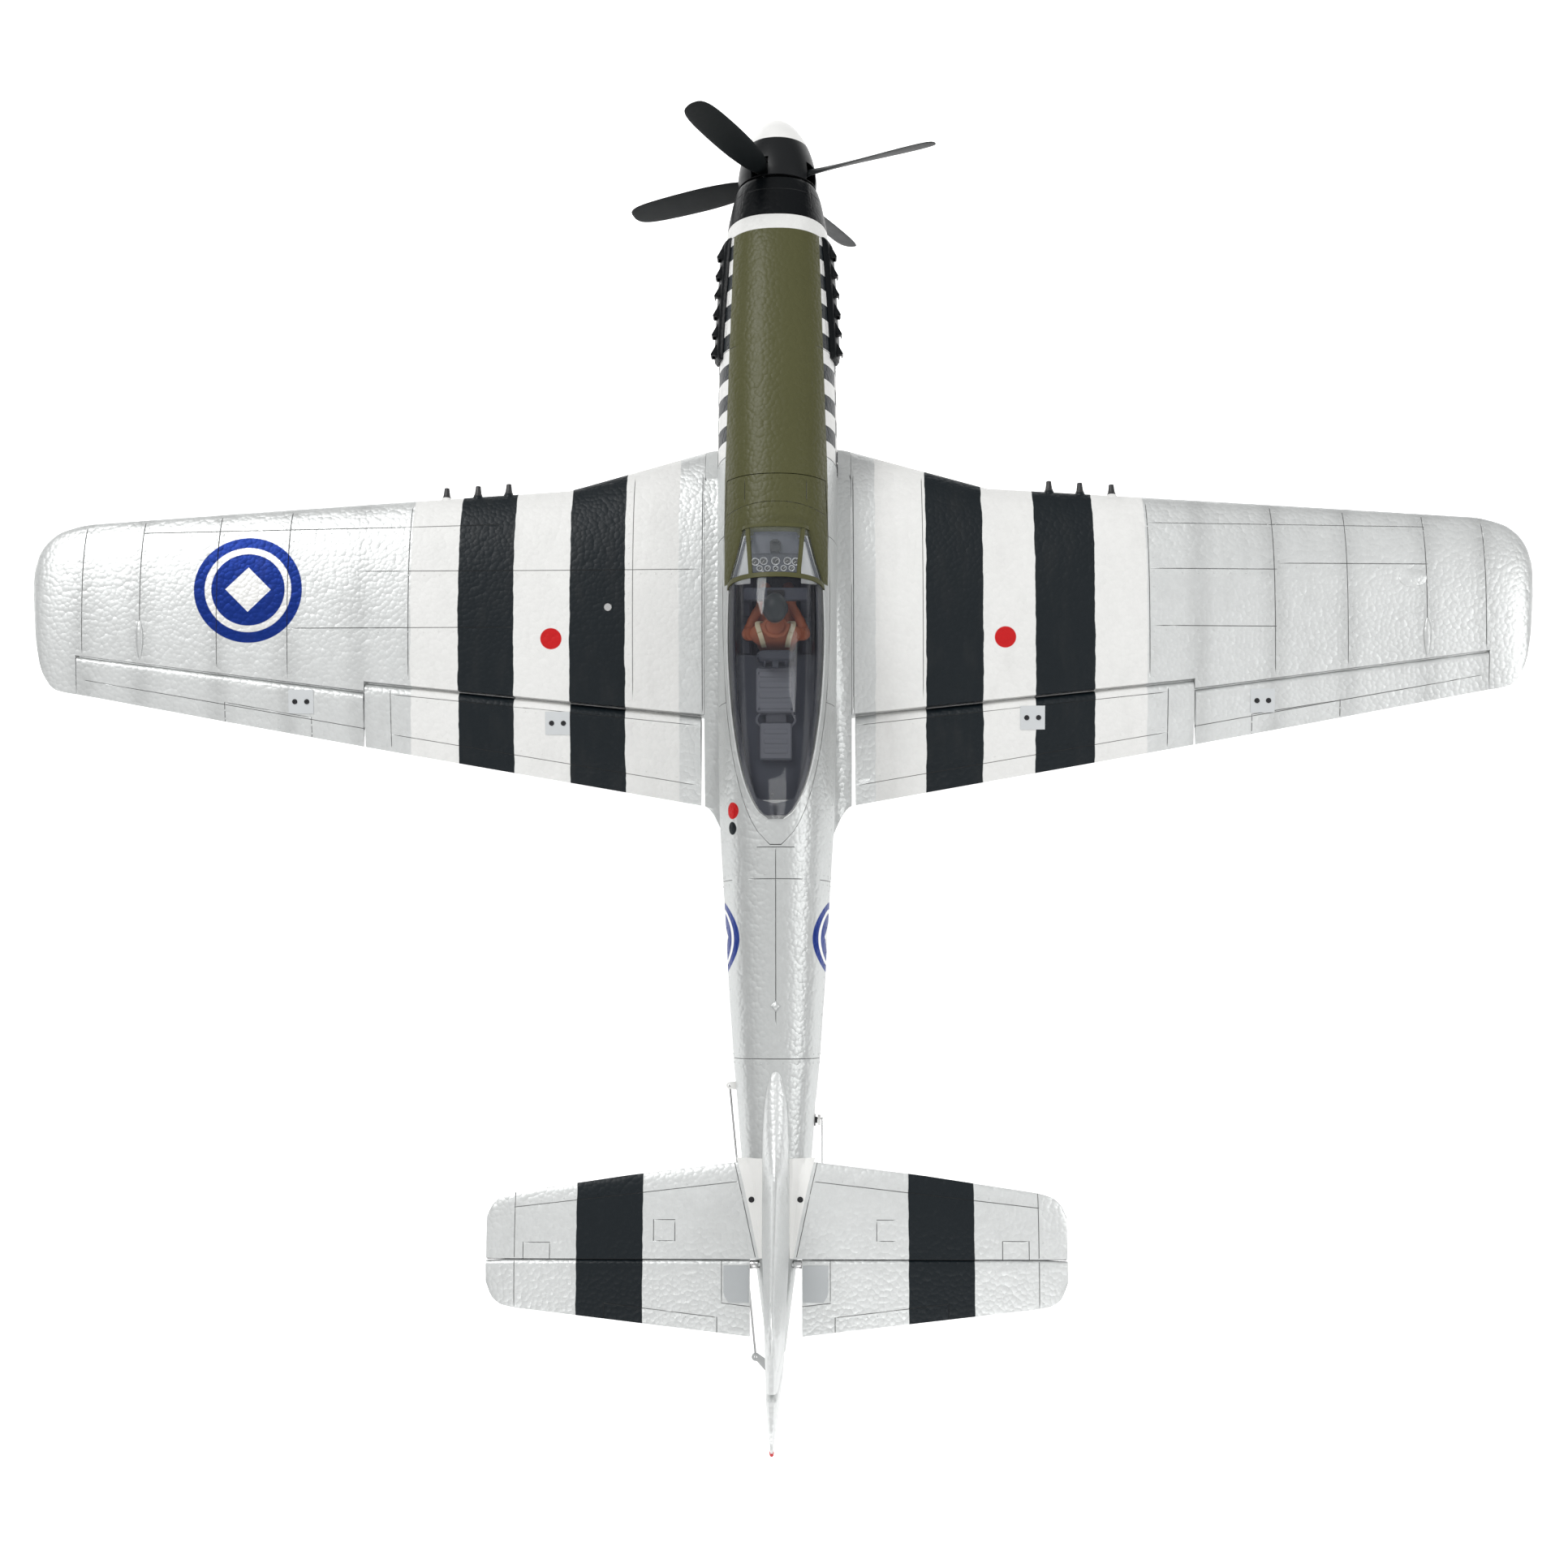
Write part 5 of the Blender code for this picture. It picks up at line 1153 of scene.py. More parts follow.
# (y, z) lines
FLANK_LINES = [
    [(-78, 30), (-78, -38)], [(-213.6, 32), (-213.6, -24)], [(256.2, 34), (256.2, -46)],
    [(345, 40), (345, -46)], [(442, 28), (442, -44)], [(345, 27.5), (442, 24.0)],
    [(345, -18), (442, -14)], [(100, 12), (-78, 9), (-213.6, 12)], [(-300, 26), (-300, -12)],
    [(60, 34), (60, 12)], [(192, 36), (192, 2)]]


def wall(y):
    """Inward offset of the inner wall."""
    return -min(5.0, 0.42 * curve(FUSELAGE, y, 1))


def fillet_ring(x):
    """Wing section running into the fuselage with a concave root fillet."""
    k = max(0.0, min(1.0, (WING_ROOT - x) / FILLET))
    rear = -12.3 - 32.0 * k ** 1.6
    s = max(0.0, min(FILLET, x - (WING_ROOT - FILLET)))
    lift = FILLET - sqrt(max(0.0, FILLET * FILLET - (FILLET - s) ** 2))
    out = []
    for p in wing_ring(x, 284.5, rear, 34):
        share = 0.16 + 0.84 * max(0.0, min(1.0, (190.0 - p.y) / 170.0))
        upper = 1.0 if p.z > wing_point(x, max(p.y, -12.0), 1).z - 2.0 else 0.0
        out.append(vec(p.x, p.y, p.z + lift * share * upper))
    return out


def hatch_cutter():
    loops = []
    for y in [235.5 + HATCH_GAP] + HATCH_INNER_Y + [-52 - HATCH_GAP]:
        w = hatch_half(y) + HATCH_GAP
        z = skin_z(y, hatch_half(y)) - HATCH_DROP
        loops.append([vec(-w, y, z), vec(w, y, z), vec(w, y, 120), vec(-w, y, 120)])
    return closed(loops)


def tail_half(c, t, chord):
    """Half thickness of the tail plane at c of its chord."""
    return naca(c, t) * chord + 0.5 * c


def stab_ring(x, offset=0.0, rear=STAB_REAR):
    front = (rounded if abs(x) > 194 else linear)(STAB, abs(x), 1)
    chord = front - linear(ELEVATOR_EDGE, abs(x), 1)
    t = STAB_THICKNESS
    if abs(x) >= 200:
        t = STAB_THICKNESS - 0.012 * min(1.0, (abs(x) - 200) / 6)
    front += offset
    rows = []
    for i, c in enumerate(cosine_steps(22)):
        y = front - (front - rear) * c
        rows.append((y, tail_half(max(0, (front - y) / chord), t, chord) + (offset if i else 0)))
    return ([vec(x, y, TAIL_Z + h) for y, h in reversed(rows)]
            + [vec(x, y, TAIL_Z - h) for y, h in rows[1:]])


def fuselage_skin():
    skin = make("fuselage_skin", fuselage_solid(0.0, 454.7, -431, 7.0), "body", "airframe",
                "fuselage_left", "fuselage_right")
    root = loft([fillet_ring(x) for x in FILLET_XS])
    boolean(skin, [mirror(root, side) for side in (-1, 1)], "UNION")
    boolean(skin, [fuselage_solid(wall, 462, 300, 12.0, 20),
                   fuselage_solid(wall, 300.5, -425, 12.0, 20)])
    cuts = [hatch_cutter()]
    for side, servo in ((-1, "rudder"), (1, "elevator")):
        cuts += [mirror(cut, side) for cut in gear_cutters()[:2]] + POCKETS[servo]
    cuts += [cylinder((-70, SPAR_Y, SPAR_Z), (70, SPAR_Y, SPAR_Z), SPAR_HOLE),
             loft([stab_ring(x, 0.35, rear=-362.1) for x in (-45, -30, 0, 30, 45)]),
             cylinder((-30, ELEVATOR_HINGE, TAIL_Z), (30, ELEVATOR_HINGE, TAIL_Z), 2.1),
             block((0, -330, -20), (13.0, 33.0, 26.0))]
    boolean(skin, cuts)
    engrave(skin, BACK_LINES, UP, facing=0.35)
    engrave(skin, BELLY_LINES, DOWN, facing=0.35)
    for view in (RIGHT, LEFT):
        engrave(skin, FLANK_LINES, view, facing=0.3)


def flank_rivet(y, z, side):
    ahead, behind = vec(skin_x(y + 1, z), y + 1, z), vec(skin_x(y - 1, z), y - 1, z)
    above, below = vec(skin_x(y, z + 1), y, z + 1), vec(skin_x(y, z - 1), y, z - 1)
    n = (above - below).cross(ahead - behind).normalized()
    n = n if n.x > 0 else -n
    p = vec(skin_x(y, z), y, z)
    return dome(vec(side * p.x, p.y, p.z), vec(side * n.x, n.y, n.z), 0.75, 0.3)


def back_rivet(x, y, r):
    n = vec(skin_z(y, x - 1) - skin_z(y, x + 1), 0.0, 2).normalized()
    return dome(vec(x, y, skin_z(y, x)), n, r, 0.3)


def fuselage_rivets():
    parts = []
    for side in (-1, 1):
        for y in (-74.5, -81.5, -210.5, -217, 252.6, 341.5, 348.5):
            start, count = (-34, 9) if y > -100 else (-18, 6)
            heights = [start + 8.5 * k for k in range(count)]
            parts += [flank_rivet(y, z, side) for z in heights if abs(z - 12) > 2]
        for y in [95 - 9.5 * k for k in range(32)]:
            parts.append(flank_rivet(y, 15.4 if y > -78 else 13.5, side))
        for y in [350 + 9.5 * k for k in range(10)]:
            parts += [flank_rivet(y, 30.0, side), flank_rivet(y, -20.0, side)]
    for x in (-22, -15, -8, 8, 15, 22):
        for y in (-74.5, -81.5, -210.4, -217):
            parts.append(back_rivet(x * (1.0 if y > -100 else 0.75), y, 0.75))
    make("fuselage_rivets", parts, "body", "airframe")


def dorsal_bump():
    profile = [(0, -1), (4.4, -1), (4.0, 0.4), (2.0, 1.5), (0, 1.8)]
    make("dorsal_bump", revolve(profile, (0, -174, skin_z(-174, 0)), (0, 0.02, 1), 4), "body",
         "airframe")


def cowl():
    skin = make("cowl_skin", fuselage_solid(0.0, 490, 455.3, 1.8, 40), "black_foam", "airframe",
                "nose_cowl")
    angles = [pi * k / 20 for k in range(40)]
    oval = [(16 * cos(a), -38.5 + 4.6 * sin(a)) for a in angles]
    boolean(skin, [fuselage_solid(-4.0, 485.5, 450, 4.0, 24),
                   cylinder((0, 478, 0), (0, 500, 0), 11.0, 44),
                   prism(oval, 470, 500, lambda x, z, y: vec(x, y, z))])
    seam = [[(478.5, 36), (478.5, -44)]]
    top = [[(-34, 478.5), (34, 478.5)], [(-27, 487), (-29, 457)], [(27, 487), (29, 457)]]
    for lines, view in ((seam, RIGHT), (seam, LEFT), (top, UP)):
        engrave(skin, lines, view, width=0.7, depth=0.3, facing=0.2)


# radius, chord, thickness, pitch in degrees
BLADE = [
    (9, 9.0, 7.0, 40), (14, 9.2, 7.0, 39.5), (20, 10.0, 6.5, 38), (26, 12.2, 5.6, 36),
    (32, 15.0, 4.6, 34), (39, 17.6, 4.0, 32), (46, 19.5, 3.6, 30), (55, 21.2, 3.3, 28),
    (64, 22.6, 3.0, 26), (75, 23.5, 2.8, 24), (86, 24.0, 2.6, 22), (97, 24.2, 2.4, 20.4),
    (108, 24.0, 2.2, 19), (117, 23.5, 2.05, 18), (125, 22.3, 1.9, 17.2), (130, 20.8, 1.8, 16.6),
    (134, 18.6, 1.7, 16.2), (137, 15.8, 1.55, 15.8), (139, 12.0, 1.4, 15.4), (140, 7.0, 1.1, 15)]


def blade(angle):
    """A propeller blade and its radial direction."""
    radial, tangent = vec(sin(angle), 0, cos(angle)), vec(cos(angle), 0, -sin(angle))
    axis = Vector(FORWARD)
    loops = []
    for r, chord, thickness, pitch in BLADE:
        pitch = radians(pitch)
        wide = tangent * cos(pitch) + axis * sin(pitch)
        thick = axis * cos(pitch) - tangent * sin(pitch)
        loop = []
        for k in range(28):
            a = 2 * pi * (k + 0.5) / 28
            u, v = cos(a), sin(a)
            v = copysign(abs(v) ** 1.25, v) + (0.30 * (1 - u * u) if r > 30 else 0.0)
            loop.append(vec(0, 502, 0) + radial * r + wide * (chord / 2 * u)
                        + thick * (thickness / 2 * v))
        loops.append(loop)
    return loft(loops), radial


def spinner_and_propeller():
    outer = []
    for k in range(24):
        s = k / 24.0
        outer.append((32.5 * max(0.0, 1 - s ** 1.75) ** 0.56, 498 + 56.0 * s))
    inner = [(max(0.5, outer[k][0] - 2.2), outer[k][1] - 1.2) for k in range(22, -1, -2)]
    rim = [(32.0, 493)]
    profile = rim + outer + [(0.0, 554.0), (0.0, 549.5)] + inner + [(29.9, 493)] + rim
    spinner = make("spinner_shell", revolve(profile, (0, 0, 0), FORWARD, 72), "spinner",
                   "drive", "spinner")
    blades = [blade(radians(-26.5 + 90.0 * k)) for k in range(4)]
    hub = [(2.8, 496), (12, 496), (12, 508), (2.8, 508)]
    propeller = make("propeller_blades", revolve(hub, (0, 0, 0), FORWARD, 48, ring=True),
                     "prop", "drive", "propeller")
    boolean(propeller, [shape for shape, _ in blades], "UNION", sharp=35)
    boolean(spinner, [block(vec(0, 501, 0) + radial * 34, (15.5, 15.5, 40),
                            radial.cross(Vector(FORWARD)), FORWARD, radial)
                      for _, radial in blades])


def exhaust_stacks(side, tag):
    """Shroud with six wedge-shaped stacks, each notched at its rear end."""
    ys = [443, 441, 437] + [437 - 90 * i / 18 for i in range(1, 19)] + [343, 341]
    # z, height of the shroud over the skin
    section = [(5, 1.2), (6.2, 3.2), (8, 4.0), (11, 4.0), (14, 4.0), (17, 4.0), (20, 4.0),
               (21.8, 3.2), (23, 1.2)]
    outer, inner = [], []
    for y in ys:
        ramp = 0.4 if y in (443, 341) else (0.85 if y in (441, 343) else 1.0)
        inner.append([vec(skin_x(y, z, 0.3), y, z) for z, _ in section])
        outer.append([vec(skin_x(y, z, 0.3) + h * ramp + 0.2, y, z) for z, h in section])
    shroud = make("exhaust_stacks_" + tag, mirror(shell_loft(outer, inner), side), "black_foam",
                  "airframe", "exhaust_" + tag)
    stacks = []
    for k in range(6):
        y = 433.0 - 16.4 * k
        x = skin_x(y, 14) + 2.6
        root = [(x, y + 6.0), (x, y - 5.2)]
        notch = [(x + 2.2, y - 5.2), (x + 2.2, y - 3.6), (x + 4.5, y - 3.6), (x + 4.5, y - 5.2)]
        tip = [(x + 5.0, y - 5.2), (x + 5.6, y - 4.2)]
        for outline, low, high in ((root + notch + tip, 10.2, 17.8), (root + tip, 9.4, 10.2),
                                   (root + tip, 17.8, 18.6)):
            stacks.append(mirror(prism(outline, low, high), side))
    boolean(shroud, stacks, "UNION")


# y, half width, bottom z
SCOOP = [(113, 20, -101), (110, 21.5, -104), (95, 23, -109), (60, 24.5, -115), (20, 25, -117),
         (-20, 24.5, -115), (-60, 22.5, -108), (-100, 20, -97), (-135, 17, -83),
         (-152, 15.5, -76)]


def scoop_solid(rows, inset=0.0):
    ys = []
    for a, b in zip(rows[:-1], rows[1:]):
        ys += [a[0] + (b[0] - a[0]) * i / 4 for i in range(4)]
    ys.append(rows[-1][0])
    loops = []
    for y in ys:
        half, bottom = curve(rows, y, 1), curve(rows, y, 2)
        top = curve(FUSELAGE, y, 3) + (-5.0 if inset else 12)
        loop = []
        for i in range(33):
            s, c = sin(pi * i / 32 - pi / 2), cos(pi * i / 32 - pi / 2)
            loop.append(vec((half - inset) * copysign(abs(s) ** 0.75, s), y,
                            top + (bottom + inset - top) * max(0.0, c) ** 0.6))
        loops.append(loop)
    return loft(loops)


def scoop():
    """Belly scoop, hollowed at its front and rear."""
    skin = make("scoop_skin", scoop_solid(SCOOP), "body", "airframe", "radiator_scoop")
    boolean(skin, [scoop_solid([(120, 20, -101)] + SCOOP[1:3] + [(70, 23, -112)], inset=3.0),
                   scoop_solid([SCOOP[-3], SCOOP[-2], (-160, 15.5, -76)], inset=3.0),
                   fuselage_solid(0.3, 130, -170, 8.0)])


fuselage_skin()
fuselage_rivets()
dorsal_bump()
cowl()
spinner_and_propeller()
for side, tag in SIDES:
    exhaust_stacks(side, tag)
scoop()


# ------------------------------------------------------------------ hatch deck and canopy
def bubble_half(y):
    return curve(BUBBLE, y, 1)


def cockpit_outline(inset, end=0.0):
    """Cockpit opening inside the canopy foot; end moves both ends outwards."""
    ys = dense([183 + end, 170, 148, 109, 66, 26, 5, -10, -18 - end], 6.0)
    right = [(bubble_half(y) - inset, y) for y in ys]
    return right + [(-x, y) for x, y in reversed(right)]


def hatch_front_line(x, y):
    """The given y, bowed forwards by 5.5 in the middle."""
    return y + 5.5 * (1 - (x / 38.0) ** 2)


def hatch_deck():
    top, under = [], []
    for y in dense([235.2] + HATCH_INNER_Y + [-51.7], 5.5):
        w = hatch_half(y)
        row = [vec(w * sin(pi / 2 * (2 * i / 32 - 1)), y, 0) for i in range(33)]
        top.append([vec(p.x, y, skin_z(y, p.x)) for p in row])
        under.append([vec(p.x, y, skin_z(y, w) - 5.7) for p in row])
    deck = make("hatch_skin", shell_loft(top, under), "body", "hatch", "hatch_deck")
    boolean(deck, [prism(cockpit_outline(4.2, 0.3), 10, 100)])
    bow = [(x, hatch_front_line(x, 207.5)) for x in (-38, -30, -22, -14, -7, 0, 7, 14, 22, 30, 38)]
    engrave(deck, [bow, [(-24, 233), (-24, 213)], [(24, 233), (24, 213)]], UP, width=0.85,
            depth=0.38, facing=0.3)
    make("hatch_rivets", [back_rivet(x, y, 0.7) for x in range(-33, 34, 6)
                          for y in (231.6, hatch_front_line(x, 203.4))], "body", "hatch")


def canopy_point(y, angle, offset):
    """Canopy surface point; the angle is 0 at the top."""
    w, top = bubble_half(y), curve(BUBBLE, y, 2)
    foot = skin_z(y, w) + 0.3
    s, c = sin(angle), max(0.0, cos(angle))
    return vec((w + offset) * copysign(abs(s) ** 0.9, s), y, foot + (top + offset - foot) * c ** 0.9)


def canopy_patch(ys, limits, low, high, n):
    """Shell on the canopy between two offsets; limits are angles, or a function of y."""
    outer, inner = [], []
    for y in ys:
        a0, a1 = limits(y) if callable(limits) else limits
        angles = [radians(a0 + (a1 - a0) * i / (n - 1)) for i in range(n)]
        outer.append([canopy_point(y, a, high) for a in angles])
        inner.append([canopy_point(y, a, low) for a in angles])
    return shell_loft(outer, inner)


def canopy_angle(y, x):
    """Canopy angle in degrees where the surface is x from the middle."""
    return degrees(asin(min(1.0, (x / bubble_half(y)) ** (1 / 0.9))))


def canopy():
    whole = (-90, 90)
    ys = dense([147.6, 109, 66, 26, -3, -20, -28, -33], 3.0)
    make("canopy_bubble", canopy_patch(ys, whole, -1.3, 0.0, 45), "glass", "hatch",
         "canopy_glass", sharp=60)
    ys = dense([193, 170, 148.2], 3.0)
    make("windshield_panes", canopy_patch(ys, whole, -1.2, 0.0, 45), "pane", "hatch", sharp=60)
    bars = [canopy_patch([146.2, 146.8, 149.2, 149.8], whole, -0.4, 0.9, 49),
            canopy_patch(dense([193.6, 190.6], 1.0), whole, -0.4, 0.8, 49)]
    for s in (-1, 1):
        def post(y):
            return sorted(s * canopy_angle(y, x + (y - 149) * 0.075) for x in (16.6, 19.2))

        ys = dense([190, 149], 4)
        bars.append(canopy_patch(ys, post, -0.4, 0.9, 7))
        bars.append(canopy_patch(ys, sorted((s * 84.0, s * 90.0)), -0.4, 0.7, 7))
    make("windshield_frame", bars, "olive", "hatch")
    ys = dense([145.5, 109, 66, 26, -3, -20, -28, -32.5], 4)
    make("canopy_rim", [canopy_patch(ys, sorted((s * 83.0, s * 90.0)), -0.4, 0.7, 7)
                        for s in (-1, 1)], "tail", "hatch")


def coaming():
    """Dark strips on the deck inside the canopy."""
    strips = []
    for s in (-1, 1):
        outer, inner = [], []
        for y in dense([186, 148, 109, 66, 26, -3, -17, -21, -30], 4):
            w = bubble_half(y)
            edge, middle = s * (w - 1.9), s * max(0.0, (w - 4.9) if -18.5 < y < 183 else 0.0)
            xs = [edge + (middle - edge) * i / 5 for i in range(6)]
            outer.append([vec(x, y, skin_z(y, x) + 0.45) for x in xs])
            inner.append([vec(x, y, skin_z(y, x) - 0.6) for x in xs])
        strips.append(shell_loft(outer, inner))
    make("cockpit_coaming", strips, "panel", "hatch")


# ------------------------------------------------------------------ cockpit
def cockpit_tub():
    tub = make("cockpit_shell", prism(cockpit_outline(4.5), 11, 41), "tub", "hatch",
               "cockpit_tub")
    boolean(tub, [prism(cockpit_outline(6.2, -1.7), 12.8, 60)])


def cockpit_fittings():
    """Side consoles, seat and its rails, rear tray and dash shelf."""
    parts = []
    for s in (-1, 1):
        parts.append(rounded_box((s * 23.5, 128, 21), (8.5, 66, 17), 1.2))
        parts += [rounded_box((s * 23.5, 104 + 15 * k, 30.2), (6, 11, 2.0), 0.8)
                  for k in range(4)]
    # seat back, seat pan, head rest and its stem: centre, size, corner radius
    parts += rounded_boxes([((0, 93.5, 32), (29, 4.5, 42), 2.0),
                            ((0, 109, 15.5), (29, 32, 6), 2.0),
                            ((0, 91.5, 57), (25, 8, 10), 3.0), ((0, 86.5, 57), (5, 8, 5), 1.0)])
    parts += [tube([(s * 11, 84, 20), (s * 8, 86, 62)], 1.0) for s in (-1, 1)]
    tray = [(x, y) for x, y in cockpit_outline(6.6, -2.2) if y < 98.0]
    parts.append(prism(tray, 33.0, 35.2))
    parts.append(rounded_box((0, 142.0, 47.2), (50, 10.5, 3.2), 2.0))
    make("cockpit_fittings", parts, "tub", "hatch")
    make("dash_box", [rounded_box((0, 142.4, 49.8), (13.5, 4.6, 2.4), 0.7),
                      dome(vec(-3, -12.5, 35.0), UP, 1.5, 0.6, 16)], "dial", "hatch")


def windshield_ledges():
    parts = []
    for s in (-1, 1):
        outer, inner = [], []
        for y in dense([186.5, 170, 150.5], 4):
            edge, middle = bubble_half(y) - 2.0, 19.6 + 0.02 * (y - 150)
            xs = [edge + (middle - edge) * i / 6 for i in range(7)]
            for rows, lift in ((outer, 0.7), (inner, -0.6)):
                rows.append([vec(s * x, y, skin_z(y, edge) + lift + 0.35 * (edge - x))
                             for x in xs])
        parts.append(shell_loft(outer, inner))
    make("windshield_ledges", parts, "pale", "hatch")


def radio_boxes():
    """Two boxes with ribbed tops and cables, behind the seat."""
    parts = rounded_boxes([((0, 67, 36), (30, 35, 25), 2.4), ((0, 28, 33), (24.5, 29, 17), 2.0),
                           ((0, 46.5, 34), (16, 7, 8), 1.2)])
    parts += [rounded_box((0, 54.5 + 8.2 * i, 48.6), (25, 4.6, 1.2), 0.8) for i in range(4)]
    parts += [rounded_box((0, 20.5 + 7.6 * i, 41.6), (18, 3.8, 1.0), 0.7) for i in range(3)]
    for s in (-1, 1):
        cable = [(s * 12, 50, 44), (s * 15, 45, 40), (s * 12.5, 41, 38), (s * 9, 39, 37)]
        parts.append(tube(spline(cable), 0.9))
    make("radio_boxes", parts, "console", "hatch")
    lids = rounded_boxes([((0, 84.5, 47.2), (26, 2.0, 4.0), 0.6),
                          ((0, 14.0, 40.2), (23, 1.6, 3.6), 0.5)])
    lids += [dome(vec(x, y, 48.4), UP, 1.1, 0.7, 12) for x in (-12.5, 12.5) for y in (52, 80)]
    make("radio_lids", lids, "panel", "hatch")


# x, distance up the panel, radius
GAUGES = [(-15.6, 1.0, 2.7), (-9.2, 1.6, 2.7), (0, 1.6, 2.9), (9.2, 1.6, 2.7), (15.6, 1.0, 2.7),
          (-12.4, -4.2, 2.0), (-6.2, -4.2, 2.0), (6.2, -4.2, 2.0), (12.4, -4.2, 2.0),
          (0, -4.4, 1.8)]


def instrument_panel():
    """Sloping panel under a glare shield, with its gauges and sight."""
    down = vec(0, -12, -7.2).normalized()
    normal = vec(0, -7.2, 12).normalized()
    middle = vec(0, 165.5, 53.4)
    parts = [rounded_box(middle - normal * 1.6, (40, 15.5, 3.0), 1.5, RIGHT, -down, normal),
             rounded_box((0, 170.5, 34), (38, 3.5, 36), 1.2)]
    outer, inner = [], []
    for y in dense([188.5, 171.5], 3):
        half = 19.5 - 0.10 * (y - 171)
        arch = [vec(half * sin(radians(t)), y,
                    55.4 + 4.8 * cos(radians(t)) ** 0.8 if abs(t) < 90 else 55.4)
                for t in range(-90, 91, 9)]
        outer.append(arch)
        inner.append([vec(p.x * 0.96, p.y, p.z - 1.4) for p in arch])
    make("instrument_panel", parts + [shell_loft(outer, inner)], "panel", "hatch")

    faces, bezels, marks = [], [], []
    for x, upward, r in GAUGES:
        centre = middle - down * upward + vec(x, 0, 0)

        def mark(angle, place, height, length, width):
            """Thin bar pointing from the gauge centre."""
            out = vec(1, 0, 0) * cos(angle) - down * sin(angle)
            marks.append(block(centre + out * (r * place) + normal * height,
                               (r * length, width, 0.12), out, normal.cross(out), normal))

        faces.append(revolve([(0, -0.5), (r, -0.5), (r, 0.18), (0, 0.18)], centre, normal, 28))
        bezel = [(r - 0.1, -0.4), (r + 0.45, -0.4), (r + 0.45, 0.45), (r + 0.1, 0.7),
                 (r - 0.25, 0.4)]
        bezels.append(revolve(bezel, centre, normal, 28, ring=True))
        for k in range(10):
            mark(2 * pi * k / 10, place=0.8, height=0.2, length=0.18, width=0.16)
        mark(0.7 + x, place=0.25, height=0.24, length=0.9, width=0.24)
    make("gauge_faces", faces, "dial", "hatch")
    make("gauge_rings", bezels, "dial_ring", "hatch")
    make("gauge_needles", marks, "white", "hatch")
    make("gun_sight", rounded_boxes([((0, 176, 61.5), (8, 9, 4.5), 1.2),
                                     ((0, 179.5, 65), (5, 2, 5), 0.8)]), "black", "hatch")


hatch_deck()
canopy()
coaming()
cockpit_tub()
cockpit_fittings()
windshield_ledges()
radio_boxes()
instrument_panel()

# ------------------------------------------------------------------ pilot figure
# z, half width, half depth, centre y
TORSO = [(14.2, 14, 9, 110), (17, 15.5, 10.4, 110), (24, 15.5, 10.6, 110),
         (32, 14.6, 9.8, 109.5), (38, 15.2, 9.8, 109.5), (44, 17.2, 9.8, 109.5),
         (49, 19.4, 9.2, 109.5), (53, 20.4, 8.4, 110), (56, 19.2, 7.6, 110.6),
         (58.6, 14.6, 6.8, 111.4), (60.6, 9.2, 6.2, 112.6), (61.6, 6.4, 5.6, 113.4)]
# right-hand paths; x changes sign for the left
ARM = [(18.2, 109.5, 54.0), (20.8, 110.5, 48), (22.0, 112.5, 40), (21.4, 117, 33),
       (18.0, 126, 31.5), (12.5, 136, 32.5), (9.5, 141, 33)]
LEG = [(8, 112, 19), (9.5, 126, 23), (10.5, 140, 25), (10, 150, 20), (9, 156, 16.2)]
STRAP = [(9.0, 100.4, 49), (9.6, 101.9, 55.2), (10.8, 105.6, 60.4), (12.6, 111.0, 60.9),
         (13.8, 116.2, 58.0), (12.6, 119.6, 50), (9.0, 120.6, 40), (5.0, 120.6, 31)]
HEAD = vec(0, 126.5, 73.5)


def on_side(points, s):
    return [(s * x, y, z) for x, y, z in points]


def pilot_torso():
    loops, n, power = [], 36, 0.86
    for z, half_x, half_y, y in TORSO:
        loop = []
        for k in range(n):
            angle = 2 * pi * (k + 0.5) / n
            c, s = cos(angle), sin(angle)
            loop.append(vec(half_x * copysign(abs(c) ** power, c),
                            y + half_y * copysign(abs(s) ** power, s), z))
        loops.append(loop)
    torso = make("pilot_torso", loft(loops), "jacket", "hatch", "pilot", sharp=50)
    limbs = []
    for s in (-1, 1):
        path = spline(on_side(ARM, s))
        n = len(path)
        limbs.append(tube(path, [4.9 if i < 2 else 5.2 - 2.2 * (i / (n - 1))
                                 + 0.22 * sin(i * 1.7) for i in range(n)], 20))
        path = spline(on_side(LEG, s))
        limbs.append(tube(path, [6.0 - 0.07 * i for i in range(len(path))], 18))
    boolean(torso, limbs, "UNION", sharp=50)


def pilot_collar():
    path = []
    for k in range(26):
        c, s = cos(2 * pi * k / 26), sin(2 * pi * k / 26)
        path.append((8.6 * c, 113.2 + 7.2 * s, 60.2 + (1.0 if s < 0 else -1.2 * s)))
    radii = [1.9 + 0.3 * sin(k * 2.3) for k in range(27)]
    make("pilot_collar", tube(path + [path[0]], radii, 12), "jacket", "hatch", sharp=60)


def pilot_straps():
    # across in half widths, height over the path
    section = ((-1, -0.5), (-1, 0.45), (-0.8, 0.7), (0.8, 0.7), (1, 0.45), (1, -0.5))
    straps = []
    for side in (-1, 1):
        path = spline(on_side(STRAP, side), 7)
        loops = []
        for k, p in enumerate(path):
            d = (path[min(k + 1, len(path) - 1)] - path[max(k - 1, 0)]).normalized()
            across = vec(1, 0, 0)
            across = (across - d * across.dot(d)).normalized()
            out = d.cross(across).normalized()
            out = out if out.z + out.y * 0.3 > 0 or out.y > 0 else -out
            loops.append([p + across * (1.9 * a) + out * b for a, b in section])
        straps.append(loft(loops))
    straps.append(rounded_box((0, 120.6, 31), (11, 1.6, 3.6), 0.6))
    make("pilot_straps", straps, "strap", "hatch", sharp=40)
    make("pilot_buckles", rounded_box((0, 121.4, 31), (4.2, 1.2, 4.6), 0.5), "steel", "hatch")


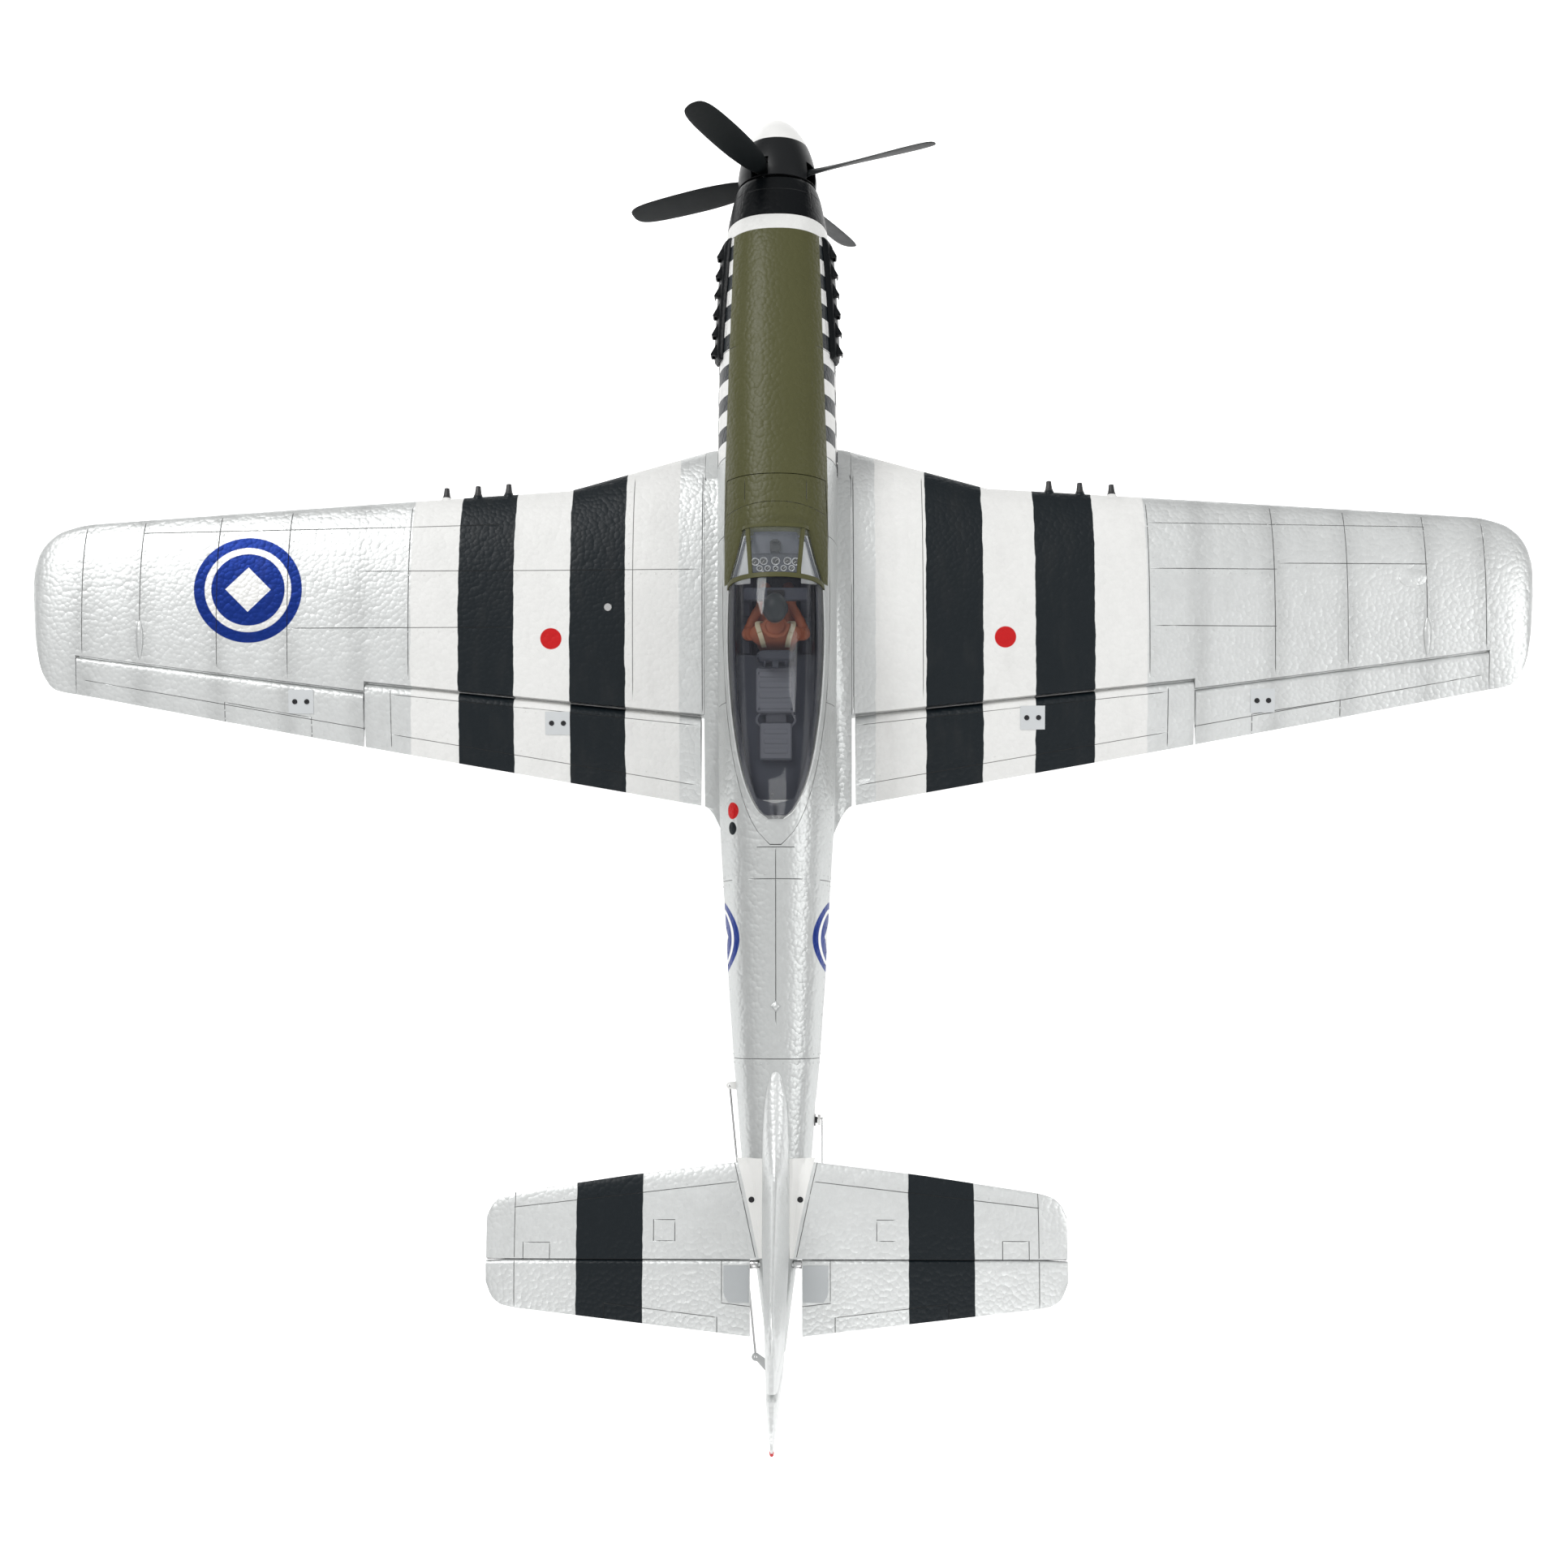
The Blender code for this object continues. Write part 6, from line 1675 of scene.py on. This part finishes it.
def head_part(centre, radii, n, m, tilt=0.0):
    """An ellipsoid placed from the middle of the head."""
    return ellipsoid(HEAD + Vector(centre), radii, n, m, tilt)


def pilot_head():
    face = make("pilot_face", head_part((0, 0.9, -0.8), (7.4, 8.6, 9.4), 40, 28), "skin",
                "hatch", sharp=60)
    # neck, nose, chin, lips, then cheeks and brows
    parts = [tube([(0, 120, 58), (0, 121.5, 66)], [5.0, 5.0], 20),
             head_part((0, 9.2, -1.4), (1.25, 1.9, 2.3), 18, 12, radians(14)),
             head_part((0, 7.0, -7.0), (3.6, 2.8, 2.2), 20, 12),
             head_part((0, 8.6, -4.6), (2.5, 0.9, 0.55), 18, 10),
             head_part((0, 8.3, -5.5), (2.1, 0.9, 0.6), 18, 10)]
    for s in (-1, 1):
        parts.append(head_part((s * 4.9, 5.6, -2.6), (2.0, 2.2, 2.2), 18, 12))
        parts.append(head_part((s * 3.0, 8.0, 1.7), (2.1, 1.0, 0.7), 16, 10))
    boolean(face, parts, "UNION", sharp=60)
    make("pilot_eyes", [head_part((s * 3.0, 8.05, 0.3), (1.35, 0.85, 0.8), 18, 12)
                        for s in (-1, 1)], "white", "hatch", sharp=60)
    make("pilot_pupils", [head_part((s * 3.0, 8.72, 0.3), (0.55, 0.3, 0.55), 14, 10)
                          for s in (-1, 1)], "dial", "hatch", sharp=60)


def pilot_helmet():
    helmet = make("pilot_helmet", head_part((0, -1.2, 0.8), (9.4, 11.4, 10.6), 56, 36),
                  "helmet", "hatch", sharp=60)
    boolean(helmet, [head_part((0, -0.6, 0.6), (7.9, 9.2, 9.6), 40, 28),
                     head_part((0, 12.5, -4.0), (5.9, 10.5, 8.2), 40, 28),
                     block(HEAD + vec(0, 5, -16.5), (30, 30, 14))], sharp=50)
    cup = [(0, 0), (4.1, 0), (4.1, 1.0), (3.4, 2.0), (1.6, 2.3), (0, 2.3)]
    parts = [revolve(cup, HEAD + vec(s * 7.6, -0.8, -2.4), (s, 0, 0), 32) for s in (-1, 1)]
    chin_strap = [(-8.4, 1, -6), (-6.6, 5.6, -9.2), (0, 7.4, -10.6), (6.6, 5.6, -9.2),
                  (8.4, 1, -6)]
    parts.append(tube(spline([HEAD + Vector(p) for p in chin_strap]), 0.8, 12))
    make("pilot_earcups", parts, "black", "hatch", sharp=45)


def pilot_hands():
    parts = []
    for s in (-1, 1):
        parts.append(ellipsoid((s * 8.6, 143, 33.4), (2.9, 3.6, 2.6), 22, 14))
        for k in range(4):
            finger = [(s * (6.6 + 1.25 * k), 144.5, 34.2), (s * (6.5 + 1.2 * k), 147.0, 33.0),
                      (s * (6.6 + 1.1 * k), 146.4, 30.8)]
            parts.append(tube(spline(finger, 4), 0.72, 10))
    make("pilot_gloves", parts, "helmet", "hatch", sharp=60)
    make("control_stick", [tube([(5.5, 146, 13), (6.8, 146, 29)], 0.9),
                           tube([(6.8, 146, 28), (7.0, 146, 36.5)], 1.5)], "black", "hatch")


pilot_torso()
pilot_collar()
pilot_straps()
pilot_head()
pilot_helmet()
pilot_hands()

# ------------------------------------------------------------------ tail surfaces
TAIL_TIP_XS = [198, 201, 204, 207, 209.5, 212, 214, 215.8, 217.2, 218]
FIN_ZS = ([22 + 2.0 * i for i in range(21)]
          + [64, 68, 74, 80, 88, 96, 104, 112, 120, 128, 134, 140, 144, 147, 149.5, 151.5, 153,
             154.5, 155.6, 156.4, 157])
RUDDER_ZS = [-3, -1.5, 0, 4, 8, 14, 20, 27, 34, 40, 50, 60, 70, 80, 90, 100, 110, 120, 130, 137,
             143, 147, 150, 152, 153.8, 155.2, 156.5]
# (y, z) lines
FIN_LINES = [[(-400, 62), (-331, 62)], [(-418, 62), (-418, 150)], [(-416, 132), (-382, 132)],
             [(-300, 48), (-414, 48)]]
RUDDER_LINES = [[(-474, 24), (-460, 24), (-460, 78), (-476, 78)], [(-444, 110), (-475, 110)],
                [(-444, 44), (-459, 44)]]


def taper(edge, hinge, r, m=8):
    """(y, half thickness) rows from the trailing edge towards the hinge."""
    return [(edge + (hinge - edge) * k / m, 0.8 + (r - 0.8) * (k / m) ** 0.85)
            for k in range(m)]


def elevator_ring(x):
    edge = (rounded if abs(x) > 192 else linear)(ELEVATOR_EDGE, abs(x), 1)
    r = 3.65 if abs(x) < 200 else 3.65 - 0.9 * (abs(x) - 200) / 18
    top = [vec(x, y, TAIL_Z + half) for y, half in taper(edge, ELEVATOR_HINGE, r)]
    nose = [vec(x, ELEVATOR_HINGE + r * sin(a), TAIL_Z + r * cos(a)) for a in HALF_TURN]
    return top + nose + [vec(x, p.y, 2 * TAIL_Z - p.z) for p in reversed(top)]


def rudder_ring(z):
    edge, r = rounded(RUDDER_EDGE, z, 1), linear(RUDDER_HALF, z, 1)
    right = [vec(half, y, z) for y, half in taper(edge, RUDDER_HINGE, r)]
    nose = [vec(r * cos(a), RUDDER_HINGE + r * sin(a), z) for a in HALF_TURN]
    return right + nose + [vec(-p.x, p.y, z) for p in reversed(right)]


def fin_ring(z, rear=-431.4):
    front = rounded(FIN_EDGE, z, 1)
    t, r = linear(FIN_HALF, z, 1), linear(RUDDER_HALF, z, 1)
    rows = []
    for c in cosine_steps(22):
        y = front - (front - rear) * c
        s = (front - y) / 62.0
        h = t * sqrt(max(0.0, 1 - (1 - min(1.0, s)) ** 2))
        h = min(h, t + (r - t) * min(1, max(0.0, (-350 - y) / 82.0)))
        rows.append((y, max(h, 0.0)))
    return [vec(h, y, z) for y, h in reversed(rows)] + [vec(-h, y, z) for y, h in rows[1:]]


def stab_top(x, y):
    front, rear = linear(STAB, abs(x), 1), linear(ELEVATOR_EDGE, abs(x), 1)
    chord = front - rear
    return TAIL_Z + tail_half(max(0.0, (front - y) / chord), STAB_THICKNESS, chord)


def elevator_top(x, y):
    edge = linear(ELEVATOR_EDGE, abs(x), 1)
    k = min(1.0, max(0.0, (y - edge) / (ELEVATOR_HINGE - edge)))
    return TAIL_Z + 0.8 + 2.85 * k ** 0.85


def tail_rivets(lines, top, step):
    return [dome(vec(x, y, top(x, y)), UP, 0.65, 0.28) for x, y in along_lines(lines, step)]


def stabilizer():
    right = ([30 * i / 3 for i in range(4)] + [30 + (194 - 30) * i / 20 for i in range(1, 21)]
             + TAIL_TIP_XS)
    xs = [-x for x in reversed(right[1:])] + right
    skin = make("stabilizer_skin", loft([stab_ring(x) for x in xs]), "tail", "airframe",
                "stabilizer")
    lines, rivets = [], []
    for s, x0, x1, front in ((-1, 170, 190, -350), (1, 169.4, 189.2, -348.5)):
        lines += [[(s * 196.5, -313.8), (s * 196.5, -361)],
                  [(s * 196.8, -324.2), (s * 29.0, -305.0)],
                  [(s * x0, -361.5), (s * x0, front), (s * x1, front), (s * x1, -361.5)]]
        rivets += tail_rivets([[(s * 193.5, -321.5), (s * 33, -303.0)],
                               [(s * 199.5, -318), (s * 199.5, -360)]], stab_top, 8.5)
    lines += [[(s * 31.4, -290), (s * 25.2, -316), (s * 15.5, -360)] for s in (-1, 1)]
    lines += [[(-91.8, -348.5), (-75.8, -348.5), (-75.8, -333), (-91.8, -333), (-91.8, -348.5)],
              [(90.3, -348.5), (75.5, -348.5), (75.5, -333), (90.3, -333)]]
    engrave(skin, lines, UP, width=0.85, depth=0.36, facing=0.2)
    # only the first two lines, both on the left, are cut underneath
    engrave(skin, lines[:2], DOWN, width=0.85, depth=0.36, facing=0.2)
    make("stabilizer_rivets", rivets, "tail", "airframe")


def elevator():
    """Two halves joined by a rod on the hinge line."""
    xs = ([19.5 + (200 - 19.5) * i / 26 for i in range(27)]
          + [203, 206, 208.5, 211, 213, 215, 216.8, 218])
    skin = make("elevator_skin", loft([elevator_ring(x) for x in xs]), "tail", "elevator",
                "elevator")
    rod = cylinder((-24, ELEVATOR_HINGE, TAIL_Z), (24, ELEVATOR_HINGE, TAIL_Z), 1.7)
    boolean(skin, [loft([elevator_ring(-x) for x in xs]), rod], "UNION")
    lines, rivets = [], []
    for s in (-1, 1):
        lines += [[(s * 196.5, -364), (s * 196.5, -397)],
                  [(s * 128.9, -405.5), (s * 128.9, -394.4), (s * 44.2, -404.5),
                   (s * 44.2, -416)],
                  [(s * 40.6, -363.5), (s * 40.6, -394), (s * 19.6, -396.5)]]
        rivets += tail_rivets([[(s * 127, -397.4), (s * 46, -407.0)],
                               [(s * 199.5, -366), (s * 199.5, -394)]], elevator_top, 7.0)
    engrave(skin, lines, UP, width=0.85, depth=0.36, facing=0.2)
    make("elevator_rivets", rivets, "tail", "elevator")


def elevator_root():
    """Root plates, a near-black strip in the hinge gap as painted shade, and the sleeves on the rod.
    """
    plates = []
    for s in (-1, 1):
        loops = []
        for y in dense([-366.5, -393.5], 3.5):
            t = (y + 366.5) / -27.0
            x0, x1 = 20.2, 39.2 - 15.0 * max(0.0, t - 0.80) / 0.2 * 0.25
            # x where the height is taken, x of the point, lift over the skin
            section = ((x0, x0, -0.4), (x0, x0, 0.35), (x0, x0 + 1, 0.55),
                       (x1, x1 - 1, 0.55), (x1, x1, 0.35), (x1, x1, -0.4))
            loops.append([vec(s * x, y, elevator_top(edge, y) + lift)
                          for edge, x, lift in section])
        plates.append(loft(loops))
    make("elevator_root_plates", plates, "plate", "elevator")
    # painted shade: a near-black strip standing in for the shadow in the hinge gap
    make("tail_hinge_strip", [block((s * 122, -362.0, TAIL_Z), (190, 0.5, 3.4))
                              for s in (-1, 1)], "dial", "airframe")
    sleeve = [(1.75, -3.0), (3.0, -3.0), (3.3, -2.4), (3.3, 2.4), (3.0, 3.0), (1.75, 3.0)]
    make("elevator_joiner_sleeves",
         [revolve(sleeve, (s * 16.4, ELEVATOR_HINGE, TAIL_Z), RIGHT, 28, ring=True)
          for s in (-1, 1)], "steel", "elevator")


def fin_and_rudder():
    fin = make("fin_skin", loft([fin_ring(z) for z in FIN_ZS]), "tail", "airframe", "fin")
    boolean(fin, [fuselage_solid(0.3, -170, -450, 5.0, 24),
                  loft([stab_ring(x, 0.3, rear=-362.1) for x in (-30, 0, 30)])])
    rudder = make("rudder_skin", loft([rudder_ring(z) for z in RUDDER_ZS]), "tail", "rudder",
                  "rudder")
    for view in (RIGHT, LEFT):
        engrave(fin, FIN_LINES, view, width=0.8, depth=0.32, facing=0.3)
        engrave(rudder, RUDDER_LINES, view, width=0.8, depth=0.3, facing=0.3)
    make("rudder_lamp", ellipsoid((0, -471.6, 146.5), (1.7, 2.6, 2.4), 26, 16), "red_lamp",
         "rudder", sharp=60)


def tail_fairings():
    """White fairings at the tail plane root, each with a screw."""
    fairings, screws = [], []
    profile = [(0, -0.5), (2.2, -0.5), (2.2, 0.3), (1.7, 0.75), (0.8, 0.85), (0.8, 0.3),
               (0, 0.3)]
    for s in (-1, 1):
        loops = []
        for i in range(26):
            t = i / 25
            y = -287.5 - 73.5 * t
            outer_x = 29.9 - 17.0 * t ** 0.85
            top = []
            for j in range(9):
                x = 10.0 + (outer_x - 10.0) * j / 8
                inside = x < curve(FUSELAGE, y, 1) - 0.2
                z = max(stab_top(x, min(y, -287.8 - 0.13 * x)), skin_z(y, x) if inside else -99)
                top.append(vec(s * x, y, z + (0.9 if 0 < j < 8 else 0.35)))
            loops.append(top + [vec(p.x, p.y, p.z - 1.7) for p in reversed(top)])
        fairings.append(loft(loops))
        z = max(stab_top(18.3, -318), skin_z(-318, 18.3)) + 0.9
        screws.append(revolve(profile, (s * 18.3, -318, z), UP, 20))
    make("tail_fairings", fairings, "white", "airframe")
    make("tail_fairing_screws", screws, "screw", "airframe")


stabilizer()
elevator()
elevator_root()
fin_and_rudder()
tail_fairings()

# ------------------------------------------------------------------ wheels
# tyre shoulder and half hub: radius over wheel radius, height over wheel width
TYRE = [(0.60, -0.36), (0.64, -0.43), (0.70, -0.475), (0.78, -0.50), (0.85, -0.495),
        (0.915, -0.455), (0.955, -0.40), (0.985, -0.325), (0.998, -0.25)]
HUB = [(0.22, -0.42), (0.24, -0.36), (0.26, -0.22), (0.50, -0.20), (0.545, -0.30),
       (0.575, -0.40), (0.61, -0.40)]


def wheel(name, centre, r, width, bore):
    """Tyre with five tread grooves, on a hub with five holes."""
    shoulder = [(p * r, q * width) for p, q in TYRE]
    depth = 0.6 * (width / 20.0)
    tread = []
    for i in range(5):
        a, b = -0.20 + 0.10 * i - 0.012, -0.20 + 0.10 * i + 0.012
        tread += [(r, (a - 0.012) * width), (r - depth, a * width), (r - depth, b * width),
                  (r, (b + 0.012) * width)]
    half = shoulder + tread
    profile = (half + [(p, -q) for p, q in reversed(shoulder)]
               + [(0.54 * r, 0.30 * width), (0.54 * r, -0.30 * width)])
    make(name + "_tyre", revolve(profile, centre, RIGHT, 96, ring=True), "tyre", name, name)
    half = [(bore, -0.42 * width)] + [(p * r, q * width) for p, q in HUB]
    profile = half + [(p, -q) for p, q in reversed(half)]
    hub = make(name + "_hub", revolve(profile, centre, RIGHT, 64, ring=True), "hub", name)
    holes = []
    for i in range(5):
        a = 2 * pi * i / 5
        p = Vector(centre) + vec(0, 0.385 * r * cos(a), 0.385 * r * sin(a))
        holes.append(cylinder(p - vec(width, 0, 0), p + vec(width, 0, 0), 0.075 * r, 20))
    boolean(hub, holes)


for side, tag in SIDES:
    wheel("wheel_" + tag, (side * 175.0, 205.0, -180.0), r=36.0, width=20.0, bore=2.4)
wheel("tail_wheel", (0, -330.0, -86.0), r=13.0, width=9.0, bore=1.6)

# ------------------------------------------------------------------ nodes shown as packed
case = plain("servo_case", (0.016, 0.016, 0.018), rough=0.4, vary=0.3, grain=1, packed=True)
arm = plain("servo_arm", (0.78, 0.78, 0.76), rough=0.35, vary=0.06, grain=0.6, packed=True)
rod_steel = plain("rod_steel", **STEEL, packed=True)
horn = plain("horn_pale", (0.50, 0.51, 0.51), rough=0.42, vary=0.08, grain=1, packed=True)
alloy = plain("alloy_turned", (0.70, 0.71, 0.73), rough=0.32, metal=1.0, vary=0.08, packed=True)
black_case = plain("case_black", (0.016, 0.016, 0.018), rough=0.45, vary=0.3, grain=1,
                   packed=True)
# by node name, or by the ending of the name where the key starts with an underscore
PACKED = {
    "_arm": arm, "_servo": case, "_rod": rod_steel, "_horn": horn,
    "battery_pack": plain("pack_wrap", (0.015, 0.03, 0.16), rough=0.3, coat=0.3, packed=True),
    "wing_spar_tube": plain("spar_carbon", (0.02, 0.02, 0.022), rough=0.3, coat=0.4,
                            packed=True),
    "motor_bell": alloy, "motor_stator": alloy, "gear_leg_left": alloy,
    "gear_leg_right": alloy, "tail_leg": alloy, "speed_controller": black_case,
    "receiver": black_case, "retract_unit_left": black_case, "retract_unit_right": black_case,
}
for name, obj in frame["nodes"].items():
    for key, material in PACKED.items():
        if name == key or (key[0] == "_" and name.endswith(key)):
            obj.data.materials.clear()
            obj.data.materials.append(material)
            break

for obj in list(bpy.data.objects):
    if obj.type == "MESH" and not obj.get("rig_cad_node"):
        stamp(obj)


# ------------------------------------------------------------------ floor, light, camera
def add_floor():
    mesh = bpy.data.meshes.new("floor")
    mesh.from_pydata([(-9, -9, 0), (9, -9, 0), (9, 9, 0), (-9, 9, 0)], [], [(0, 1, 2, 3)])
    floor = bpy.data.objects.new("floor", mesh)
    SCENE.collection.objects.link(floor)
    shader = new_shader("floor_paper")
    noise = shader.node("TexNoise", {"Scale": 3.0}, output="Fac")
    tone = noise.ramp(low=0.0, high=1.0, start=0.93, end=0.96, smooth=False)
    colour = shader.node("CombineColor", (tone, tone, tone))
    mesh.materials.append(shader.finish(
        Base_Color=colour, Roughness=0.9, Specular_IOR_Level=0.15, Emission_Color=colour,
        Emission_Strength=0.62))
    floor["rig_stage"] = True


def add_world():
    """White surroundings, brighter overhead."""
    SCENE.world = bpy.data.worlds.new("studio")
    shader = Shader(SCENE.world, "Background")
    height = shader.node("SeparateXYZ", [shader.node("TexCoord", output="Generated")], "Z")
    shader.finish(Color=(1.0, 1.0, 1.0),
                  Strength=height.ramp(low=0.05, high=0.95, start=0.22, end=0.70))


def add_light(name, place, target, energy, size_x, size_y):
    lamp = bpy.data.lights.new(name, "AREA")
    lamp.energy = energy
    lamp.shape = "RECTANGLE"
    lamp.size, lamp.size_y = size_x, size_y
    obj = bpy.data.objects.new(name, lamp)
    obj.location = place
    toward = Vector(target) - Vector(place)
    obj.rotation_euler = toward.to_track_quat("-Z", "Y").to_euler()
    SCENE.collection.objects.link(obj)


def add_camera():
    """Looks down on the aircraft from nearly straight above, nose up in the picture."""
    back, aside, distance = radians(7.0), radians(1.1), 1355.0
    target = Vector((5.5, 0, 0))
    toward = vec(sin(aside) * cos(back), -sin(back), cos(aside) * cos(back))
    turn = TO_ROW.to_3x3() * 1000.0
    z_axis = (turn @ toward).normalized()
    x_axis = (turn @ Vector(FORWARD)).normalized().cross(z_axis).normalized()
    y_axis = z_axis.cross(x_axis).normalized()
    data = bpy.data.cameras.new("photo_camera")
    data.lens, data.sensor_width = 39.32, 36.0
    data.clip_start, data.clip_end = 0.05, 50
    camera = bpy.data.objects.new("photo_camera", data)
    camera.matrix_world = Matrix(((*x_axis, 0), (*y_axis, 0), (*z_axis, 0),
                                  (0, 0, 0, 1))).transposed()
    camera.matrix_world.translation = TO_ROW @ (target + toward * distance)
    SCENE.collection.objects.link(camera)
    SCENE.camera = camera


add_floor()
add_world()
add_light("key", (-1.3, 1.1, 2.4), (0, 0, 0.1), energy=38, size_x=1.2, size_y=0.9)
add_light("fill", (1.9, -0.4, 1.8), (0, 0, 0.1), energy=14, size_x=1.2, size_y=1.0)
add_light("rim", (0.2, -2.2, 1.5), (0, 0, 0.15), energy=13, size_x=1.6, size_y=0.6)
SCENE.view_settings.view_transform = "Standard"
SCENE.view_settings.look = "None"
SCENE.view_settings.exposure = 0.0
add_camera()

VISUAL_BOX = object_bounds()


def plain_list(box):
    if hasattr(box[0], "__len__"):
        return [[float(x) for x in p] for p in box]
    return [float(x) for x in box]


{"cad": plain_list(CAD_BOX), "visual": plain_list(VISUAL_BOX)}
